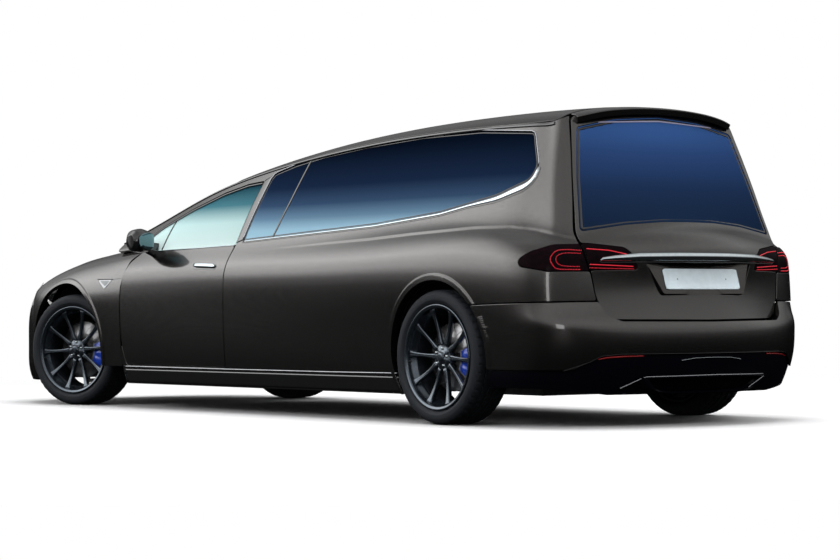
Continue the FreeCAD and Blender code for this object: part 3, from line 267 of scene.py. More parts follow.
def lip_row(s, zc, ye, ze):
    return [(s, -ye, ze), (s, -ye * 0.8, zc - (zc - ze) * 0.50),
            (s, -ye * 0.45, zc - (zc - ze) * 0.12), (s, 0, zc),
            (s, ye * 0.45, zc - (zc - ze) * 0.12), (s, ye * 0.8, zc - (zc - ze) * 0.50),
            (s, ye, ze)]


DIFFUSER_LINE = [(-1100, 292), (-760, 294), (-704, 336), (-650, 368), (-560, 377), (0, 377),
                 (560, 377), (650, 368), (704, 336), (760, 294), (1100, 292)]
MIRROR_SECTIONS = [  # y, s centre, z centre, half length, half height
    (905, 2925, 1012, 60, 42), (940, 2905, 1020, 84, 66), (1000, 2880, 1024, 92, 74),
    (1052, 2866, 1022, 84, 66), (1078, 2860, 1018, 50, 40)]
RIM = [(277, 113), (277, 105), (262, 101), (262, 70), (241, 54), (241, -62), (262, -80),
       (262, -101), (277, -105), (277, -113), (268, -114), (254, -108), (251, -84),
       (231, -66), (231, 52), (251, 76), (254, 106), (267, 114)]
HUB = [(22.05, -34), (70, -34), (70, -27), (180, -27), (180, 3), (84, 3), (84, 54), (78, 62),
       (78, 84), (34, 90), (0, 92), (0, 26), (22.05, 26)]
TYRE = [(263, 97), (278, 102), (286, 110), (300, 121), (318, 121.5), (336, 114), (346, 104), (351, 84),
        (352, 40), (352, -40), (351, -84), (346, -104), (336, -114), (318, -121.5),
        (300, -121), (286, -110), (278, -102), (263, -97), (263, -74), (276, -84),
        (300, -107), (322, -103), (338, -70), (339, 0), (338, 70), (322, 103), (300, 107),
        (276, 84), (263, 74)]
SEAT = [(2330, 300, 20), (2860, 300, 40), (2880, 470, 50), (2420, 500, 40), (2292, 1010, 60),
        (2268, 1140, 30), (2200, 1150, 30), (2205, 1000, 60), (2300, 420, 60)]
DASH = [(3352, 925, 0), (3090, 948, 30), (2985, 915, 40), (2975, 840, 20), (3060, 700, 40),
        (3110, 600, 40), (3352, 560, 0)]
DECK_END = [(-775, 676), (-800, 620), (-862, 470), (-900, 310), (-928, 0)]
LIP_GRID = [lip_row(-558, 1656, 580, 1582), lip_row(-600, 1655, 580, 1580),
            lip_row(-650, 1650, 572, 1573), lip_row(-690, 1642, 562, 1562)]


# ---------------------------------------------------------------- smooth surfaces
class Surf:
    """A clamped, uniform cubic surface close to a grid of points in millimetres."""

    def __init__(self, grid):
        g = np.asarray(grid, float) / 1000.0
        g[..., 0] -= MID
        p = relax(g)
        p = relax(p.transpose(1, 0, 2)).transpose(1, 0, 2)
        self.p = p
        self.nu, self.nv = p.shape[:2]
        self.tu, self.tv = self.nu - min(3, self.nu - 1), self.nv - min(3, self.nv - 1)
        self.lu = np.linalg.norm(np.diff(g, axis=0), axis=2).sum(0).mean()
        self.lv = np.linalg.norm(np.diff(g, axis=1), axis=2).sum(1).mean()

    def at(self, uv):
        uv = np.atleast_2d(uv)
        bu, bv = basis(self.nu, uv[:, 0] * self.tu), basis(self.nv, uv[:, 1] * self.tv)
        t = np.tensordot(bu, self.p, axes=(1, 0))
        return np.einsum("nj,njk->nk", bv, t)

    def normal(self, uv, e=1e-4):
        uv = np.atleast_2d(uv)
        a, b = np.clip(uv - [e, 0], 0, 1), np.clip(uv + [e, 0], 0, 1)
        c, d = np.clip(uv - [0, e], 0, 1), np.clip(uv + [0, e], 0, 1)
        n = np.cross(self.at(b) - self.at(a), self.at(d) - self.at(c))
        return n / np.maximum(np.linalg.norm(n, axis=1, keepdims=True), 1e-12)

    def find(self, q, drop, guess=None, steps=30):
        """(u, v) whose point agrees with q after the coordinate map drop (3 x 2)."""
        q = np.atleast_2d(np.asarray(q, float))
        if guess is None:
            U, W = np.meshgrid(np.linspace(0, 1, 70), np.linspace(0, 1, 40), indexing="ij")
            g = np.column_stack([U.ravel(), W.ravel()])
            gp = self.at(g) @ drop
            uv = np.array([g[np.argmin(((gp - t) ** 2).sum(1))] for t in q])
        else:
            uv = np.array(guess, float)
        e = 1e-5
        for _ in range(steps):
            f = self.at(uv) @ drop - q
            lo, hi = np.clip(uv - [e, 0], 0, 1), np.clip(uv + [e, 0], 0, 1)
            du = (self.at(hi) - self.at(lo)) @ drop / (hi - lo)[:, :1]
            lo, hi = np.clip(uv - [0, e], 0, 1), np.clip(uv + [0, e], 0, 1)
            dv = (self.at(hi) - self.at(lo)) @ drop / (hi - lo)[:, 1:]
            det = du[:, 0] * dv[:, 1] - du[:, 1] * dv[:, 0]
            det = np.where(np.abs(det) < 1e-9, 1e-9, det)
            su = (f[:, 0] * dv[:, 1] - f[:, 1] * dv[:, 0]) / det
            sv = (du[:, 0] * f[:, 1] - du[:, 1] * f[:, 0]) / det
            step = np.clip(np.column_stack([su, sv]), -0.1, 0.1)
            uv = np.clip(uv - step, 0, 1)
            if np.abs(step).max() < 1e-8:
                break
        return uv


SZ = np.array([[1, 0], [0, 0], [0, 1]], float)   # keep x and z
YZ = np.array([[0, 0], [1, 0], [0, 1]], float)   # keep y and z
XY = np.array([[1, 0], [0, 1], [0, 0]], float)   # keep x and y
R2 = math.sqrt(0.5)
WZ = np.array([[R2, 0], [R2, 0], [0, 1]], float)  # a plane turned 45 degrees, and z
SHIFT = {"sz": (MID, 0), "yz": (0, 0), "sy": (MID, 0), "wz": (MID * R2, 0)}
DROPS = {"sz": SZ, "yz": YZ, "sy": XY, "wz": WZ}


class Skin:
    """A surface seen from outside, with a small displacement along its outward normal."""

    def __init__(self, surf, sign=1, bump=None):
        self.s, self.sign, self.bump = surf, sign, bump

    def pos(self, uv):
        p = self.s.at(uv)
        if self.bump is not None:
            p = p + self.sign * self.s.normal(uv) * self.bump(p)[:, None]
        return p

    def ders(self, uv, e=2e-4):
        a, b = np.clip(uv - [e, 0], 0, 1), np.clip(uv + [e, 0], 0, 1)
        c, d = np.clip(uv - [0, e], 0, 1), np.clip(uv + [0, e], 0, 1)
        du = (self.pos(b) - self.pos(a)) / (b - a)[:, :1]
        dv = (self.pos(d) - self.pos(c)) / (d - c)[:, 1:]
        return du, dv

    def nrm(self, uv):
        du, dv = self.ders(uv)
        n = np.cross(du, dv) * self.sign
        return n / np.maximum(np.linalg.norm(n, axis=1, keepdims=True), 1e-12)

    def lift(self, bump):
        return Skin(self.s, self.sign, bump)


def dense(points, step=10.0):
    """A closed outline of corners (p, q, fillet radius) as a dense closed polyline."""
    n = len(points)
    ends = []
    for i in range(n):
        p = np.array(points[i][:2], float)
        a = np.array(points[i - 1][:2], float) - p
        b = np.array(points[(i + 1) % n][:2], float) - p
        r = points[i][2] if len(points[i]) > 2 else 0
        la, lb = np.linalg.norm(a), np.linalg.norm(b)
        a, b = a / la, b / lb
        half = math.acos(max(-1, min(1, float(a @ b)))) / 2
        if r > 0 and half < math.pi / 2 - 1e-3:
            t = min(r / math.tan(half), 0.49 * la, 0.49 * lb)
            r = t * math.tan(half)
            m = (a + b) / np.linalg.norm(a + b)
            c = p + m * (r / math.sin(half))
            s0, s1 = p + a * t, p + b * t
            a0 = math.atan2(*(s0 - c)[::-1])
            a1 = math.atan2(*(s1 - c)[::-1])
            d = (a1 - a0 + math.pi) % (2 * math.pi) - math.pi
            k = max(3, int(abs(d) * r / step) + 1, int(abs(d) / 0.2) + 1)
            ends.append([c + r * np.array([math.cos(a0 + d * j / k), math.sin(a0 + d * j / k)])
                         for j in range(k + 1)])
        else:
            ends.append([p])
    out = []
    for i in range(n):
        out += ends[i]
        s0, s1 = ends[i][-1], ends[(i + 1) % n][0]
        k = int(np.linalg.norm(s1 - s0) / step)
        out += [s0 + (s1 - s0) * j / (k + 1) for j in range(1, k + 1)]
    return np.array(out)


def even_odd(loops, q):
    """True for points q inside closed loops."""
    c = np.zeros(len(q), bool)
    for poly in loops:
        x0, y0 = poly[:, 0], poly[:, 1]
        x1, y1 = np.roll(x0, -1), np.roll(y0, -1)
        for k in range(0, len(q), 4000):
            x, y = q[k:k + 4000, 0][:, None], q[k:k + 4000, 1][:, None]
            hit = (y0 > y) != (y1 > y)
            with np.errstate(divide="ignore", invalid="ignore"):
                xi = x0 + (y - y0) * (x1 - x0) / (y1 - y0)
            c[k:k + 4000] ^= (np.where(hit, x < xi, False).sum(1) % 2).astype(bool)
    return c


def sdist(poly, q):
    """Distance from points q to a closed outline, positive inside."""
    a, b = poly, np.roll(poly, -1, axis=0)
    d = b - a
    l2 = np.maximum((d ** 2).sum(1), 1e-18)
    best = np.empty(len(q))
    for k in range(0, len(q), 4000):
        p = q[k:k + 4000]
        t = ((p[:, None, 0] - a[:, 0]) * d[:, 0] + (p[:, None, 1] - a[:, 1]) * d[:, 1]) / l2
        t = np.clip(t, 0, 1)
        dx = p[:, None, 0] - a[:, 0] - t * d[:, 0]
        dy = p[:, None, 1] - a[:, 1] - t * d[:, 1]
        best[k:k + 4000] = np.sqrt((dx * dx + dy * dy).min(1))
    return np.where(even_odd([poly], q), best, -best)


def near(points, plane, step=16.0):
    """A function of 3-D points: how far inside an outline (mm corners) they are, in metres."""
    poly = dense(points, step) / 1000.0
    drop, off = DROPS[plane], np.array(SHIFT[plane])
    return lambda p: sdist(poly, p @ drop + off)


def keep(points, plane, grow=0.0, step=16.0):
    f = near(points, plane, step)
    return lambda p: f(p) + grow


def cut(points, plane, grow=0.0, step=16.0):
    f = near(points, plane, step)
    return lambda p: -f(p) - grow


def cut_circle(s, z, r):
    return lambda p: np.hypot(p[:, 0] + MID - s, p[:, 2] - z) - r


def above(*pairs, axis=0):
    """Keeps what is above a line z(station) given by (s, z) pairs in millimetres."""
    s = np.array([a[0] for a in pairs], float) / 1000 - (MID if axis == 0 else 0)
    z = np.array([a[1] for a in pairs], float) / 1000
    return lambda p: p[:, 2] - np.interp(p[:, axis], s, z)


def below(*pairs, axis=0):
    f = above(*pairs, axis=axis)
    return lambda p: -f(p)


def trace(F, eps=1e-9):
    """Closed loops of F = 0 on the unit square's grid, as (u, v) points."""
    F = F.copy()
    F[0, :] = np.minimum(F[0, :], -1e-5)
    F[-1, :] = np.minimum(F[-1, :], -1e-5)
    F[:, 0] = np.minimum(F[:, 0], -1e-5)
    F[:, -1] = np.minimum(F[:, -1], -1e-5)
    F[np.abs(F) < 1e-7] = -1e-7
    nu, nv = F.shape
    pos = F > 0
    link = {}

    def add(a, b):
        link.setdefault(a, []).append(b)
        link.setdefault(b, []).append(a)

    mixed = pos[:-1, :-1].astype(int) + pos[1:, :-1] + pos[:-1, 1:] + pos[1:, 1:]
    for i, j in np.argwhere((mixed > 0) & (mixed < 4)):
        s, e, n, w = (0, i, j), (1, i + 1, j), (0, i, j + 1), (1, i, j)
        on = []
        if pos[i, j] != pos[i + 1, j]:
            on.append(s)
        if pos[i + 1, j] != pos[i + 1, j + 1]:
            on.append(e)
        if pos[i + 1, j + 1] != pos[i, j + 1]:
            on.append(n)
        if pos[i, j + 1] != pos[i, j]:
            on.append(w)
        if len(on) == 2:
            add(on[0], on[1])
        else:
            mid = F[i:i + 2, j:j + 2].mean() > 0
            if pos[i, j] == mid:
                add(s, e), add(n, w)
            else:
                add(s, w), add(e, n)

    def place(k):
        d, i, j = k
        if d == 0:
            t = F[i, j] / (F[i, j] - F[i + 1, j])
            return ((i + t) / (nu - 1), j / (nv - 1))
        t = F[i, j] / (F[i, j] - F[i, j + 1])
        return (i / (nu - 1), (j + t) / (nv - 1))

    loops, seen = [], set()
    for k in sorted(link):
        if k in seen:
            continue
        chain, cur, prev = [], k, None
        while cur not in seen:
            seen.add(cur)
            chain.append(place(cur))
            nxt = [x for x in link[cur] if x != prev]
            prev, cur = cur, (nxt[0] if nxt else link[cur][0])
        if len(chain) > 8:
            loops.append(np.array(chain))
    return loops


def tidy(loop, skin, gap):
    """Drops points that crowd, and turns the loop so that the inside is on its left."""
    P = skin.s.at(loop)
    keepers = [0]
    for i in range(1, len(loop)):
        if np.linalg.norm(P[i] - P[keepers[-1]]) > gap:
            keepers.append(i)
    if len(keepers) > 3 and np.linalg.norm(P[keepers[-1]] - P[0]) < gap:
        keepers.pop()
    return loop[keepers]


def area2(loop):
    x, y = loop[:, 0], loop[:, 1]
    return float((x * np.roll(y, -1) - np.roll(x, -1) * y).sum())


def panel(name, skin, fields, depth=0.02, edge=0.003, cell=0.010, grid=0.030, mats=(),
          back=True, fine=None, minloop=0.10, hem=None):
    """A sheet cut out of a skin where every field is positive: rounded edges, a hem down to
    its depth and an inner sheet. mats: outside, hem and inner sheet."""
    s = skin.s
    nu, nv = max(24, int(s.lu / cell)), max(16, int(s.lv / cell))
    U, W = np.meshgrid(np.linspace(0, 1, nu), np.linspace(0, 1, nv), indexing="ij")
    uv = np.column_stack([U.ravel(), W.ravel()])
    P = s.at(uv)
    F = np.full(len(uv), 9.0)
    for f in fields:
        todo = F > -0.03
        F[todo] = np.minimum(F[todo], f(P[todo]))
    F = F.reshape(nu, nv)
    sc = np.array([s.lu, s.lv])
    loops = []
    for L in trace(F):
        L = tidy(L, skin, cell * 0.45)
        if len(L) < 6 or np.linalg.norm(np.diff(s.at(L), axis=0), axis=1).sum() < minloop:
            continue
        loops.append(L)
    # outer loops run anticlockwise, holes clockwise
    turned = []
    for i, L in enumerate(loops):
        holes = sum(even_odd([M], L[:1])[0] for j, M in enumerate(loops) if j != i)
        a = area2(L)
        if (a < 0) != (holes % 2 == 1):
            L = L[::-1]
        turned.append(L)
    loops = turned
    # interior points
    gu, gv = max(3, int(s.lu / grid)), max(3, int(s.lv / grid))
    U, W = np.meshgrid(np.linspace(0, 1, gu + 1), np.linspace(0, 1, gv + 1), indexing="ij")
    q = np.column_stack([U.ravel(), W.ravel()])
    if fine is not None:
        q = np.vstack([q, fine])
    Pq = s.at(q)
    Fq = np.full(len(q), 9.0)
    for f in fields:
        Fq = np.minimum(Fq, f(Pq))
    on_edge = (q[:, 0] < 1e-9) | (q[:, 0] > 1 - 1e-9) | (q[:, 1] < 1e-9) | (q[:, 1] > 1 - 1e-9)
    q = q[(Fq > 0.35 * grid) & ~on_edge]
    rings, ins = [], []
    for L in loops:
        Pe = skin.pos(L)
        du, dv = skin.ders(L)
        n = np.cross(du, dv)
        n /= np.maximum(np.linalg.norm(n, axis=1, keepdims=True), 1e-12)
        t = np.roll(Pe, -1, axis=0) - np.roll(Pe, 1, axis=0)
        t /= np.maximum(np.linalg.norm(t, axis=1, keepdims=True), 1e-12)
        b = np.cross(n, t)
        w = b * edge
        a11, a12, a22 = (du * du).sum(1), (du * dv).sum(1), (dv * dv).sum(1)
        r1, r2 = (du * w).sum(1), (dv * w).sum(1)
        det = np.maximum(a11 * a22 - a12 ** 2, 1e-12)
        duv = np.column_stack([(a22 * r1 - a12 * r2) / det, (a11 * r2 - a12 * r1) / det])
        B0 = np.clip(L + duv, 1e-6, 1 - 1e-6)
        N = n * skin.sign
        rings.append((L, Pe, b, N, B0))
        ins.append(B0)
    q = q[even_odd([i * sc for i in ins], q * sc)]
    pts, edges, base = [], [], []
    for B0 in ins:
        k0 = len(pts)
        base.append(k0)
        pts += [tuple(x) for x in B0 * sc]
        m = len(B0)
        edges += [(k0 + i, k0 + (i + 1) % m) for i in range(m)]
    pts += [tuple(x) for x in q * sc]
    vs, _, tris, ov, _, _ = delaunay_2d_cdt([Vector(p) for p in pts], edges, [], 0, 1e-7)
    co = np.array([tuple(v) for v in vs]) / sc
    tri = np.array([t for t in tris if len(t) == 3], int)
    cen = co[tri].mean(1)
    tri = tri[even_odd([i * sc for i in ins], cen * sc)]
    where = {}
    for i, src in enumerate(ov):
        for k in src:
            where[k] = i
    co = np.clip(co, 0, 1)
    V0 = skin.pos(co)
    N0 = skin.nrm(co)
    # tri orientation: anticlockwise in (u, v) faces along +cross(du, dv)
    a, b_, c = co[tri[:, 0]], co[tri[:, 1]], co[tri[:, 2]]
    ar = (b_[:, 0] - a[:, 0]) * (c[:, 1] - a[:, 1]) - (b_[:, 1] - a[:, 1]) * (c[:, 0] - a[:, 0])
    good = np.abs(ar) > 1e-14
    tri, ar = tri[good], ar[good]
    want = skin.sign
    flip = np.sign(ar) != want
    tri[flip] = tri[flip][:, ::-1]
    verts, norms, faces, fm = list(map(tuple, V0)), list(map(tuple, N0)), \
        [tuple(t) for t in tri], [0] * len(tri)
    hem = depth if hem is None else hem
    for (L, Pe, b, N, B0), k0 in zip(rings, base):
        m = len(L)
        r0 = [where[k0 + i] for i in range(m)]
        k = 1 - R2
        levels = [(Pe + b * edge * k - N * edge * k, (N - b) * R2),
                  (Pe - N * edge, -b),
                  (Pe - N * hem, -b)]
        prev = r0
        for li, (pp, nn) in enumerate(levels):
            cur = list(range(len(verts), len(verts) + m))
            verts += list(map(tuple, pp))
            norms += list(map(tuple, nn))
            for i in range(m):
                j = (i + 1) % m
                f = (prev[i], prev[j], cur[j], cur[i])
                faces.append(f if want < 0 else f[::-1])
                fm.append(0 if li < 2 else 1)
            prev = cur
        if back:
            cur = list(range(len(verts), len(verts) + m))
            verts += list(map(tuple, Pe - N * hem))
            norms += list(map(tuple, -N))
            inner = list(range(len(verts), len(verts) + m))
            verts += list(map(tuple, skin.pos(B0) - N * depth))
            norms += list(map(tuple, -N))
            for i in range(m):
                j = (i + 1) % m
                f = (cur[i], cur[j], inner[j], inner[i])
                faces.append(f if want < 0 else f[::-1])
                fm.append(1)
    if back:
        o = len(verts)
        verts += list(map(tuple, V0 - N0 * depth))
        norms += list(map(tuple, -N0))
        faces += [(o + t[2], o + t[1], o + t[0]) for t in tri]
        fm += [2] * len(tri)
    return mesh_object(name, verts, faces, mats, fm, norms)


def mesh_object(name, verts, faces, mats=(), fm=None, norms=None, smooth=True):
    me = bpy.data.meshes.new(name)
    me.from_pydata([tuple(map(float, v)) for v in verts], [], [tuple(map(int, f)) for f in faces])
    me.validate(verbose=False, clean_customdata=False)
    for m in mats:
        me.materials.append(m)
    if fm is not None and len(fm) == len(me.polygons):
        me.polygons.foreach_set("material_index", [min(i, max(len(mats) - 1, 0)) for i in fm])
    if smooth:
        me.polygons.foreach_set("use_smooth", [True] * len(me.polygons))
    me.update()
    if norms is not None and len(norms) == len(me.vertices):
        nn = np.array(norms, float)
        nn /= np.maximum(np.linalg.norm(nn, axis=1, keepdims=True), 1e-9)
        me.normals_split_custom_set_from_vertices([tuple(n) for n in nn])
    ob = bpy.data.objects.new(name, me)
    bpy.context.scene.collection.objects.link(ob)
    return ob


def mirrored(ob, name):
    """The same piece on the other side of the centre plane."""
    me = ob.data
    n = len(me.vertices)
    co = np.empty(n * 3, np.float32)
    me.vertices.foreach_get("co", co)
    co = co.reshape(-1, 3) * [1, -1, 1]
    faces = [tuple(reversed(p.vertices[:])) for p in me.polygons]
    fm = [p.material_index for p in me.polygons]
    norms = None
    if me.has_custom_normals:
        acc = np.zeros((n, 3))
        ln = np.empty(len(me.loops) * 3, np.float32)
        me.corner_normals.foreach_get("vector", ln)
        vi = np.empty(len(me.loops), np.int32)
        me.loops.foreach_get("vertex_index", vi)
        np.add.at(acc, vi, ln.reshape(-1, 3))
        norms = acc * [1, -1, 1]
    smooth = len(me.polygons) > 0 and me.polygons[0].use_smooth
    out = mesh_object(name, co, faces, [m for m in me.materials], fm, norms, smooth)
    return out


def put(ob, body="root", nodes=()):
    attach(ob, body)
    if nodes:
        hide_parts(*([nodes] if isinstance(nodes, str) else nodes))
    return ob


def both_sides(ob, base, bodies=("root", "root"), nodes=None):
    """Names and places a left piece and its mirror image."""
    other = mirrored(ob, base + "_right")
    put(ob, bodies[0], nodes[0] if nodes else ())
    put(other, bodies[1], nodes[1] if nodes else ())
    return ob, other


def band(name, skin, A, B, mats, lift=0.003, base=-0.004, n=5, crown=0.5, closed=False):
    """A crowned strip on a skin between two (u, v) lines."""
    t = np.linspace(0, 1, n)
    prof = base + (lift - base) * np.minimum(1, np.sin(np.pi * np.clip(t, 0.0, 1)) ** crown)
    prof[0] = prof[-1] = base
    rows = []
    for k in range(n):
        uv = np.clip(A + (B - A) * t[k], 0, 1)
        rows.append(skin.pos(uv) + skin.nrm(uv) * prof[k])
    m = len(A)
    verts = np.concatenate(rows)
    faces = []
    for k in range(n - 1):
        for i in range(m if closed else m - 1):
            j = (i + 1) % m
            faces.append((k * m + i, k * m + j, (k + 1) * m + j, (k + 1) * m + i))
    for i in range(m if closed else m - 1):
        j = (i + 1) % m
        faces.append(((n - 1) * m + i, (n - 1) * m + j, j, i))
    if not closed:
        faces.append(tuple(k * m for k in range(n)))
        faces.append(tuple(reversed([k * m + m - 1 for k in range(n)])))
    return fix_normals(mesh_object(name, verts, faces, mats))


def fix_normals(ob, angle=None):
    bm = bmesh.new()
    bm.from_mesh(ob.data)
    bmesh.ops.recalc_face_normals(bm, faces=bm.faces)
    bm.to_mesh(ob.data)
    bm.free()
    if angle is not None:
        sharp(ob, angle)
    return ob


def sharp(ob, angle=0.6):
    me = ob.data
    me.polygons.foreach_set("use_smooth", [True] * len(me.polygons))
    bm = bmesh.new()
    bm.from_mesh(me)
    for e in bm.edges:
        if len(e.link_faces) == 2:
            e.smooth = e.calc_face_angle(0) < angle
    bm.to_mesh(me)
    bm.free()
    return ob


def line_uv(skin, points, plane, step=15.0, closed=False):
    """(u, v) along an open polyline of corners in millimetres."""
    pts = np.array([p[:2] for p in points], float)
    out = []
    for a, b in zip(pts[:-1], pts[1:]):
        k = max(1, int(np.linalg.norm(b - a) / step))
        out += [a + (b - a) * j / k for j in range(k)]
    out.append(pts[-1])
    q = np.array(out) / 1000.0 - np.array(SHIFT[plane])
    return skin.s.find(q, DROPS[plane])


def smooth_line(points, n=60, closed=False):
    """A smooth line through control points, as n points."""
    p = np.array(points, float)
    if closed:
        p = np.vstack([p[-2:], p, p[:2]])
    else:
        p = np.vstack([2 * p[0] - p[1], p, 2 * p[-1] - p[-2]])
    m = len(p) - 3
    out = []
    for x in np.linspace(0, m - 1e-9, n, endpoint=not closed):
        i, t = int(x), x - int(x)
        a, b, c, d = p[i], p[i + 1], p[i + 2], p[i + 3]
        out.append(0.5 * ((2 * b) + (c - a) * t + (2 * a - 5 * b + 4 * c - d) * t * t
                          + (3 * b - a - 3 * c + d) * t ** 3))
    return np.array(out)


def sweep(name, path, profile, mats, up=(0, 0, 1), closed=False, caps=True, scale=None,
          angle=0.7):
    """A closed profile (side, up) carried along a path of points."""
    path = np.asarray(path, float)
    m, n = len(path), len(profile)
    prof = np.asarray(profile, float)
    verts = []
    ups = np.asarray(up, float)
    for i in range(m):
        a = path[i - 1] if (closed or i > 0) else path[i]
        b = path[(i + 1) % m] if (closed or i < m - 1) else path[i]
        t = (b - a) / max(np.linalg.norm(b - a), 1e-12)
        uu = ups[i] if ups.ndim == 2 else ups
        side = np.cross(t, uu)
        side /= max(np.linalg.norm(side), 1e-9)
        w = np.cross(side, t)
        k = 1.0 if scale is None else scale[i]
        verts += [path[i] + (side * x + w * y) * k for x, y in prof]
    faces = []
    for i in range(m if closed else m - 1):
        j = (i + 1) % m
        for k in range(n):
            l = (k + 1) % n
            faces.append((i * n + k, i * n + l, j * n + l, j * n + k))
    if not closed and caps:
        faces.append(tuple(range(n)))
        faces.append(tuple((m - 1) * n + k for k in reversed(range(n))))
    return fix_normals(mesh_object(name, verts, faces, mats), angle)


def round_profile(w, h, n=12, power=2.4):
    out = []
    for i in range(n):
        a = 2 * math.pi * i / n
        c, s = math.cos(a), math.sin(a)
        out.append((w / 2 * math.copysign(abs(c) ** (2 / power), c),
                    h / 2 * math.copysign(abs(s) ** (2 / power), s)))
    return out


def lathe(name, profile, mats, n=96, mat_of=None, wob=None, start=0.0, sweep_angle=None):
    """A turned piece about Y: profile of (radius, y)."""
    m = len(profile)
    verts, faces, fm = [], [], []
    full = sweep_angle is None
    steps = n if full else n + 1
    for i in range(steps):
        a = start + (2 * math.pi if full else sweep_angle) * i / n
        for k, (r, y) in enumerate(profile):
            rr = r if wob is None else r + wob(i, k, a)
            verts.append((rr * math.cos(a), y, rr * math.sin(a)))
    for i in range(n):
        j = (i + 1) % steps
        for k in range(m - 1):
            faces.append((i * m + k, j * m + k, j * m + k + 1, i * m + k + 1))
            fm.append(mat_of(k) if mat_of else 0)
    ob = mesh_object(name, verts, faces, mats, fm)
    return ob


def join(name, obs):
    """Several meshes made into one, materials kept."""
    mats, verts, faces, fm, base = [], [], [], [], 0
    for o in obs:
        me, mw = o.data, o.matrix_world
        idx = []
        for m in me.materials:
            if m not in mats:
                mats.append(m)
            idx.append(mats.index(m))
        co = np.empty(len(me.vertices) * 3)
        me.vertices.foreach_get("co", co)
        co = co.reshape(-1, 3)
        M = np.array(mw)
        co = co @ M[:3, :3].T + M[:3, 3]
        verts.append(co)
        for p in me.polygons:
            faces.append(tuple(v + base for v in p.vertices))
            fm.append((idx[p.material_index] if idx else 0, p.use_smooth))
        base += len(me.vertices)
    ob = mesh_object(name, np.concatenate(verts), faces, mats, [f[0] for f in fm])
    ob.data.polygons.foreach_set("use_smooth", [f[1] for f in fm])
    for o in obs:
        bpy.data.objects.remove(o)
    return ob


def bevelled_box(name, lo, hi, r, mats, seg=3):
    lo, hi = np.array(lo, float), np.array(hi, float)
    bm = bmesh.new()
    bmesh.ops.create_cube(bm, size=1)
    for v in bm.verts:
        v.co = Vector((lo + hi) / 2 + np.array(v.co) * (hi - lo))
    bmesh.ops.bevel(bm, geom=list(bm.edges), offset=r, segments=seg, affect="EDGES",
                    profile=0.5, clamp_overlap=True)
    me = bpy.data.meshes.new(name)
    bm.to_mesh(me)
    bm.free()
    for m in mats:
        me.materials.append(m)
    ob = bpy.data.objects.new(name, me)
    bpy.context.scene.collection.objects.link(ob)
    sharp(ob, 0.6)
    return ob


def moved(ob, matrix):
    ob.data.transform(matrix)
    return ob


# ---------------------------------------------------------------- materials
def nodes_of(mat):
    mat.use_nodes = True
    nt = mat.node_tree
    nt.nodes.clear()
    out = nt.nodes.new("ShaderNodeOutputMaterial")
    bs = nt.nodes.new("ShaderNodeBsdfPrincipled")
    nt.links.new(bs.outputs[0], out.inputs[0])
    return nt, bs


def ramp(nt, src, stops):
    r = nt.nodes.new("ShaderNodeValToRGB")
    cr = r.color_ramp
    while len(cr.elements) > len(stops):
        cr.elements.remove(cr.elements[-1])
    while len(cr.elements) < len(stops):
        cr.elements.new(1.0)
    for e, (p, c) in zip(cr.elements, stops):
        e.position = p
        e.color = (*c, 1) if len(c) == 3 else c
    nt.links.new(src, r.inputs[0])
    return r.outputs[0]


def noise(nt, scale, detail=4.0, rough=0.55, stretch=(1, 1, 1)):
    tc = nt.nodes.new("ShaderNodeTexCoord")
    mp = nt.nodes.new("ShaderNodeMapping")
    mp.inputs["Scale"].default_value = stretch
    n = nt.nodes.new("ShaderNodeTexNoise")
    n.inputs["Scale"].default_value = scale
    n.inputs["Detail"].default_value = detail
    n.inputs["Roughness"].default_value = rough
    nt.links.new(tc.outputs["Object"], mp.inputs[0])
    nt.links.new(mp.outputs[0], n.inputs["Vector"])
    return n.outputs["Fac"]


def voronoi(nt, scale, stretch=(1, 1, 1), out="Color", feature="F1"):
    tc = nt.nodes.new("ShaderNodeTexCoord")
    mp = nt.nodes.new("ShaderNodeMapping")
    mp.inputs["Scale"].default_value = stretch
    n = nt.nodes.new("ShaderNodeTexVoronoi")
    n.feature = feature
    n.inputs["Scale"].default_value = scale
    nt.links.new(tc.outputs["Object"], mp.inputs[0])
    nt.links.new(mp.outputs[0], n.inputs["Vector"])
    return n.outputs[out]


def bump(nt, bs, height, strength, distance=0.001, socket="Normal"):
    b = nt.nodes.new("ShaderNodeBump")
    b.inputs["Strength"].default_value = strength
    b.inputs["Distance"].default_value = distance
    nt.links.new(height, b.inputs["Height"])
    nt.links.new(b.outputs[0], bs.inputs[socket])


def basic(name, c0, c1, rough=(0.4, 0.5), metal=0.0, scale=40.0, detail=5.0, coat=0.0,
          coat_rough=0.03, bump_scale=None, bump_strength=0.1, bump_dist=0.0005, spec=None,
          sheen=0.0, stretch=(1, 1, 1), trans=0.0, ior=None, alpha=None):
    m = bpy.data.materials.new(name)
    nt, bs = nodes_of(m)
    n = noise(nt, scale, detail, stretch=stretch)
    nt.links.new(ramp(nt, n, [(0.3, c0), (0.7, c1)]), bs.inputs["Base Color"])
    r = ramp(nt, n, [(0.25, (rough[0],) * 3), (0.75, (rough[1],) * 3)])
    nt.links.new(r, bs.inputs["Roughness"])
    bs.inputs["Metallic"].default_value = metal
    bs.inputs["Coat Weight"].default_value = coat
    bs.inputs["Coat Roughness"].default_value = coat_rough
    if spec is not None:
        bs.inputs["Specular IOR Level"].default_value = spec
    if sheen:
        bs.inputs["Sheen Weight"].default_value = sheen
    if trans:
        bs.inputs["Transmission Weight"].default_value = trans
    if ior:
        bs.inputs["IOR"].default_value = ior
    if alpha is not None:
        bs.inputs["Alpha"].default_value = alpha
    if bump_scale:
        bump(nt, bs, noise(nt, bump_scale, 3.0), bump_strength, bump_dist)
    return m


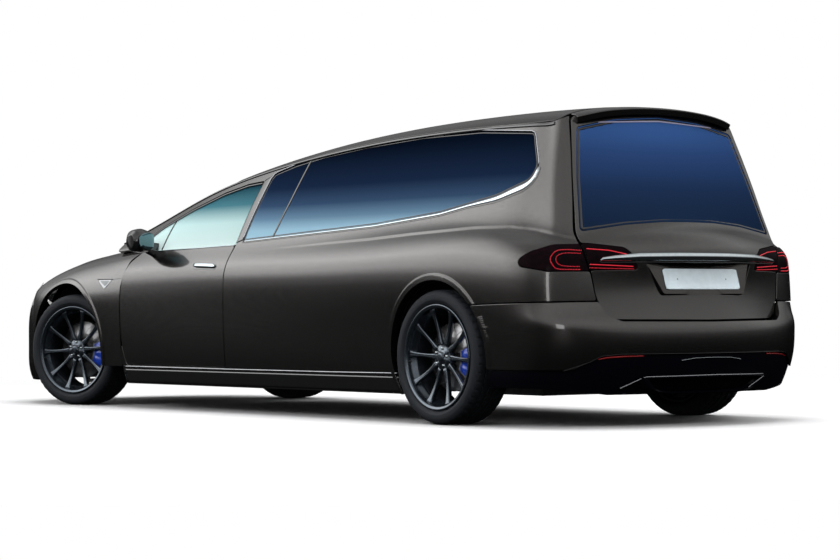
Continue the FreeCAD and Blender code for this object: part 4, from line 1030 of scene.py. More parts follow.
def paint_material(name, dark, light, flake, coat=1.0, metal=0.93):
    m = bpy.data.materials.new(name)
    nt, bs = nodes_of(m)
    cells = voronoi(nt, 2600.0)
    sep = nt.nodes.new("ShaderNodeSeparateColor")
    nt.links.new(cells, sep.inputs[0])
    base = ramp(nt, sep.outputs[0], [(0.0, dark), (0.80, light), (0.97, flake)])
    nt.links.new(base, bs.inputs["Base Color"])
    r = ramp(nt, noise(nt, 900.0, 2.0), [(0.2, (0.22,) * 3), (0.8, (0.30,) * 3)])
    nt.links.new(r, bs.inputs["Roughness"])
    bs.inputs["Metallic"].default_value = metal
    bs.inputs["Coat Weight"].default_value = coat
    bs.inputs["Coat Roughness"].default_value = 0.015
    bs.inputs["Coat IOR"].default_value = 1.55
    # flakes tilt a little; the clear coat keeps a very fine ripple
    bump(nt, bs, sep.outputs[1], 0.10, 0.00012)
    bump(nt, bs, noise(nt, 160.0, 2.0), 0.035, 0.0003, "Coat Normal")
    return m


def glass_with_painted_reflection(name, stops, low, high, rough=0.02, metal=0.55, alpha=0.9, coat=1.0):
    """Coated glass whose colour runs with height: the gradient is a painted reflection, not a tint."""
    m = bpy.data.materials.new(name)
    nt, bs = nodes_of(m)
    tc = nt.nodes.new("ShaderNodeTexCoord")
    sep = nt.nodes.new("ShaderNodeSeparateXYZ")
    nt.links.new(tc.outputs["Object"], sep.inputs[0])
    mr = nt.nodes.new("ShaderNodeMapRange")
    mr.inputs["From Min"].default_value = low
    mr.inputs["From Max"].default_value = high
    nt.links.new(sep.outputs[2], mr.inputs["Value"])
    nt.links.new(ramp(nt, mr.outputs[0], stops), bs.inputs["Base Color"])
    bs.inputs["Metallic"].default_value = metal
    r = ramp(nt, noise(nt, 6.0, 2.0), [(0.3, (rough,) * 3), (0.7, (rough * 1.8,) * 3)])
    nt.links.new(r, bs.inputs["Roughness"])
    bs.inputs["Coat Weight"].default_value = coat
    bs.inputs["Coat Roughness"].default_value = 0.01
    bs.inputs["Alpha"].default_value = alpha
    return m


PAINT = paint_material("paint", (0.030, 0.0285, 0.0275), (0.056, 0.0535, 0.0515),
                       (0.18, 0.17, 0.16))
# a darker copy of the body paint, with a thinner coat, for gap walls, inner sheets, ledges and the plate
# recess: painted shade, as these parts carry the same paint as the outside
SHADED_JAMB = paint_material("paint_jamb_painted_shade", (0.022, 0.020, 0.019), (0.042, 0.038, 0.035),
                      (0.10, 0.09, 0.08), coat=0.4)
# side glass: almost opaque and with next to no specular, so its colour, light teal low to near black high, is
# a painted reflection
SIDE_GLASS_MAT = glass_with_painted_reflection("glass_side", [(0.0, (0.40, 0.64, 0.78)),
                              (0.12, (0.34, 0.56, 0.70)), (0.25, (0.14, 0.25, 0.37)),
                              (0.40, (0.036, 0.074, 0.145)), (0.60, (0.009, 0.020, 0.052)),
                              (1.0, (0.002, 0.005, 0.013))], 1.00, 1.50, metal=0.0, alpha=0.993,
                              coat=0.0)
# door glass: the pale teal low and dark high colour is a painted reflection over partly see-through glass
DOOR_GLASS_MAT = glass_with_painted_reflection("glass_front", [(0.0, (0.80, 0.98, 0.96)),
                              (0.40, (0.60, 0.84, 0.83)), (0.68, (0.07, 0.22, 0.27)),
                              (1.0, (0.01, 0.05, 0.08))],
                              0.97, 1.34, metal=0.0, alpha=0.84, coat=0.0)
# windscreen: its darkening with height is a painted reflection over half see-through glass
SCREEN_MAT = glass_with_painted_reflection("glass_screen", [(0.0, (0.05, 0.08, 0.08)), (1.0, (0.02, 0.03, 0.04))],
                          0.98, 1.45, metal=0.0, alpha=0.55, coat=0.3)
# tailgate glass: almost opaque, near black low to blue high, a painted reflection of the sky
REAR_GLASS_MAT = glass_with_painted_reflection("glass_rear", [(0.0, (0.008, 0.018, 0.042)),
                              (0.35, (0.012, 0.028, 0.075)), (0.7, (0.022, 0.055, 0.16)),
                              (1.0, (0.040, 0.105, 0.30))], 1.02, 1.58, metal=0.0, alpha=0.995,
                              coat=0.0)
for _m, _s in ((SIDE_GLASS_MAT, 0.02), (DOOR_GLASS_MAT, 0.08), (REAR_GLASS_MAT, 0.02)):
    _m.node_tree.nodes["Principled BSDF"].inputs["Specular IOR Level"].default_value = _s
    _m.node_tree.nodes["Principled BSDF"].inputs["IOR"].default_value = 1.03
FRIT = basic("glass_border", (0.006, 0.006, 0.007), (0.012, 0.012, 0.013), (0.10, 0.16),
             scale=300, coat=0.6)
GLOSS = basic("gloss_black", (0.006, 0.006, 0.007), (0.011, 0.011, 0.012), (0.10, 0.18),
              scale=60, coat=0.8, spec=0.6)
TRIM = basic("trim_black", (0.012, 0.012, 0.013), (0.024, 0.024, 0.025), (0.42, 0.58),
             scale=500, bump_scale=900, bump_strength=0.25, bump_dist=0.0002)
VALANCE = basic("valance_black", (0.0012, 0.0012, 0.003), (0.003, 0.003, 0.006), (0.30, 0.42),
                scale=400, bump_scale=900, bump_strength=0.15, bump_dist=0.0002, spec=0.12)
RUBBER = basic("rubber_seal", (0.008, 0.008, 0.009), (0.020, 0.020, 0.021), (0.6, 0.8),
               scale=200, bump_scale=700, bump_strength=0.2)
CHROME = basic("bright_trim", (0.60, 0.68, 0.71), (0.74, 0.80, 0.83), (0.10, 0.20),
               metal=1.0, scale=70, stretch=(0.15, 1, 1), bump_scale=1200, bump_strength=0.02)
SATIN = basic("satin_silver", (0.34, 0.35, 0.37), (0.48, 0.49, 0.51), (0.22, 0.34), metal=1.0,
              scale=120, stretch=(0.1, 1, 1), bump_scale=1500, bump_strength=0.03)
UNDER = basic("underside", (0.018, 0.018, 0.019), (0.040, 0.039, 0.038), (0.65, 0.9), scale=25,
              bump_scale=180, bump_strength=0.5, bump_dist=0.001)
LINER = basic("arch_liner", (0.010, 0.010, 0.010), (0.024, 0.023, 0.022), (0.75, 0.95),
              scale=60, bump_scale=350, bump_strength=0.6, bump_dist=0.001)
BATTERY = basic("battery", (0.10, 0.10, 0.105), (0.17, 0.17, 0.175), (0.35, 0.55), metal=0.8,
                scale=18, bump_scale=400, bump_strength=0.15)
CAST = basic("cast", (0.16, 0.16, 0.165), (0.27, 0.27, 0.275), (0.45, 0.65), metal=0.85,
             scale=45, bump_scale=500, bump_strength=0.5, bump_dist=0.0006)
TYRE_MAT = basic("tyre", (0.007, 0.009, 0.012), (0.018, 0.022, 0.028), (0.62, 0.85), scale=90,
                 bump_scale=800, bump_strength=0.35, bump_dist=0.0004)
RIM_MAT = paint_material("rim", (0.040, 0.052, 0.066), (0.085, 0.108, 0.135),
                         (0.18, 0.22, 0.26), coat=0.8, metal=0.9)
RIM_BACK = basic("rim_inside", (0.020, 0.024, 0.032), (0.045, 0.052, 0.066), (0.4, 0.6),
                 metal=0.7, scale=60, bump_scale=300, bump_strength=0.1)
DISC_MAT = basic("brake_disc", (0.22, 0.22, 0.225), (0.42, 0.42, 0.43), (0.25, 0.4), metal=1.0,
                 scale=160, bump_scale=900, bump_strength=0.15)
CALIPER = basic("caliper_blue", (0.010, 0.045, 0.42), (0.016, 0.075, 0.60), (0.25, 0.35),
                scale=80, coat=0.7, bump_scale=600, bump_strength=0.15)
LAMP_DARK = basic("lamp_smoke", (0.003, 0.002, 0.003), (0.008, 0.003, 0.004), (0.10, 0.16),
                  scale=30, coat=0.0, spec=0.02)
LAMP_CLEAR = basic("lamp_clear", (0.30, 0.32, 0.34), (0.45, 0.47, 0.50), (0.03, 0.08),
                   scale=30, coat=1.0, alpha=0.35)
LAMP_BODY = basic("lamp_body", (0.02, 0.02, 0.022), (0.05, 0.05, 0.053), (0.2, 0.35), metal=0.4,
                  scale=200)
REFLECTOR = basic("lamp_reflector", (0.6, 0.61, 0.62), (0.8, 0.8, 0.8), (0.08, 0.14), metal=1.0,
                  scale=120)
FLAT_RED = basic("red_reflector", (0.22, 0.004, 0.006), (0.36, 0.010, 0.012), (0.08, 0.16),
                 scale=400, coat=1.0, bump_scale=500, bump_strength=0.4)
PLATE_MAT = basic("plate_blank", (0.68, 0.79, 0.84), (0.76, 0.87, 0.92), (0.30, 0.42), scale=25,
                  coat=0.2, bump_scale=300, bump_strength=0.05)
LINING = basic("roof_lining", (0.30, 0.29, 0.275), (0.38, 0.37, 0.35), (0.85, 0.95), scale=500,
               sheen=0.4, bump_scale=1500, bump_strength=0.3, bump_dist=0.0004)
PLASTIC = basic("cabin_plastic", (0.022, 0.022, 0.024), (0.042, 0.041, 0.043), (0.45, 0.6),
                scale=350, bump_scale=1400, bump_strength=0.35, bump_dist=0.0003)
CARPET = basic("carpet", (0.020, 0.020, 0.022), (0.055, 0.054, 0.057), (0.9, 1.0), scale=900,
               sheen=0.5, bump_scale=1800, bump_strength=0.8, bump_dist=0.002)
DECK_MAT = basic("deck_wood", (0.16, 0.075, 0.035), (0.26, 0.13, 0.06), (0.22, 0.34), scale=14,
                 detail=8, stretch=(0.08, 1.6, 1.6), coat=0.6, bump_scale=120,
                 bump_strength=0.05)
STEEL = basic("steel_rail", (0.42, 0.42, 0.43), (0.58, 0.58, 0.59), (0.2, 0.35), metal=1.0,
              scale=200, stretch=(0.05, 1, 1), bump_scale=900, bump_strength=0.04)
CURTAIN = basic("curtain", (0.34, 0.33, 0.32), (0.46, 0.45, 0.43), (0.8, 0.95), scale=600,
                sheen=0.6, bump_scale=1500, bump_strength=0.3, bump_dist=0.0005)
# mirror glass: a real metallic reflection plus a painted reflection that lightens with height
MIRROR_GLASS = glass_with_painted_reflection("mirror_glass", [(0.0, (0.03, 0.09, 0.11)), (1.0, (0.10, 0.22, 0.25))],
                            0.94, 1.10, metal=0.9, alpha=1.0)


def glow(name, color, strength, base=(0.3, 0.01, 0.01)):
    m = bpy.data.materials.new(name)
    nt, bs = nodes_of(m)
    n = noise(nt, 300.0, 2.0)
    nt.links.new(ramp(nt, n, [(0.2, tuple(0.85 * x for x in base)), (0.8, base)]),
                 bs.inputs["Base Color"])
    bs.inputs["Roughness"].default_value = 0.15
    bs.inputs["Coat Weight"].default_value = 1.0
    bs.inputs["Emission Color"].default_value = (*color, 1)
    bs.inputs["Emission Strength"].default_value = strength
    return m


LED_RED = glow("led_red", (0.95, 0.02, 0.045), 0.55, (0.45, 0.01, 0.02))
LIGHT_BAR = basic("brake_bar", (0.30, 0.28, 0.42), (0.42, 0.40, 0.56), (0.15, 0.25), scale=300,
                  coat=1.0)


def leather(name, c0, c1):
    m = bpy.data.materials.new(name)
    nt, bs = nodes_of(m)
    n = noise(nt, 30.0, 4.0)
    nt.links.new(ramp(nt, n, [(0.3, c0), (0.7, c1)]), bs.inputs["Base Color"])
    r = ramp(nt, noise(nt, 60.0, 3.0), [(0.2, (0.38,) * 3), (0.8, (0.52,) * 3)])
    nt.links.new(r, bs.inputs["Roughness"])
    v = voronoi(nt, 420.0, out="Distance")
    bump(nt, bs, v, 0.5, 0.0006)
    bs.inputs["Sheen Weight"].default_value = 0.15
    return m


LEATHER = leather("seat_leather", (0.020, 0.020, 0.022), (0.036, 0.035, 0.037))
LEATHER_EDGE = leather("seat_piping", (0.05, 0.05, 0.054), (0.075, 0.074, 0.078))


# ---------------------------------------------------------------- the big surfaces
def smooth(t):
    t = np.clip(t, 0, 1)
    return t * t * (3 - 2 * t)


def flare(p):
    """Wheel arch flares and soft creases in the body side."""
    out = np.zeros(len(p))
    for s, r0, r1 in ((0.0, 0.400, 0.437), (WB, 0.420, 0.455)):
        r = np.hypot(p[:, 0] + MID - s, p[:, 2] - AXLE_Z)
        out += 0.006 * smooth((r1 - r) / 0.010)
    return out


CREASE = np.array([(1900, 948), (1441, 964), (1113, 977), (675, 992), (321, 1010), (-13, 1023),
                   (-190, 1031), (-445, 1031), (-623, 1008), (-785, 967), (-860, 940)]) / 1000.0


def crease(p):
    """A ledge along the haunch: the side steps in under it and eases out again below."""
    s = p[:, 0] + MID
    z = np.interp(s, CREASE[::-1, 0], CREASE[::-1, 1])
    d = z - p[:, 2]
    size = 0.0075 * smooth((1.85 - s) / 1.5) * (0.35 + 0.65 * smooth((s + 1.0) / 0.35))
    return -size * smooth(d / 0.014) * (1 - smooth((d - 0.014) / 0.130))


def side_shape(p):
    return flare(p) + crease(p)


SIDE_SURF = Surf(side_grid())
TAIL_SURF = Surf(TAIL_GRID)
NOSE_SURF = Surf(NOSE_GRID)
WING_SURF = Surf(WING_GRID)
BONNET_SURF = Surf(BONNET_GRID)
ROOF_SURF = Surf(ROOF_GRID)
SCREEN_SURF = Surf([screen_row(r) for r in SCREEN])
GATE_SURF = Surf([screen_row(r) for r in GATE])
LIP_SURF = Surf(LIP_GRID)

side_skin = Skin(SIDE_SURF, 1, side_shape)
plain_side = Skin(SIDE_SURF, 1)
wing_skin = Skin(WING_SURF, -1, flare)
nose_skin = Skin(NOSE_SURF, -1, flare)
tail_skin = Skin(TAIL_SURF, 1, flare)
roof_skin = Skin(ROOF_SURF, -1)
bonnet_skin = Skin(BONNET_SURF, 1)
gate_skin = Skin(GATE_SURF, 1)


def ring_points(surf, s0, radii, step=0.011, box=(-9, 9, -9, 9)):
    """Extra (u, v) points on circles round a wheel, so that the flare has a clean edge."""
    out = []
    for r in radii:
        n = int(2 * math.pi * r / step)
        a = 2 * math.pi * np.arange(n) / n
        q = np.column_stack([s0 + r * np.cos(a), AXLE_Z + r * np.sin(a)])
        q = q[(q[:, 0] > box[0]) & (q[:, 0] < box[1]) & (q[:, 1] > box[2]) & (q[:, 1] < box[3])]
        if not len(q):
            continue
        uv = surf.find(q - [MID, 0], DROPS["sz"])
        p = surf.at(uv)
        ok = np.hypot(p[:, 0] + MID - q[:, 0], p[:, 2] - q[:, 1]) < 0.003
        out.append(uv[ok])
    return np.vstack(out) if out else np.zeros((0, 2))


REAR_RINGS = (0.4105, 0.4185, 0.4262, 0.4285, 0.4312, 0.4342, 0.4372, 0.4410, 0.4480)
FRONT_RINGS = (0.4305, 0.4385, 0.4442, 0.4465, 0.4492, 0.4522, 0.4552, 0.4590, 0.4660)


def crease_points():
    out = []
    for d in (-0.012, -0.004, 0.0, 0.0035, 0.007, 0.0105, 0.014, 0.020, 0.034):
        s = np.arange(-0.84, 1.80, 0.011)
        z = np.interp(s, CREASE[::-1, 0], CREASE[::-1, 1]) - d
        uv = SIDE_SURF.find(np.column_stack([s - MID, z]), DROPS["sz"])
        p = SIDE_SURF.at(uv)
        out.append(uv[np.hypot(p[:, 0] + MID - s, p[:, 2] - z) < 0.003])
    return np.vstack(out)

GAP = 0.006
WING_CUT = [(3203, 100), (3700, 100), (3700, 930), (3480, 965), (3300, 975), (3120, 972),
            (3103, 960), (3163, 905), (3203, 745)]


def only_where(f, test):
    """A cut that only counts where test(p) is negative."""
    return lambda p: np.maximum(f(p), test(p))


# body side
gate_cut_side = only_where(cut(gate_outline, "yz", 0.007), lambda p: p[:, 0] + MID + 0.45)
side_fields = [
    cut_circle(0.0, AXLE_Z, 0.400),
    cut([(-1300, 100), (-240, 100), (-240, 624.6), (-1300, 650)], "sz"),
    cut(WING_CUT, "sz"),
    cut(DOOR, "sz", GAP),
    cut(DOOR_GLASS, "sz", GAP),
    cut([(2026, 940), (3120, 940), (3120, 985), (2018, 1000)], "sz"),
    cut([(3430, 900), (3800, 900), (3800, 1100), (3430, 1100)], "sz"),
    cut(SIDE_GLASS, "sz"),
    cut(TAIL_LAMP, "wz", 0.0015),
    gate_cut_side,
]
side_fine = np.vstack([ring_points(SIDE_SURF, 0.0, REAR_RINGS, box=(-0.45, 0.46, 0.2, 0.85)),
                       crease_points()])
side_panel = panel("side_panel_left", side_skin, side_fields, depth=0.062, edge=0.003,
                   cell=0.009, grid=0.026, fine=side_fine, mats=(PAINT, SHADED_JAMB, PLASTIC), hem=0.045)
both_sides(side_panel, "side_panel", nodes=("side_panel_left", "side_panel_right"))

side_glass = panel("side_glass_left", plain_side.lift(lambda p: np.full(len(p), -0.004)),
                   [keep(SIDE_GLASS, "sz", -0.001)], depth=0.005, edge=0.001, cell=0.012,
                   grid=0.05, mats=(SIDE_GLASS_MAT, FRIT, SIDE_GLASS_MAT))
both_sides(side_glass, "side_glass", nodes=("side_glass_left", "side_glass_right"))

# doors
door = panel("door_left", side_skin, [keep(DOOR, "sz")], depth=0.052, edge=0.003, cell=0.007,
             grid=0.026, mats=(PAINT, SHADED_JAMB, PLASTIC), hem=0.045)
both_sides(door, "door", ("door_l", "door_r"), ("door_left", "door_right"))
door_glass = panel("door_glass_left", plain_side.lift(lambda p: np.full(len(p), -0.006)),
                   [keep(DOOR_GLASS, "sz", -0.001)], depth=0.005, edge=0.001, cell=0.008,
                   grid=0.04, mats=(DOOR_GLASS_MAT, FRIT, DOOR_GLASS_MAT))
both_sides(door_glass, "door_glass", ("door_l", "door_r"),
           ("door_glass_left", "door_glass_right"))

# roof and windscreen
HEADER = [(2600, -900), (2600, 900), (2300, 900), (2352, 640, 900), (2446, 330, 900),
          (2458, 0, 900), (2446, -330, 900), (2352, -640, 900), (2300, -900)]
roof = panel("roof_panel", roof_skin, [cut(HEADER, "sy")], depth=0.034, edge=0.003, cell=0.014,
             grid=0.035, mats=(PAINT, SHADED_JAMB, LINING))
put(roof, "root", "roof")
screen_skin = Skin(SCREEN_SURF, 1, lambda p: np.full(len(p), -0.004))

screen = panel("windscreen_glass", screen_skin, [
    keep([(2300, -900), (2352, -640, 900), (2446, -330, 900), (2458, 0, 900), (2446, 330, 900),
          (2352, 640, 900), (2300, 900), (3900, 900), (3900, -900)], "sy", -0.002)],
    depth=0.006, edge=0.001, cell=0.012, grid=0.06, mats=(SCREEN_MAT, FRIT, SCREEN_MAT))
put(screen, "root", "windscreen")

# front wings
BONNET_OUT = BONNET_PLAN + [(p[0], -p[1]) for p in reversed(BONNET_PLAN[1:-1])]
wing_fields = [
    cut([(3000, 100), (3205, 100), (3205, 746), (3165, 906), (3106, 960), (3106, 1100),
         (3000, 1100)], "sz"),
    cut(DOOR, "sz", 0.007),
    cut([(3090, 960), (3120, 974), (3300, 977), (3432, 970), (3432, 1300), (3090, 1300)], "sz"),
    cut_circle(WB, AXLE_Z, 0.420),
    cut([(4268, 100), (4700, 100), (4700, 900), (4452, 900), (4395, 770), (4318, 600),
         (4268, 420)], "sz"),
    cut([(3840, 0), (4600, 0), (4600, 300), (3840, 300)], "sz"),
    cut(BONNET_OUT, "sy", GAP),
]
wing = panel("front_wing_left", wing_skin, wing_fields, depth=0.024, edge=0.003, cell=0.008,
             grid=0.024, fine=ring_points(WING_SURF, WB, FRONT_RINGS, box=(3.3, 4.36, 0.2, 0.85)), mats=(PAINT, SHADED_JAMB, SHADED_JAMB))
wing_r = mirrored(wing, "front_wing_right")
put(wing, "root", "front_wings")
put(wing_r, "root", ())

# bonnet
bonnet = panel("bonnet_panel", bonnet_skin, [keep(BONNET_OUT, "sy")], depth=0.024, edge=0.003,
               cell=0.010, grid=0.03, mats=(PAINT, SHADED_JAMB, TRIM))
put(bonnet, "bonnet_lid", "bonnet")


def bonnet_height():
    n = 90
    u = np.linspace(0, 1, n)
    v = np.linspace(0, 1, n)
    U, W = np.meshgrid(u, v, indexing="ij")
    P = BONNET_SURF.at(np.column_stack([U.ravel(), W.ravel()])).reshape(n, n, 3)
    xs = P[:, n // 2, 0]

    def z(p):
        i = np.clip(np.searchsorted(xs, p[:, 0]), 1, n - 1)
        out = np.empty(len(p))
        t = np.clip((p[:, 0] - xs[i - 1]) / (xs[i] - xs[i - 1]), 0, 1)
        for k in np.unique(i):
            m = i == k
            a = np.interp(p[m, 1], P[k - 1, :, 1], P[k - 1, :, 2])
            b = np.interp(p[m, 1], P[k, :, 1], P[k, :, 2])
            out[m] = a + (b - a) * t[m]
        return out
    return z


lid_z = bonnet_height()


lid_edge = cut(BONNET_OUT, "sy", 0.008)


def under_lid(p):
    # 33 mm under the lid, and almost level with it outside its edge
    gap = 0.033 - 0.030 * smooth(lid_edge(p) / 0.010)
    out = lid_z(p) - gap - p[:, 2]
    free = (p[:, 0] + MID > 4.74) | (p[:, 0] + MID < 3.4)
    return np.where(free, 9.0, out)


NOSE_CUT = [(4000, 100), (4271, 100), (4271, 420), (4321, 600), (4398, 770), (4455, 900),
            (4000, 900)]
AIR = [(-520, 215, 10), (520, 215, 10), (540, 330, 10), (-540, 330, 10)]
bumper = panel("front_bumper_cover", nose_skin, [
    cut(NOSE_CUT, "sz"), cut_circle(WB, AXLE_Z, 0.420), under_lid,
    only_where(cut(HEADLAMP, "sz", 0.0015), lambda p: 0.54 - np.abs(p[:, 1])),
    only_where(cut(AIR, "yz"), lambda p: 4.6 - MID - p[:, 0])],
    depth=0.03, edge=0.003, cell=0.010, grid=0.028, mats=(PAINT, SHADED_JAMB, TRIM),
    fine=ring_points(NOSE_SURF, WB, FRONT_RINGS, box=(4.2, 4.45, 0.18, 0.7)))
put(bumper, "root", "front_bumper")

# rear bumper
gate_cut_rear = only_where(cut(gate_outline, "yz", 0.007), lambda p: p[:, 0] + MID + 0.70)
rear = panel("rear_bumper_cover", tail_skin, [
    cut_circle(0.0, AXLE_Z, 0.400), above(*DIFFUSER_LINE, axis=1),
    below((-1300, 646), (-200, 619.6)), gate_cut_rear],
    depth=0.05, edge=0.004, cell=0.010, grid=0.026, mats=(PAINT, SHADED_JAMB, TRIM), hem=0.03,
    fine=ring_points(TAIL_SURF, 0.0, REAR_RINGS, box=(-0.45, -0.2, 0.25, 0.65)))
put(rear, "root", "rear_bumper")

# tailgate
POCKET = [(-290, 668, 20), (290, 668, 20), (372, 842, 12), (-372, 842, 12)]


def flip(points):
    return [(-p[0],) + tuple(p[1:]) for p in points]


gate = panel("tailgate_panel", gate_skin, [
    keep(gate_outline, "yz"), cut(GATE_WINDOW, "yz"), cut(GATE_LAMP, "yz", 0.0015),
    cut(flip(GATE_LAMP), "yz", 0.0015), cut(POCKET, "yz")],
    depth=0.045, edge=0.003, cell=0.009, grid=0.026, mats=(PAINT, SHADED_JAMB, PLASTIC))
put(gate, "tailgate_lid", "tailgate")
gate_glass = panel("tailgate_glass_pane", gate_skin.lift(lambda p: np.full(len(p), -0.003)),
                   [keep(GATE_WINDOW, "yz", -0.001)], depth=0.005, edge=0.001, cell=0.012,
                   grid=0.05, mats=(REAR_GLASS_MAT, FRIT, REAR_GLASS_MAT))
put(gate_glass, "tailgate_lid", "tailgate_glass")
LIP_OUT = [(-558, -559), (-558, 559), (-640, 559, 20), (-664, 480, 200), (-682, 260, 600),
           (-688, 0, 900), (-682, -260, 600), (-664, -480, 200), (-640, -559, 20)]
lip = panel("spoiler_lip", Skin(LIP_SURF, -1), [keep(LIP_OUT, "sy"),
            keep(gate_outline, "yz", 0.0)], depth=0.034, edge=0.006, cell=0.007, grid=0.02,
            mats=(PAINT, PAINT, PAINT))
put(lip, "tailgate_lid", ())


# ---------------------------------------------------------------- wheels and tyres
def tyre_mesh():
    """Tread with four round grooves and slanted blocks, sidewall with rings."""
    prof = [(262.6, 97), (277, 103), (284, 110), (296, 119.5), (302, 121), (306, 120.6),
            (318, 121.4), (330, 117.5), (333, 115.2), (338, 112.5), (344.5, 106), (349, 96),
            (351, 86), (351.6, 70), (351.7, 66), (345.5, 64), (345.5, 57), (351.8, 55),
            (352, 38), (352, 27), (345.5, 25), (345.5, 17), (352, 15), (352, 0)]
    prof = prof + [(r, -y) for r, y in reversed(prof[:-1])]
    inner = [(263, -74), (276, -84), (300, -107), (322, -103), (338, -70), (339, 0),
             (338, 70), (322, 103), (300, 107), (276, 84), (263, 74)]
    n = 288
    full = [(r / 1000, y / 1000) for r, y in prof]

    def wob(i, k, a):
        r, y = prof[k] if k < len(prof) else (0, 0)
        if r < 348.5 or k >= len(prof):
            if 338 < r < 350 and abs(y) > 90 and (i // 3) % 2 == 0:
                return -0.0018
            return 0.0
        band = 0 if abs(y) < 20 else (1 if abs(y) < 60 else 2)
        ph = (i + int(y * 0.06) * (1 if y > 0 else -1) + band * 2) % 6
        return -0.0055 if (ph == 0 and band != 0) else (-0.003 if ph == 0 else 0.0)

    prof_all = full + [(r / 1000, y / 1000) for r, y in inner]
    ob = lathe("tyre", prof_all + [prof_all[0]], (TYRE_MAT,), n=n, wob=wob)
    fix_normals(ob, 0.55)
    return ob


def spoke(a0, wide=0.5):
    """One blade of the wheel: a tapered, dished bar from hub to rim."""
    rows = []
    rs = [0.050, 0.075, 0.105, 0.140, 0.175, 0.205, 0.230, 0.246, 0.256]
    half = [0.0175, 0.0150, 0.0118, 0.0102, 0.0104, 0.0120, 0.0150, 0.0195, 0.0250]
    top = [0.073, 0.075, 0.0735, 0.0745, 0.0785, 0.084, 0.090, 0.0945, 0.0965]
    thick = [0.034, 0.032, 0.028, 0.026, 0.026, 0.026, 0.027, 0.028, 0.030]
    for r, h, t, d in zip(rs, half, top, thick):
        # the blade's section: a crowned outer face, drafted flanks, a flat back
        row = [(-h * 0.70, t - d), (-h, t - 0.010), (-h * 0.93, t - 0.0032), (-h * 0.62, t - 0.0004),
               (-h * 0.25, t - 0.0010), (h * 0.25, t - 0.0010), (h * 0.62, t - 0.0004),
               (h * 0.93, t - 0.0032), (h, t - 0.010), (h * 0.70, t - d)]
        rows.append([(r, w, y) for w, y in row])
    m = len(rows[0])
    ca, sa = math.cos(a0), math.sin(a0)
    verts = [(r * ca - w * sa, y, r * sa + w * ca) for row in rows for r, w, y in row]
    faces = []
    for i in range(len(rows) - 1):
        for k in range(m):
            l = (k + 1) % m
            faces.append((i * m + k, i * m + l, (i + 1) * m + l, (i + 1) * m + k))
    faces.append(tuple(reversed(range(m))))
    faces.append(tuple(range((len(rows) - 1) * m, len(rows) * m)))
    ob = mesh_object("spoke", verts, faces, (RIM_MAT,))
    return fix_normals(ob, 0.7)


def disc_cap(name, r, y, mats, bulge=0.004, n=40, rings=5, lobes=0, depth=0.0):
    verts, faces = [(0, y + bulge, 0)], []
    for k in range(1, rings + 1):
        t = k / rings
        for i in range(n):
            a = 2 * math.pi * i / n
            rr = r * t * (1 - (depth * (0.5 - 0.5 * math.cos(lobes * a)) if lobes else 0))
            yy = y + bulge * (1 - t ** 3)
            verts.append((rr * math.cos(a), yy if k < rings else y - 0.008, rr * math.sin(a)))
    for i in range(n):
        j = (i + 1) % n
        faces.append((0, 1 + j, 1 + i))
        for k in range(rings - 1):
            faces.append((1 + k * n + i, 1 + k * n + j, 1 + (k + 1) * n + j,
                          1 + (k + 1) * n + i))
    return fix_normals(mesh_object(name, verts, faces, mats), 0.8)


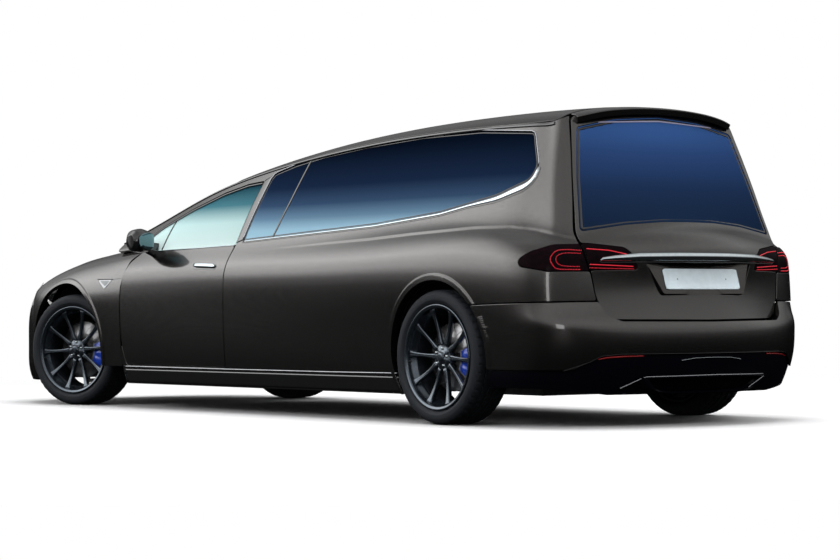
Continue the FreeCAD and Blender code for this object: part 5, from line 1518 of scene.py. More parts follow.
def wheel_mesh():
    mm = lambda pts: [(r / 1000, y / 1000) for r, y in pts]
    barrel = mm([(267, 114), (271, 115.5), (276, 114.5), (277, 111), (277, 105), (262, 101),
                 (262, 72), (241.5, 54), (241.5, -62), (262, -80), (262, -101), (277, -105),
                 (277, -113), (268, -114), (254, -108), (251, -84), (232, -66), (232, 52),
                 (238, 66), (251, 80), (254.5, 92), (256, 104), (258, 110), (262, 112.5),
                 (267, 114)])
    parts = [lathe("barrel", barrel, (RIM_MAT, RIM_BACK), n=120,
                   mat_of=lambda k: 1 if 5 <= k <= 16 else 0)]
    fix_normals(parts[0], 0.6)
    for i in range(10):
        parts.append(spoke(2 * math.pi * (i + 0.25) / 10))
    hub = mm([(0, 91.5), (22, 91), (27, 88), (28, 84), (44, 82), (56, 79), (66, 74.5), (71, 67),
              (72, 40), (66, 30), (40, 26.2), (22.1, 26.2)])
    h = lathe("hub", hub, (RIM_MAT,), n=80,
              wob=lambda i, k, a: (-0.010 * (0.5 - 0.5 * math.cos(5 * a)) if 3 <= k <= 7 else 0))
    fix_normals(h, 0.6)
    parts.append(h)
    parts.append(disc_cap("cap", 0.0265, 0.0915, (RIM_MAT,), 0.0022, n=48))
    for i in range(5):
        a = 2 * math.pi * (i + 0.5) / 5
        nut = disc_cap("nut", 0.0095, 0.0835, (CHROME,), 0.003, n=6, rings=3)
        nut.data.transform(Matrix.Translation((0.047 * math.cos(a), 0, 0.047 * math.sin(a))))
        parts.append(nut)
    # valve
    v = lathe("valve", mm([(0, 118), (3.2, 117), (3.4, 104), (4.6, 103), (4.8, 98), (0.2, 96)]),
              (TRIM,), n=12)
    v.data.transform(Matrix.Translation((0.249, -0.010, 0)))
    parts.append(fix_normals(v, 0.6))
    # brake disc, drilled look left to the ring of slots, with its bell
    disc = mm([(70, 4), (74, 6), (98, 6.0), (104, 3.4), (179, 3.4), (180.5, 1.5), (180.5, -6.5),
               (178, -7), (178, -17), (180.5, -17.5), (180.5, -26), (179, -27.4), (104, -27.4),
               (72, -27), (70, 4)])
    d = lathe("disc", disc, (DISC_MAT, CAST), n=96,
              mat_of=lambda k: 1 if (k < 3 or 6 <= k <= 8) else 0)
    fix_normals(d, 0.5)
    parts.append(d)
    slots = []
    for i in range(16):
        a = 2 * math.pi * i / 16
        w = 0.0016
        vs, fs = [], []
        for j in range(9):
            r = 0.110 + 0.062 * j / 8
            aa = a + 0.35 * (j / 8) ** 1.3
            for s in (-w, w):
                vs.append((r * math.cos(aa) - s * math.sin(aa), 0.0038,
                           r * math.sin(aa) + s * math.cos(aa)))
        for j in range(8):
            fs.append((2 * j, 2 * j + 1, 2 * j + 3, 2 * j + 2))
        slots.append(mesh_object("slot", vs, fs, (CAST,)))
    parts += slots
    return join("wheel", parts)


def hub_matrix(side, track, steered):
    """From a wheel's own frame, axle along Y with the outside at +Y, to the car."""
    if steered:
        a = math.radians(18.65)
        rot = Matrix.Rotation(a, 4, "Z")
        c = Vector((WB - MID, side * 0.79, AXLE_Z)) + rot.to_3x3() @ Vector(
            (0, side * (track - 0.79), 0))
        ang = a + (math.pi if side < 0 else 0)
    else:
        c = Vector((-MID, side * track, AXLE_Z))
        ang = math.pi if side < 0 else 0
    return Matrix.Translation(c) @ Matrix.Rotation(ang, 4, "Z")


CORNERS = [("rear_left", "wheel_rl", 1, 0.85, False, 0.10),
           ("rear_right", "wheel_rr", -1, 0.85, False, 0.35),
           ("front_left", "wheel_fl", 1, 0.83, True, 0.22),
           ("front_right", "wheel_fr", -1, 0.83, True, 0.45)]
tyre0, wheel0 = tyre_mesh(), wheel_mesh()


def instance(src, name, matrix):
    me = src.data.copy()
    me.transform(matrix)
    ob = bpy.data.objects.new(name, me)
    bpy.context.scene.collection.objects.link(ob)
    return ob


def caliper_cover(side, steered, track):
    """A painted cover over the caliper's outside, with ribs."""
    ang = math.radians(188 if side > 0 else -8)
    half = math.radians(27)
    n = 26
    sect = [(0.118, 0.0150), (0.122, 0.0405), (0.130, 0.0475), (0.165, 0.0500), (0.196, 0.0480),
            (0.211, 0.0420), (0.2168, 0.030), (0.2172, 0.0), (0.2172, -0.050), (0.2140, -0.0525)]
    verts, faces = [], []
    for i in range(n + 1):
        t = i / n
        a = ang - half + 2 * half * t
        e = smooth(np.array([min(t, 1 - t) * 9]))[0]
        rib = 0.0016 * math.cos(t * math.pi * 8) * e
        for r, y in sect:
            yy = y - (1 - e) * 0.010 if y > 0.02 else y
            yy = yy + (rib if y > 0.045 else 0)
            verts.append((r * math.cos(a), yy, r * math.sin(a)))
    m = len(sect)
    for i in range(n):
        for k in range(m - 1):
            faces.append((i * m + k, i * m + k + 1, (i + 1) * m + k + 1, (i + 1) * m + k))
    faces.append(tuple(range(m)))
    faces.append(tuple(reversed([n * m + k for k in range(m)])))
    ob = mesh_object("caliper", verts, faces, (CALIPER,))
    fix_normals(ob, 0.8)
    return moved(ob, hub_matrix(side, track, steered))


for end, body, side, track, steered, turn in CORNERS:
    M = hub_matrix(side, track, steered)
    R = Matrix.Rotation(turn, 4, "Y")
    put(instance(tyre0, "tyre_%s_rubber" % end, M @ R), body, "tyre_" + end)
    put(instance(wheel0, "wheel_%s_alloy" % end, M @ R), body, "wheel_" + end)
    c = caliper_cover(side, steered, track)
    c.name = "caliper_" + end
    put(c, ("knuckle_l" if side > 0 else "knuckle_r") if steered else "root", ())
for o in (tyre0, wheel0):
    bpy.data.objects.remove(o)


# ---------------------------------------------------------------- trim on the body side
def offset_line(pts, w):
    """A line w (one value or one a point) to the left of an open polyline, in its plane."""
    p = np.array(pts, float)
    t = np.gradient(p, axis=0)
    t /= np.maximum(np.linalg.norm(t, axis=1, keepdims=True), 1e-9)
    n = np.column_stack([-t[:, 1], t[:, 0]])
    return p + n * np.reshape(w, (-1, 1))


def resample(pts, n):
    p = np.array(pts, float)
    d = np.concatenate([[0], np.cumsum(np.linalg.norm(np.diff(p, axis=0), axis=1))])
    x = np.linspace(0, d[-1], n)
    return np.column_stack([np.interp(x, d, p[:, k]) for k in range(2)])


def uv_of(skin, pts, plane):
    q = np.asarray(pts, float) / 1000.0 - np.array(SHIFT[plane])
    return skin.s.find(q, DROPS[plane])


def flat_band(name, skin, a, b, plane, mats, lift=0.003, base=-0.003, n=5, crown=0.5,
              closed=False):
    return band(name, skin, uv_of(skin, a, plane), uv_of(skin, b, plane), mats, lift, base, n,
                crown, closed)


def two(ob, base, bodies=("root", "root")):
    ob.name = base + "_left"
    both_sides(ob, base, bodies, None)


win = dense(SIDE_GLASS, 14.0)
lo_pts = [p for p in win if p[1] < 1345]
# the part of the outline from the front bottom corner back to the rear corner
i0 = int(np.argmin(np.hypot(win[:, 0] - 1960, win[:, 1] - 1005)))
i1 = int(np.argmin(np.hypot(win[:, 0] + 512, win[:, 1] - 1330)))
bottom = win[i0:i1 + 1] if i1 > i0 else np.vstack([win[i0:], win[:i1 + 1]])
rest = np.vstack([win[i1:], win[:i0 + 1]]) if i1 > i0 else win[i1:i0 + 1]
bottom = resample(bottom, 110)
rest = resample(rest, 120)
turn = 1.0 if offset_line(bottom, 10.0)[40, 1] < bottom[40, 1] else -1.0
k = np.linspace(0, 1, len(bottom))
wide = 11 + 10 * k + 22 * np.clip((k - 0.80) / 0.15, 0, 1) * (1 - np.clip((k - 0.95) / 0.05, 0, 1))
two(flat_band("window_trim", plain_side, bottom, offset_line(bottom, turn * wide), "sz",
              (CHROME,), 0.0035), "window_trim")
two(flat_band("window_trim_line", plain_side, offset_line(bottom, turn * (wide + 0.5)),
              offset_line(bottom, turn * (wide + 6.5)), "sz", (GLOSS,), 0.002),
    "window_trim_shadow")
two(flat_band("window_edge", plain_side, rest, offset_line(rest, turn * 11.0), "sz", (SATIN,),
              0.0035), "window_edge")
# black border printed on the glass
inner_edge = offset_line(win, -turn * 16.0)
two(flat_band("window_border", plain_side, win, offset_line(win, -turn * 15.0), "sz", (FRIT,),
              -0.0032, -0.0048, 3, closed=True), "window_border")
# door window: trim along the belt and round the top
belt = resample([(2026, 984), (2400, 976), (2800, 968), (3080, 962)], 60)
two(flat_band("door_belt_trim", plain_side, belt, belt - [0, 9], "sz", (CHROME,), 0.004),
    "door_belt_trim", ("door_l", "door_r"))
dwin = dense(DOOR_GLASS, 14.0)
j0 = int(np.argmin(np.hypot(dwin[:, 0] - 3098, dwin[:, 1] - 1040)))
j1 = int(np.argmin(np.hypot(dwin[:, 0] - 1984, dwin[:, 1] - 1352)))
top_edge = dwin[j0:j1 + 1] if j1 > j0 else np.vstack([dwin[j0:], dwin[:j1 + 1]])
top_edge = resample(top_edge, 90)
two(flat_band("door_frame_seal", plain_side, offset_line(top_edge, -turn * 0.5 * 0 + 0.0),
              offset_line(top_edge, turn * 13.0), "sz", (GLOSS,), 0.0015), "door_frame_seal")
# pillar between the door glass and the side glass
pa = resample([(1990, 1356), (2012, 1180), (2031, 990)], 40)
pb = resample([(1899, 1390), (1935, 1190), (1954, 1008)], 40)
two(flat_band("pillar_cover", plain_side, pa, pb, "sz", (GLOSS,), 0.0015, -0.002, 7, 0.25),
    "pillar_cover")
# slanted bar behind the second pane, and the door glass's front bar
da = resample([(1541, 1470), (1598, 1230), (1667, 1012)], 40)
two(flat_band("pane_divider", plain_side, da - [11, 0], da + [11, 0], "sz", (GLOSS,), -0.0005,
              -0.0045, 5), "pane_divider")
qa = resample([(2872, 1154), (2866, 1060), (2862, 972)], 24)
two(flat_band("quarter_bar", plain_side, qa - [7, 0], qa + [7, 0], "sz", (GLOSS,), -0.0015,
              -0.0062, 5), "quarter_bar", ("door_l", "door_r"))

# gutter and rail: along the top edge of the body side, from the bonnet to the tailgate, a black gloss strip,
# partly the gutter and partly a painted dark reflection of the roof's edge
us = np.linspace(0.012, 0.925, 220)
col = lambda v: np.column_stack([us, np.full(len(us), v)])
two(band("roof_rail", plain_side, col(0.9945), col(0.9994), (GLOSS,), 0.0060, -0.002, 7, 0.4),
    "roof_rail")

# sill: a bright strip over a dark lower skirt
sl = resample([(3180, 262), (2000, 262), (1000, 264), (372, 268)], 120)
two(flat_band("sill_strip", plain_side, sl + [0, -1], sl + [0, -12], "sz", (SATIN,), 0.0035),
    "sill_strip")
sk0 = resample([(3190, 246), (360, 250)], 120)
sk1 = resample([(3190, 152), (366, 152)], 120)
two(flat_band("sill_skirt", plain_side, sk0, sk1, "sz", (GLOSS,), 0.003, -0.002, 7, 0.2),
    "sill_skirt")

# door handle in a shallow dark dish
hs = [(2385, 846, 14), (2395, 880, 14), (2150, 872, 14), (2140, 840, 14)]
dish = panel("handle_dish", plain_side.lift(lambda p: np.full(len(p), 0.0008)),
             [keep(hs, "sz", 0.004)], depth=0.003, edge=0.0006, cell=0.004, grid=0.02,
             mats=(GLOSS, GLOSS, GLOSS), back=False, minloop=0.05)
two(dish, "handle_dish", ("door_l", "door_r"))
hp = uv_of(plain_side, resample([(2382, 866), (2265, 862), (2150, 858)], 26), "sz")
P, N = plain_side.pos(hp), plain_side.nrm(hp)
kk = np.linspace(0, 1, len(hp))
rise = 0.006 + 0.006 * np.sin(np.pi * kk) ** 0.5
ends = np.clip(np.minimum(kk, 1 - kk) * 14, 0.25, 1) ** 0.5
two(sweep("handle", P + N * rise[:, None], round_profile(0.024, 0.012, 14, 3.0), (CHROME,),
          up=N, scale=ends), "door_handle", ("door_l", "door_r"))

# repeater on the wing, and the crease that runs back from it, drawn as a thin black gloss strip: painted
# shade in the crease
rep = [(3482, 792, 6), (3318, 790, 4), (3388, 734, 12)]
r = panel("repeater", wing_skin.lift(lambda p: np.full(len(p), 0.002)), [keep(rep, "sz")],
          depth=0.004, edge=0.0015, cell=0.004, grid=0.02, mats=(SATIN, GLOSS, GLOSS),
          back=False, minloop=0.05)
two(r, "repeater")
REPEATER = basic("repeater_lens", (0.20, 0.22, 0.23), (0.30, 0.32, 0.33), (0.25, 0.35),
                 scale=400, coat=0.3, bump_scale=500, bump_strength=0.3)
r2 = panel("repeater_lens", wing_skin.lift(lambda p: np.full(len(p), 0.0032)),
           [keep([(3462, 787, 3), (3338, 785, 2), (3384, 752, 6)], "sz")],
           depth=0.003, edge=0.001, cell=0.003, grid=0.02, mats=(REPEATER, GLOSS, GLOSS),
           back=False, minloop=0.05)
two(r2, "repeater_lens")
ra = resample([(3492, 799), (3312, 797)], 20)
two(flat_band("repeater_top", wing_skin, ra, ra + [0, -6], "sz", (GLOSS,), 0.0055),
    "repeater_top")
ca = resample([(3312, 797), (3210, 800)], 14)
two(flat_band("wing_crease", wing_skin, ca, ca + [0, -4], "sz", (GLOSS,), 0.0012, -0.001),
    "wing_crease")


# ---------------------------------------------------------------- door mirrors
def mirror_head():
    ys = [r[0] for r in MIRROR_SECTIONS]
    rows, n = [], 36
    path = smooth_line([(r[0], r[1], r[2]) for r in MIRROR_SECTIONS], 22)
    a = np.interp(path[:, 0], ys, [r[3] for r in MIRROR_SECTIONS])
    b = np.interp(path[:, 0], ys, [r[4] for r in MIRROR_SECTIONS])
    verts, faces = [], []
    for (y, sc, zc), aa, bb in zip(path, a, b):
        for i in range(n):
            t = 2 * math.pi * i / n
            c, s = math.cos(t), math.sin(t)
            x = aa * math.copysign(abs(c) ** 0.80, c)
            z = bb * math.copysign(abs(s) ** 0.85, s)
            if x < 0:
                x *= 0.72       # the glass side is flatter
            verts.append(((sc + x) / 1000 - MID, y / 1000, (zc + z) / 1000))
    m = len(path)
    for i in range(m - 1):
        for k in range(n):
            l = (k + 1) % n
            faces.append((i * n + k, i * n + l, (i + 1) * n + l, (i + 1) * n + k))
    faces.append(tuple(range(n)))
    faces.append(tuple((m - 1) * n + k for k in reversed(range(n))))
    return fix_normals(mesh_object("mirror_shell", verts, faces, (GLOSS,)), 0.7)


head = mirror_head()
bv = head.modifiers.new("round", "BEVEL")
bv.width, bv.segments, bv.limit_method, bv.angle_limit = 0.012, 3, "ANGLE", 0.7
mfoot = sweep("mirror_foot", [((2920) / 1000 - MID, y / 1000, z / 1000) for y, z in
                             ((858, 966), (885, 974), (915, 985), (935, 1000))],
              round_profile(0.085, 0.036, 16, 2.6), (GLOSS,), up=(1, 0, 0), scale=[1.15, 1.0, 0.95, 0.9])
head2 = head
two_mirror = []
for side, body, node in ((1, "door_l", "mirror_left"), (-1, "door_r", "mirror_right")):
    suffix = "left" if side > 0 else "right"
    h = head if side > 0 else mirrored(head, "mirror_shell_right")
    if side < 0:
        b2 = h.modifiers.new("round", "BEVEL")
        b2.width, b2.segments, b2.limit_method, b2.angle_limit = 0.012, 3, "ANGLE", 0.7
    h.name = "mirror_shell_" + suffix
    put(h, body, node)
    f = mfoot if side > 0 else mirrored(mfoot, "mirror_foot_right")
    f.name = "mirror_foot_" + suffix
    put(f, body, ())
    # the glass faces back
    n, verts, faces = 40, [], []
    yc, zc = 0.996 * side, 1.021
    for k, (ky, kz, dx) in enumerate(((1, 1, 0.0), (0.97, 0.96, -0.002), (0.6, 0.6, -0.0035))):
        for i in range(n):
            t = 2 * math.pi * i / n
            c, s = math.cos(t), math.sin(t)
            yy = 0.062 * math.copysign(abs(c) ** 0.75, c) * ky
            zz = 0.050 * math.copysign(abs(s) ** 0.75, s) * kz
            taper = 1 - 0.16 * (yy * side / 0.062)
            verts.append((2.8060 - MID + dx + abs(yy * side + 0.0) * 0.02 + 0.010 * 0
                          + (yy * side) * -0.22, yc + yy, zc + zz * taper))
    verts.append((2.8060 - MID - 0.0038, yc, zc))
    for k in range(2):
        for i in range(n):
            j = (i + 1) % n
            faces.append((k * n + i, k * n + j, (k + 1) * n + j, (k + 1) * n + i))
    for i in range(n):
        faces.append((2 * n + i, 2 * n + (i + 1) % n, 3 * n))
    g = fix_normals(mesh_object("mirror_glass_" + suffix, verts, faces, (MIRROR_GLASS,)), 0.8)
    put(g, body, ())

# ---------------------------------------------------------------- tailgate furniture
# chrome bar across the gate over the plate
bt = np.array([(609, 845), (600, 860), (535, 870), (401, 883), (184, 886), (0, 886),
               (-184, 886), (-401, 883), (-535, 870), (-600, 860), (-609, 845)], float)
bb = np.array([(609, 842), (600, 838), (535, 838), (401, 839), (184, 840), (0, 841),
               (-184, 840), (-401, 839), (-535, 838), (-600, 838), (-609, 842)], float)
bar_top, bar_bot = resample(bt, 120), resample(bb, 120)
bar = flat_band("chrome_bar", gate_skin, bar_top, bar_bot, "yz", (CHROME,), 0.013, -0.002, 11, 0.42)
put(bar, "tailgate_lid", ())
lowline = flat_band("bar_shadow", gate_skin, bar_bot + [0, -1], bar_bot + [0, -8], "yz",
                    (GLOSS,), 0.002, -0.001)
put(lowline, "tailgate_lid", ())


# the plate stands in a dished recess, in the darker jamb paint: painted shade in the recess
def pocket_piece():
    out = dense(POCKET, 12.0)
    n = len(out)
    c = out.mean(0)
    rim_uv = uv_of(gate_skin, out, "yz")
    rim = gate_skin.pos(rim_uv)
    floor_s = lambda z: (-976 + (z - 750) * math.tan(math.radians(17.0)) - 1.0) / 1000 - MID
    inner = c + (out - c) * [0.965, 0.93]
    verts = [tuple(p + gate_skin.nrm(rim_uv)[i] * -0.0005) for i, p in enumerate(rim)]
    lip = rim + np.array([0.010, 0, 0])
    verts += [tuple(p) for p in lip]
    fl = [(max(floor_s(z), -9), y / 1000, z / 1000) for y, z in inner]
    verts += fl
    faces, fm = [], []
    for r in range(2):
        for i in range(n):
            j = (i + 1) % n
            faces.append((r * n + i, r * n + j, (r + 1) * n + j, (r + 1) * n + i))
            fm.append(0)
    k0 = len(verts)
    verts += [(floor_s(z) , y / 1000, z / 1000) for y, z in c + (inner - c) * 0.5]
    for i in range(n):
        j = (i + 1) % n
        faces.append((2 * n + i, 2 * n + j, k0 + j, k0 + i))
        fm.append(0)
    verts.append((floor_s(c[1]), c[0] / 1000, c[1] / 1000))
    for i in range(n):
        faces.append((k0 + i, k0 + (i + 1) % n, len(verts) - 1))
        fm.append(0)
    ob = mesh_object("plate_recess", verts, faces, (SHADED_JAMB,), fm)
    return fix_normals(ob, 0.5)


put(pocket_piece(), "tailgate_lid", ())
# the blank plate: embossed rim and two screw heads
lean = math.radians(17.0)
PM = Matrix.Translation((-0.976 + (0.697 - 0.750) * math.tan(lean) - MID - 0.0025, 0, 0.697)) \
    @ Matrix.Rotation(lean, 4, "Y")


def plate():
    w, h, t, b = 0.260, 0.110, 0.0022, 0.008
    rows = [(0, 0, 0.0), (0.0, 0.0, -t), (0.0022, 0.0022, -t - 0.0012), (0.0055, 0.0055, -t - 0.0012),
            (b, b, -t)]
    verts, faces = [], []
    m = None
    for iy, iz, x in rows:
        ring = dense([(-w + iy, iz, b), (w - iy, iz, b), (w - iy, h - iz, b), (-w + iy, h - iz, b)],
                     0.02)
        m = m or len(ring)
        ring = resample(np.vstack([ring, ring[:1]]), 65)[:-1]
        verts += [(x, p[0], p[1]) for p in ring]
    n = 64
    for r in range(len(rows) - 1):
        for i in range(n):
            j = (i + 1) % n
            faces.append((r * n + i, r * n + j, (r + 1) * n + j, (r + 1) * n + i))
    faces.append(tuple((len(rows) - 1) * n + i for i in range(n)))
    faces.append(tuple(reversed(range(n))))
    ob = fix_normals(mesh_object("plate", verts, faces, (PLATE_MAT,)), 0.4)
    parts = [ob]
    for y in (-0.17, 0.17):
        s = disc_cap("screw", 0.0055, 0, (CHROME,), 0.002, n=20, rings=3)
        s.data.transform(Matrix.Translation((-t - 0.0002, y, 0.055)) @ Matrix.Rotation(
            math.pi / 2, 4, "Z"))
        parts.append(s)
    return moved(join("number_plate_blank", parts), PM)


put(plate(), "tailgate_lid", "number_plate")

# lamps: smoked outer skins, with the red lines of light just under them
lamp = panel("tail_lamp_left", plain_side.lift(lambda p: np.full(len(p), 0.0006)),
             [keep(TAIL_LAMP, "wz", -0.0005),
              only_where(cut(gate_outline, "yz", 0.010), lambda p: p[:, 0] + MID + 0.45)],
             depth=0.030, edge=0.003, cell=0.006, grid=0.018, mats=(LAMP_DARK, LAMP_BODY, LAMP_BODY))
other = mirrored(lamp, "tail_lamp_right")
put(lamp, "root", "tail_lamps")
put(other, "root", ())
glamp = panel("gate_lamp_left", gate_skin.lift(lambda p: np.full(len(p), 0.0006)),
              [keep(GATE_LAMP, "yz", -0.0005), keep(gate_outline, "yz", -0.001)],
              depth=0.030, edge=0.003, cell=0.005, grid=0.018,
              mats=(LAMP_DARK, LAMP_BODY, LAMP_BODY))
gother = mirrored(glamp, "gate_lamp_right")
put(glamp, "tailgate_lid", "tailgate_lamps")
put(gother, "tailgate_lid", ())


def led_row(name, skin, pts, plane, count, r=0.0034, lift=0.0012):
    """Small lit lenses along a line on a skin."""
    line = resample(smooth_line([(a, b, 0) for a, b in pts], 80)[:, :2], count)
    uv = uv_of(skin, line, plane)
    P, N = skin.pos(uv), skin.nrm(uv)
    verts, faces = [], []
    for p, n in zip(P, N):
        t = np.cross(n, [0, 0, 1.0])
        t /= np.linalg.norm(t)
        b = np.cross(t, n)
        o = len(verts)
        verts.append(tuple(p + n * (lift + r * 0.5)))
        for ring, (k, h) in enumerate(((0.6, 0.38), (1.0, 0.0), (1.0, -0.5))):
            for i in range(8):
                a = math.pi * i / 4
                verts.append(tuple(p + n * (lift + r * h) + (t * math.cos(a) + b * math.sin(a)) * r * k))
        for i in range(8):
            j = (i + 1) % 8
            faces.append((o, o + 1 + i, o + 1 + j))
            for q in range(2):
                a, c = o + 1 + q * 8, o + 1 + (q + 1) * 8
                faces.append((a + i, c + i, c + j, a + j))
    return fix_normals(mesh_object(name, verts, faces, (LED_RED,)))


def wz(s, y):
    return (s + y) * R2


led_side = [
    led_row("led_a", plain_side, [(wz(-839, 694), 893), (wz(-802, 767), 897), (wz(-776, 808), 888),
                                 (wz(-771, 839), 852), (wz(-780, 828), 818),
                                 (wz(-799, 809), 800), (wz(-848, 712), 797)], "wz", 46, 0.0026),
    led_row("led_b", plain_side, [(wz(-839, 700), 878), (wz(-806, 765), 880), (wz(-789, 800), 870),
                                 (wz(-786, 815), 850), (wz(-793, 806), 826),
                                 (wz(-812, 780), 815), (wz(-848, 716), 812)], "wz", 38, 0.0022),
]
led = join("tail_lamp_lights_left", led_side)
both_sides(led, "tail_lamp_lights")
g_up = flat_band("gate_light_a", gate_skin, resample([(668, 905), (560, 897), (470, 878)], 40),
                 resample([(668, 899), (560, 891), (470, 872)], 40), "yz", (LED_RED,), 0.003,
                 -0.001)
g_lo = flat_band("gate_light_b", gate_skin, resample([(660, 826), (560, 822), (436, 816)], 40),
                 resample([(660, 820), (560, 816), (436, 810)], 40), "yz", (LED_RED,), 0.003,
                 -0.001)
g_dots = led_row("gate_light_c", gate_skin, [(660, 806), (560, 803), (436, 801)], "yz", 34, 0.0022)
gl = join("gate_lamp_lights_left", [g_up, g_lo, g_dots])
both_sides(gl, "gate_lamp_lights", ("tailgate_lid", "tailgate_lid"))

# high brake light behind the top of the glass, and the printed border of the glass
hb = flat_band("high_brake_light", gate_skin, resample([(400, 1566), (0, 1584), (-400, 1566)], 80),
               resample([(400, 1555), (0, 1573), (-400, 1555)], 80), "yz", (LIGHT_BAR,), -0.0005,
               -0.004)
put(hb, "tailgate_lid", ())
gw = dense(GATE_WINDOW, 14.0)
cgw = np.array([0, 1320.0])
ga = area2(gw)
gin = offset_line(gw, 26.0 if ga > 0 else -26.0)
gb = flat_band("gate_glass_border", gate_skin, gw, gin, "yz", (FRIT,), -0.0022, -0.0040, 3,
               closed=True)
put(gb, "tailgate_lid", ())

# ---------------------------------------------------------------- rear valance
LOWER = [(-1100, 196), (-880, 196), (-700, 176), (-560, 158), (560, 158), (700, 176), (880, 196),
         (1100, 196)]
val_skin = tail_skin.lift(lambda p: np.full(len(p), -0.012))
val = panel("rear_valance", val_skin, [
    cut_circle(0.0, AXLE_Z, 0.402),
    below(*[(a, b - 1.5) for a, b in DIFFUSER_LINE], axis=1), above(*LOWER, axis=1)],
    depth=0.02, edge=0.004, cell=0.010, grid=0.030, mats=(VALANCE, VALANCE, VALANCE))
put(val, "root", "rear_diffuser")
# thin bright line under the painted cover's edge, red reflectors, bright insets
ta = resample([(-800, 293), (-704, 335), (-650, 367), (-560, 376), (0, 376), (560, 376),
               (650, 367), (704, 335), (800, 293)], 140)
edge_line = flat_band("cover_edge", tail_skin, ta, ta + [0, -5], "yz", (GLOSS,), 0.002, -0.010)
put(edge_line, "root", ())
for side, suffix in ((1, "left"), (-1, "right")):
    ra_ = resample([(side * 668, 349), (side * 618, 361), (side * 530, 366), (side * 436, 367)], 40)
    rb_ = resample([(side * 660, 342), (side * 612, 349), (side * 530, 354), (side * 436, 356)], 40)
    rr = flat_band("reflector_" + suffix, val_skin, ra_, rb_, "yz", (FLAT_RED,), 0.006, -0.002)
    put(rr, "root", ())
ia = resample([(212, 340), (125, 351), (0, 353), (-121, 351), (-205, 340)], 60)
inset = flat_band("bright_inset", val_skin, ia, ia + [0, -6], "yz", (CHROME,), 0.008, -0.002)
put(inset, "root", ())


# the middle channel: a flattened scoop with a bright upper lip
def channel():
    out = [(-330, 176), (-440, 246), (-408, 256), (0, 260), (408, 256), (440, 246), (330, 176),
           (0, 168)]
    line = resample(smooth_line([(a, b, 0) for a, b in out], 120, True)[:, :2], 120)
    c = np.array([0, 212.0])
    rows = []
    for k, back in ((1.0, 0.000), (1.0, 0.040), (0.985, 0.050), (0.94, 0.052), (0.90, 0.044),
                    (0.88, 0.010), (0.80, -0.02)):
        q = c + (line - c) * [k, k ** 2 if k < 1 else 1]
        uv = uv_of(val_skin, np.column_stack([q[:, 0], np.clip(q[:, 1], 160, 600)]), "yz")
        P = val_skin.pos(uv)
        P[:, 2] = q[:, 1] / 1000
        P[:, 0] -= back * (1 - 0.35 * (np.abs(q[:, 0]) / 440) ** 2)
        rows.append(P)
    m = len(line)
    verts = np.concatenate(rows)
    faces = []
    for r in range(len(rows) - 1):
        for i in range(m):
            j = (i + 1) % m
            faces.append((r * m + i, r * m + j, (r + 1) * m + j, (r + 1) * m + i))
    faces.append(tuple((len(rows) - 1) * m + i for i in range(m)))
    return fix_normals(mesh_object("valance_channel", verts, faces, (VALANCE,)), 0.7)


ch = channel()
put(ch, "root", ())
sa = resample([(-312, 190), (-330, 204), (-420, 250), (-400, 258), (0, 262), (416, 257),
               (440, 250), (530, 201)], 120)


def free_band(name, line, mats, out=0.046, h=0.006, t=0.004):
    uv = uv_of(val_skin, np.column_stack([line[:, 0], line[:, 1]]), "yz")
    P = val_skin.pos(uv)
    P[:, 2] = line[:, 1] / 1000
    P[:, 0] -= out * (1 - 0.35 * (np.abs(line[:, 0]) / 440) ** 2)
    return sweep(name, P, round_profile(t, h, 10, 2.6), mats, up=(0, 0, 1))


put(free_band("silver_line", sa, (SATIN,)), "root", ())

# ---------------------------------------------------------------- front lamps and grille
hl = panel("headlamp_left", nose_skin.lift(lambda p: np.full(len(p), 0.0005)), [
    keep(HEADLAMP, "sz", -0.0005), cut(NOSE_CUT, "sz"), under_lid,
    lambda p: p[:, 1] - 0.54], depth=0.004, edge=0.002, cell=0.006, grid=0.02,
    mats=(LAMP_CLEAR, LAMP_CLEAR, LAMP_CLEAR))
hr = mirrored(hl, "headlamp_right")
put(hl, "root", "headlamps")
put(hr, "root", ())
hb_ = panel("headlamp_body_left", nose_skin.lift(lambda p: np.full(len(p), -0.030)), [
    keep(HEADLAMP, "sz", 0.004), cut(NOSE_CUT, "sz"), under_lid, lambda p: p[:, 1] - 0.53],
    depth=0.01, edge=0.002, cell=0.008, grid=0.02, mats=(LAMP_BODY, LAMP_BODY, LAMP_BODY))
parts = [hb_]
for s_, z_, rr in ((4620, 672, 0.030), (4540, 688, 0.028)):
    uv = uv_of(nose_skin, [(s_, z_)], "sz")
    P, N = nose_skin.pos(uv)[0], nose_skin.nrm(uv)[0]
    cup = lathe("cup", [(0.002, -0.026), (rr * 0.7, -0.020), (rr, -0.002), (rr + 0.003, 0.0),
                        (rr + 0.003, -0.006), (rr * 0.6, -0.030)], (REFLECTOR,), n=40)
    q = Vector((0, 1, 0)).rotation_difference(Vector(N))
    cup.data.transform(Matrix.Translation(Vector(P - N * 0.012)) @ q.to_matrix().to_4x4())
    parts.append(cup)
    lens = disc_cap("lens", rr * 0.62, 0.0, (LAMP_CLEAR,), 0.008, n=32)
    lens.data.transform(Matrix.Translation(Vector(P - N * 0.020)) @ q.to_matrix().to_4x4())
    parts.append(lens)
hb_ = join("headlamp_body_left", parts)
both_sides(hb_, "headlamp_body")
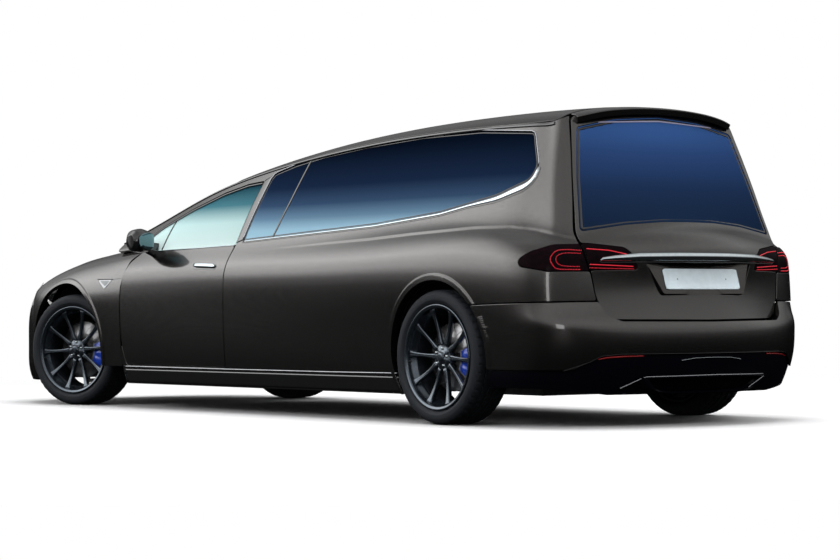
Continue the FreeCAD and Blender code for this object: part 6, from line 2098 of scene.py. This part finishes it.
# slats in the low air opening, and a plain dark nose cone without any badge
for i, z in enumerate((232, 254, 276, 298, 318)):
    w = 470 + i * 6
    ln = resample([(-w, z), (w, z)], 80)
    sl_ = flat_band("air_slat_%d" % i, nose_skin.lift(lambda p: np.full(len(p), -0.022)), ln,
                    ln + [0, -9], "yz", (TRIM,), 0.004, -0.006)
    put(sl_, "root", ())
back_ = panel("air_backing", nose_skin.lift(lambda p: np.full(len(p), -0.040)),
              [keep(AIR, "yz", 0.012), lambda p: p[:, 0] + MID - 4.6], depth=0.006, edge=0.002,
              cell=0.014, grid=0.05, mats=(TRIM, TRIM, TRIM))
put(back_, "root", ())
nosecone = panel("nose_cone", nose_skin.lift(lambda p: np.full(len(p), 0.0015)), [
    keep([(-300, 520, 60), (300, 520, 60), (390, 640, 40), (330, 668, 30), (-330, 668, 30),
          (-390, 640, 40)], "yz"), lambda p: p[:, 0] + MID - 4.5], depth=0.004, edge=0.002,
    cell=0.008, grid=0.03, mats=(GLOSS, GLOSS, GLOSS), back=False)
put(nosecone, "root", ())
na = resample([(-372, 655), (-200, 661), (0, 663), (200, 661), (372, 655)], 60)
put(flat_band("nose_bright", nose_skin, na, na + [0, -9], "yz", (CHROME,), 0.005, -0.001), "root",
    ())
chin = resample([(-700, 206), (-400, 204), (0, 203), (400, 204), (700, 206)], 120)
put(flat_band("chin_lip", nose_skin, chin + [0, 9], chin + [0, -9], "yz", (TRIM,), 0.013, -0.002),
    "root", ())

# a dark shield behind the nose and lamps
def under_lid_2(p):
    out = lid_z(p) - 0.028 - p[:, 2]
    free = (p[:, 0] + MID > 4.80) | (p[:, 0] + MID < 3.4)
    return np.where(free, 9.0, out)


shield = panel("nose_shield", nose_skin.lift(lambda p: np.full(len(p), -0.066)), [
    cut([(4000, 100), (4290, 100), (4290, 420), (4340, 600), (4415, 770), (4470, 900),
         (4000, 900)], "sz"), cut_circle(WB, AXLE_Z, 0.440), under_lid_2,
    lambda p: p[:, 2] - 0.34], depth=0.010, edge=0.002, cell=0.012, grid=0.04,
    mats=(LINER, LINER, LINER))
put(shield, "root", ())

# the ledge that the bonnet shuts on closes the gap down to the nose and lamps
ledge = panel("bonnet_ledge", bonnet_skin.lift(lambda p: np.full(len(p), -0.031)), [
    keep([(4400, -720)] + [(a, b) for a, b in ((4540, -700), (4628, -655), (4650, -610),
         (4690, -440), (4708, -230), (4714, 0), (4708, 230), (4690, 440), (4650, 610),
         (4628, 655), (4540, 700), (4400, 720))], "sy")], depth=0.004, edge=0.001,
    cell=0.010, grid=0.03, mats=(PAINT, SHADED_JAMB, SHADED_JAMB))
put(ledge, "root", ())
# painted strip between the bonnet's edge and the lamps, level with the bonnet
strip = panel("nose_top", bonnet_skin, [
    cut(BONNET_OUT, "sy", GAP), lambda p: p[:, 0] + MID - 4.405,
    keep([(4380, -760)] + [(a, b) for a, b in ((4540, -712), (4636, -660), (4664, -612),
         (4700, -440), (4716, -230), (4722, 0), (4716, 230), (4700, 440), (4664, 612),
         (4636, 660), (4540, 712), (4380, 760))], "sy")], depth=0.036, edge=0.003,
    cell=0.008, grid=0.03, mats=(PAINT, PAINT, SHADED_JAMB))
put(strip, "root", ())

# deflector across the floor ahead of the front wheels
put(bevelled_box("front_deflector", (4.400 - MID, -0.60, 0.157), (4.418 - MID, 0.60, 0.360), 0.004,
                 (LINER,)), "root", ())

# wipers lie along the screen's foot
for k, (y0, y1) in enumerate(((0.55, -0.03), (-0.08, -0.62))):
    pts = []
    for t in np.linspace(0, 1, 16):
        y = y0 + (y1 - y0) * t
        u_ = 0.90 - 0.045 * math.sin(math.pi * t * 0.8)
        v_ = np.clip(0.5 + y / 1.5, 0, 1)
        uv = np.array([[u_, v_]])
        pts.append(screen_skin.pos(uv)[0] + screen_skin.nrm(uv)[0] * (0.011))
    wp = sweep("wiper_%d" % k, pts, round_profile(0.012, 0.012, 8), (TRIM,), up=(0, 0, 1),
               scale=np.linspace(1.1, 0.7, 16))
    put(wp, "root", ())


# ---------------------------------------------------------------- cabin
def soft_section(outline, n=72):
    return resample(smooth_line([(a, b, 0) for a, b in outline], 160, True)[:, :2], n)


def cushion(name, lo, hi, crown, sides, tilt=(0, 0, 0), seams=(), mats=None, n=44, power=5.0,
            pull=0.010, welt=0.006):
    """A stuffed pad: crowned on its face, its sides pull in between the corners, with sewn
    channels pressed into the face. lo, hi: its box; the face looks to +Z. tilt is not used."""
    L, W, H = [hi[i] - lo[i] for i in range(3)]
    m = n
    verts, faces, fm = [], [], []

    def outline(t, k):
        a = 2 * math.pi * t
        c, s = math.cos(a), math.sin(a)
        x = math.copysign(abs(c) ** (2 / power), c)
        y = math.copysign(abs(s) ** (2 / power), s)
        px = pull * (1 - y * y) * abs(x) * 2 / L
        py = pull * (1 - x * x) * abs(y) * 2 / W
        return x * (1 - px) * k, y * (1 - py) * k

    N = 4 * m
    rings = []
    for k, z in ((0.90, 0.0), (0.975, 0.05), (1.0, 0.20), (1.0, 0.55), (0.995, 0.72),
                 (0.985, 0.80)):
        rings.append([(*outline(i / N, k), z * H) for i in range(N)])
    # a raised welt round the edge of the face
    rings.append([(*outline(i / N, 1.0 + 2 * welt / L), 0.84 * H) for i in range(N)])
    rings.append([(*outline(i / N, 0.985), 0.865 * H) for i in range(N)])
    steps = 26
    for j in range(1, steps):
        k = 0.985 * (1 - j / steps)
        rings.append([(*outline(i / N, k), None) for i in range(N)])
    for r in rings:
        for x, y, z in r:
            if z is None:
                q = max(abs(x), abs(y))
                z = 0.86 * H + crown * (1 - abs(x) ** 2.6) * (1 - abs(y) ** 2.6)
                for axis, at, wide, deep in seams:
                    d = ((x, y)[axis] - at)
                    z -= deep * math.exp(-(d / wide) ** 2) * min(1, 6 * max(0, 0.97 - q))
            verts.append((lo[0] + L / 2 + x * L / 2, lo[1] + W / 2 + y * W / 2, lo[2] + z))
    c = len(verts)
    zc = 0.86 * H + crown
    for axis, at, wide, deep in seams:
        zc -= deep * math.exp(-(at / wide) ** 2)
    verts.append((lo[0] + L / 2, lo[1] + W / 2, lo[2] + zc))
    R = len(rings)
    for j in range(R - 1):
        for i in range(N):
            k = (i + 1) % N
            faces.append((j * N + i, j * N + k, (j + 1) * N + k, (j + 1) * N + i))
            fm.append(1 if j in (5, 6) else 0)
    for i in range(N):
        faces.append(((R - 1) * N + i, (R - 1) * N + (i + 1) % N, c))
        fm.append(0)
    faces.append(tuple(reversed(range(N))))
    fm.append(0)
    ob = fix_normals(mesh_object(name, verts, faces, mats or (LEATHER, LEATHER_EDGE), fm), 1.2)
    return ob


def seat(y, suffix, first):
    """Cushion, backrest with bolsters, head rest and a hard shell, inside the seat's profile."""
    made = []
    # cushion: face slopes up to the front
    P0, P1 = (2400, 462), (2875, 440)
    base = cushion("seat_cushion_" + suffix, (-0.245, -0.235, 0), (0.245, 0.235, 0.115), 0.020,
                   0, seams=((1, -0.52, 0.035, 0.014), (1, 0.52, 0.035, 0.014),
                             (0, -0.35, 0.030, 0.010), (0, 0.15, 0.030, 0.010),
                             (0, 0.62, 0.030, 0.010)))
    M = Matrix.Translation((2.615 - MID, y, 0.355)) @ Matrix.Rotation(math.radians(-2), 4, "Y")
    moved(base, M)
    made.append(base)
    # backrest leans back between the cushion and the head rest
    back = cushion("seat_back_" + suffix, (-0.275, -0.230, 0), (0.275, 0.230, 0.095), 0.018, 0,
                   seams=((1, -0.55, 0.035, 0.013), (1, 0.55, 0.035, 0.013),
                          (0, -0.45, 0.025, 0.010), (0, -0.05, 0.025, 0.010),
                          (0, 0.35, 0.025, 0.010)))
    a = math.atan2(1.010 - 0.470, 2.292 - 2.420)
    M = Matrix.Translation((2.290 - MID, y, 0.735)) @ Matrix.Rotation(-a, 4, "Y")
    # local +X runs up the back, local +Z faces forward
    moved(back, Matrix.Translation((0, 0, 0)))
    up = Vector((math.cos(a), 0, math.sin(a)))
    face = Vector((math.sin(a), 0, -math.cos(a)))
    R = Matrix((up, face.cross(up), face)).transposed().to_4x4()
    moved(back, Matrix.Translation((2.2980 - MID, y, 0.742)) @ R)
    made.append(back)
    rest_ = cushion("seat_head_" + suffix, (-0.065, -0.125, 0), (0.065, 0.125, 0.060), 0.010, 0,
                    seams=((1, 0.0, 0.03, 0.004),), n=26)
    moved(rest_, Matrix.Translation((2.2050 - MID, y, 1.0700)) @ R)
    made.append(rest_)
    shell = fix_normals(hard_shell(y, suffix), 0.6)
    return made, shell


def hard_shell(y, suffix):
    """Moulded plinth and back shell behind the pads."""
    prof = [(2345, 306), (2850, 306), (2860, 352), (2440, 362), (2385, 470), (2300, 720),
            (2232, 980), (2218, 1010), (2212, 1000), (2226, 900), (2262, 700), (2312, 440)]
    line = dense([(a, b, 14) for a, b in prof], 20.0)
    n = len(line)
    verts, faces = [], []
    cols = (-0.205, -0.198, 0.198, 0.205)
    c = line.mean(0)
    for k, dy in enumerate(cols):
        q = line if 0 < k < 3 else c + (line - c) * 0.985
        verts += [(p[0] / 1000 - MID, y + dy, p[1] / 1000) for p in q]
    for k in range(3):
        for i in range(n):
            j = (i + 1) % n
            faces.append((k * n + i, k * n + j, (k + 1) * n + j, (k + 1) * n + i))
    faces.append(tuple(range(n)))
    faces.append(tuple(3 * n + i for i in reversed(range(n))))
    return mesh_object("seat_shell_" + suffix, verts, faces, (PLASTIC,))


first_pad = None
for y, suffix in ((0.385, "left"), (-0.385, "right")):
    pads, shell = seat(y, suffix, False)
    for k, pad in enumerate(pads):
        if suffix == "left" and k == 0:
            put(pad, "root", "seats")
        else:
            put(pad, "root", ())
    put(shell, "root", ())

# dashboard: a soft top with a rolled front edge, vents, a dark screen
def dash():
    line = dense([(a, b, r) for a, b, r in DASH], 16.0)
    n = len(line)
    ys = np.concatenate([[-0.7400, -0.7340], np.linspace(-0.72, 0.72, 61), [0.7340, 0.7400]])
    c = line.mean(0)
    verts, faces, fm = [], [], []
    for k, y in enumerate(ys):
        q = line.copy()
        if k in (0, len(ys) - 1):
            q = c + (line - c) * 0.985
        # the cabin side of the top is set up to 14 mm further forward towards the middle
        q[:, 0] += np.where(q[:, 0] < 3100, 14 * math.exp(-((y) / 0.20) ** 4), 0)
        verts += [(min(p[0], 3352) / 1000 - MID, y, p[1] / 1000) for p in q]
    for k in range(len(ys) - 1):
        for i in range(n):
            j = (i + 1) % n
            faces.append((k * n + i, k * n + j, (k + 1) * n + j, (k + 1) * n + i))
            fm.append(0)
    faces.append(tuple(range(n)))
    faces.append(tuple((len(ys) - 1) * n + i for i in reversed(range(n))))
    fm += [0, 0]
    ob = mesh_object("dash_top", verts, faces, (PLASTIC,), fm)
    return fix_normals(ob, 0.7)


parts = [dash()]
scr = bevelled_box("dash_screen", (-0.008, -0.115, -0.165), (0.008, 0.115, 0.165), 0.005,
                   (GLOSS,))
moved(scr, Matrix.Translation((2.985 - MID, 0, 0.800)) @ Matrix.Rotation(math.radians(-18), 4, "Y"))
parts.append(scr)
for y in (-0.64, -0.24, 0.24, 0.64):
    frame_ = bevelled_box("vent", (-0.006, -0.058, -0.026), (0.006, 0.058, 0.026), 0.004,
                          (SATIN,))
    moved(frame_, Matrix.Translation((2.978 - MID, y, 0.872)))
    parts.append(frame_)
    for k in range(4):
        v = bevelled_box("vane", (-0.009, -0.051, -0.002), (-0.004, 0.051, 0.002), 0.001, (TRIM,),
                         2)
        moved(v, Matrix.Translation((2.9745 - MID, y, 0.857 + k * 0.010)))
        parts.append(v)
wall = bevelled_box("cabin_bulkhead", (3.352 - MID, -0.775, 0.310), (3.369 - MID, 0.775, 0.900),
                    0.006, (LINER,))
parts.append(wall)
board = join("dashboard_trim", parts)
put(board, "root", "dashboard")

# steering wheel
SWM = Matrix.Translation((2.900 - MID, 0.385, 0.885)) @ Matrix.Rotation(math.radians(-66), 4, "Y")


def wheel_ring():
    n, m = 120, 18
    verts, faces, fm = [], [], []
    for i in range(n):
        a = 2 * math.pi * i / n
        grip = 1 + 0.10 * (abs(math.cos(a)) > 0.86) * (abs(math.sin(a)) < 0.5)
        for k in range(m):
            b = 2 * math.pi * k / m
            r = 0.178 + 0.0150 * math.cos(b) * grip
            z = 0.0150 * math.sin(b)
            verts.append((r * math.sin(a), r * math.cos(a), z))
    for i in range(n):
        j = (i + 1) % n
        for k in range(m):
            l = (k + 1) % m
            faces.append((i * m + k, i * m + l, j * m + l, j * m + k))
            fm.append(1 if k == 9 else 0)
    ring = fix_normals(mesh_object("ring", verts, faces, (LEATHER, LEATHER_EDGE), fm))
    out = [ring]
    pad = cushion("pad", (-0.062, -0.085, -0.020), (0.062, 0.085, 0.024), 0.008, 0, n=20,
                  power=3.2, mats=(PLASTIC, GLOSS))
    out.append(pad)
    for a in (0.0, math.pi, math.pi / 2 * 3):
        d = Vector((math.sin(a + math.pi / 2), math.cos(a + math.pi / 2), 0))
        pts = [tuple(d * r) for r in (0.055, 0.09, 0.13, 0.172)]
        s = sweep("spoke", pts, round_profile(0.034, 0.014, 14, 3.0), (SATIN,), up=(0, 0, 1),
                  scale=[1.25, 0.95, 0.85, 1.0])
        out.append(s)
    col_ = lathe("column", [(0.0, -0.018), (0.030, -0.018), (0.034, -0.05), (0.030, -0.10), (0.030, -0.20),
                            (0.0, -0.20)], (PLASTIC,), n=32)
    col_.data.transform(Matrix.Rotation(math.pi / 2, 4, "X"))
    out.append(col_)
    return moved(join("steering_wheel_trim", out), SWM)


put(wheel_ring(), "steering", "steering_wheel")

# deck: a boarded surface with bright bearers and pin plates, a rear wall behind the seats
deck = []
xs = np.linspace(-0.600, 0.600, 13)
for i in range(12):
    b = bevelled_box("board", (-0.735 - MID, xs[i] + 0.0012, 0.6405),
                     (1.895 - MID, xs[i + 1] - 0.0012, 0.6445), 0.0012, (DECK_MAT,), 2)
    deck.append(b)
for y in (-0.46, -0.15, 0.15, 0.46):
    rail = bevelled_box("bearer", (-0.72 - MID, y - 0.014, 0.6440), (1.86 - MID, y + 0.014, 0.6560),
                        0.003, (STEEL,))
    deck.append(rail)
for x in (0.0, 1.2):
    for y in (-0.28, 0.28):
        eye = lathe("pin_plate", [(0.009, 0.0), (0.009, 0.0062), (0.011, 0.0070), (0.026, 0.0066),
                                  (0.029, 0.0045), (0.029, 0.0)], (STEEL,), n=40)
        eye.data.transform(Matrix.Translation((x - MID, y, 0.6400))
                           @ Matrix.Rotation(math.pi / 2, 4, "X"))
        hole = disc_cap("pin_hole", 0.0092, 0.0, (TRIM,), 0.0004, n=24)
        hole.data.transform(Matrix.Translation((x - MID, y, 0.6452))
                            @ Matrix.Rotation(math.pi / 2, 4, "X"))
        deck += [eye, hole]
deck_top = join("deck_boards", deck)
put(deck_top, "root", ())
wall = bevelled_box("partition_trim", (1.890 - MID, -0.600, 0.660), (1.9045 - MID, 0.600, 1.380),
                    0.006, (LINING,))
put(wall, "root", ())


# curtains gathered along the inside of the side glass
def curtain(y_side, suffix):
    s = np.arange(-0.42, 1.84, 0.006)
    zz = np.linspace(0, 1, 22)
    verts, faces = [], []
    uv_t = uv_of(plain_side, np.column_stack([s * 1000, np.full(len(s), 1290.0)]), "sz")
    for k, t in enumerate(zz):
        for i, x in enumerate(s):
            z = 1.085 + 0.36 * t
            top_y = 0.60 - 0.05 * t
            fold = 0.011 * math.sin(x * 2 * math.pi / 0.085 + 0.6 * math.sin(7 * x)) * (1.1 - 0.5 * t)
            verts.append((x - MID, y_side * (top_y + fold + 0.06 * (1 - t)), z))
    m = len(s)
    for k in range(len(zz) - 1):
        for i in range(m - 1):
            faces.append((k * m + i, k * m + i + 1, (k + 1) * m + i + 1, (k + 1) * m + i))
    ob = mesh_object("curtain_" + suffix, verts, faces, (CURTAIN,))
    return ob

# roof lining: an inner skin under the roof panel
line_ = panel("roof_lining", roof_skin.lift(lambda p: np.full(len(p), -0.040)),
              [above((-700, -575), (-700, 575), axis=1) if False else
               (lambda p: np.minimum(0.575 - np.abs(p[:, 1]), np.minimum(p[:, 0] + MID + 0.42,
                                                                         2.25 - p[:, 0] - MID)))],
              depth=0.006, edge=0.002, cell=0.03, grid=0.07, mats=(LINING, LINING, LINING))
put(line_, "root", ())

# ---------------------------------------------------------------- chassis: finishes only
FINISH = {"underbody": UNDER, "jack_pads": TRIM, "front_frame": UNDER, "battery_pack": BATTERY,
          "front_axle": CAST, "rear_axle": CAST, "drive_units": CAST,
          "front_knuckle_left": CAST, "front_knuckle_right": CAST, "wheel_liners": LINER,
          "front_tub": CARPET, "load_deck": CARPET}
for name, mat in FINISH.items():
    ob = bpy.data.objects.get(name)
    if ob is None:
        ob = next((o for o in bpy.data.objects if o.name.split(".")[0] == name), None)
    if ob is None:
        raise RuntimeError("no CAD node " + name)
    if not ob.material_slots:
        ob.data.materials.append(mat)
    for sl in ob.material_slots:
        sl.material = mat


# ---------------------------------------------------------------- studio
def studio():
    w = bpy.data.worlds.new("studio")
    bpy.context.scene.world = w
    w.use_nodes = True
    bpy.context.scene.view_settings.view_transform = "Standard"
    nt = w.node_tree
    nt.nodes.clear()
    out = nt.nodes.new("ShaderNodeOutputWorld")
    mix = nt.nodes.new("ShaderNodeMixShader")
    seen = nt.nodes.new("ShaderNodeBackground")
    seen.inputs[0].default_value = (1, 1, 1, 1)
    seen.inputs[1].default_value = 1.0
    lit = nt.nodes.new("ShaderNodeBackground")
    lit.inputs[1].default_value = 0.62
    tc = nt.nodes.new("ShaderNodeTexCoord")
    sep = nt.nodes.new("ShaderNodeSeparateXYZ")
    nt.links.new(tc.outputs["Generated"], sep.inputs[0])
    mr = nt.nodes.new("ShaderNodeMapRange")
    mr.inputs["From Min"].default_value = -1.0
    mr.inputs["From Max"].default_value = 1.0
    nt.links.new(sep.outputs[2], mr.inputs["Value"])
    col = ramp(nt, mr.outputs[0], [((z + 1) / 2, (c, c, c * 1.02)) for z, c in (
        (-1.0, 0.02), (-0.15, 0.04), (0.0, 0.08), (0.03, 0.12), (0.06, 0.42), (0.25, 0.62),
        (0.60, 0.95), (1.0, 1.15))])
    nt.links.new(col, lit.inputs[0])
    # what polished surfaces see: dark below the horizon, a tall bright screen above it
    gl = nt.nodes.new("ShaderNodeBackground")
    gcol = ramp(nt, mr.outputs[0], [((z + 1) / 2, (c, c, c)) for z, c in (
        (-1.0, 0.008), (-0.06, 0.008), (0.02, 0.02), (0.09, 0.09), (0.17, 0.42), (0.38, 0.62),
        (0.68, 0.52), (1.0, 0.30))])
    nt.links.new(gcol, gl.inputs[0])
    # the bright screen stands off the car's front left, so ends and far side stay calm
    dot = nt.nodes.new("ShaderNodeVectorMath")
    dot.operation = "DOT_PRODUCT"
    dot.inputs[1].default_value = (0.79, 0.61, 0.0)
    nt.links.new(tc.outputs["Generated"], dot.inputs[0])
    side = nt.nodes.new("ShaderNodeMapRange")
    side.inputs["From Min"].default_value = 0.46
    side.inputs["From Max"].default_value = 0.90
    side.inputs["To Min"].default_value = 1.35
    side.inputs["To Max"].default_value = 4.6
    nt.links.new(dot.outputs["Value"], side.inputs["Value"])
    # a dark flag on the far side keeps the edge of the roof crisp
    away = nt.nodes.new("ShaderNodeVectorMath")
    away.operation = "DOT_PRODUCT"
    away.inputs[1].default_value = (0.79, -0.61, 0.0)
    nt.links.new(tc.outputs["Generated"], away.inputs[0])
    flag = nt.nodes.new("ShaderNodeMapRange")
    flag.inputs["From Min"].default_value = 0.42
    flag.inputs["From Max"].default_value = 0.74
    flag.inputs["To Min"].default_value = 1.0
    flag.inputs["To Max"].default_value = 0.22
    nt.links.new(away.outputs["Value"], flag.inputs["Value"])
    both_ = nt.nodes.new("ShaderNodeMath")
    both_.operation = "MULTIPLY"
    nt.links.new(side.outputs[0], both_.inputs[0])
    nt.links.new(flag.outputs[0], both_.inputs[1])
    nt.links.new(both_.outputs[0], gl.inputs[1])
    path = nt.nodes.new("ShaderNodeLightPath")
    mg = nt.nodes.new("ShaderNodeMixShader")
    nt.links.new(path.outputs["Is Glossy Ray"], mg.inputs[0])
    nt.links.new(lit.outputs[0], mg.inputs[1])
    nt.links.new(gl.outputs[0], mg.inputs[2])
    nt.links.new(path.outputs["Is Camera Ray"], mix.inputs[0])
    nt.links.new(mg.outputs[0], mix.inputs[1])
    nt.links.new(seen.outputs[0], mix.inputs[2])
    nt.links.new(mix.outputs[0], out.inputs[0])
    # floor
    n = 48
    verts, faces = [(0, 0, 0)], []
    for k in range(1, 6):
        for i in range(n):
            a = 2 * math.pi * i / n
            verts.append((40 * k * math.cos(a), 40 * k * math.sin(a), 0))
    for i in range(n):
        faces.append((0, 1 + i, 1 + (i + 1) % n))
        for k in range(4):
            a, b = 1 + k * n + i, 1 + k * n + (i + 1) % n
            faces.append((a, a + n, b + n, b))
    m = bpy.data.materials.new("studio_floor")
    nt, bs = nodes_of(m)
    nt.links.new(ramp(nt, noise(nt, 0.6, 3.0), [(0.3, (0.86, 0.86, 0.865)),
                                               (0.7, (0.89, 0.89, 0.89))]),
                 bs.inputs["Base Color"])
    bs.inputs["Roughness"].default_value = 0.65
    # away from the object the sheet is bright, as a lit backdrop
    tc = nt.nodes.new("ShaderNodeTexCoord")
    ln = nt.nodes.new("ShaderNodeVectorMath")
    ln.operation = "LENGTH"
    nt.links.new(tc.outputs["Object"], ln.inputs[0])
    far = nt.nodes.new("ShaderNodeMapRange")
    far.inputs["From Min"].default_value = 3.3
    far.inputs["From Max"].default_value = 7.5
    nt.links.new(ln.outputs["Value"], far.inputs["Value"])
    em = nt.nodes.new("ShaderNodeEmission")
    em.inputs[1].default_value = 1.0
    mx = nt.nodes.new("ShaderNodeMixShader")
    nt.links.new(far.outputs[0], mx.inputs[0])
    nt.links.new(bs.outputs[0], mx.inputs[1])
    nt.links.new(em.outputs[0], mx.inputs[2])
    nt.links.new(mx.outputs[0], nt.nodes["Material Output"].inputs[0])
    floor = mesh_object("studio_floor", verts, faces, (m,))
    floor.visible_glossy = False
    floor.visible_diffuse = False

    def area(name, loc, aim, size, power, color=(1, 1, 1)):
        l = bpy.data.lights.new(name, "AREA")
        l.shape = "RECTANGLE"
        l.size, l.size_y = size
        l.energy = power
        l.color = color
        o = bpy.data.objects.new(name, l)
        bpy.context.scene.collection.objects.link(o)
        o.location = loc
        d = Vector(aim) - Vector(loc)
        o.rotation_euler = d.to_track_quat("-Z", "Y").to_euler()
        o.visible_glossy = False
        return o

    area("top_light", (0, 0, 7.0), (0, 0, 0), (10, 5), 620)
    area("side_light", (-3, 10.5, 5.6), (-0.3, 0, 0.7), (12, 3.0), 430)
    area("rear_light", (-11.5, -1.0, 5.4), (-1.5, 0, 0.8), (8, 3.0), 330)
    corner = area("corner_light", (-13.9, 12.0, 2.6), (-2.75, 0.8, 0.6), (2.2, 3.0), 75)
    corner.visible_glossy = True
    corner.visible_camera = False
    area("far_light", (2, -10, 5.6), (0, 0, 0.8), (10, 3.0), 300)


studio()

# ---------------------------------------------------------------- camera
yaw, pitch, roll = math.radians(-37.5197), math.radians(0.6021), math.radians(-0.2563)
cd = Vector((math.cos(yaw) * math.cos(pitch), math.sin(yaw) * math.cos(pitch), math.sin(pitch)))
cr = Vector((math.sin(yaw), -math.cos(yaw), 0))
cu = cr.cross(cd)
cr2 = cr * math.cos(roll) + cu * math.sin(roll)
cu2 = -cr * math.sin(roll) + cu * math.cos(roll)
cam = bpy.data.cameras.new("camera")
cam.sensor_width = 36.0
cam.lens = 110.84
cam.clip_end = 200
cam_ob = bpy.data.objects.new("camera", cam)
bpy.context.scene.collection.objects.link(cam_ob)
M = Matrix((cr2, cu2, -cd)).transposed().to_4x4()
M.translation = Vector((-12.4820, 9.2157, 0.6127))
cam_ob.matrix_world = M
bpy.context.scene.camera = cam_ob
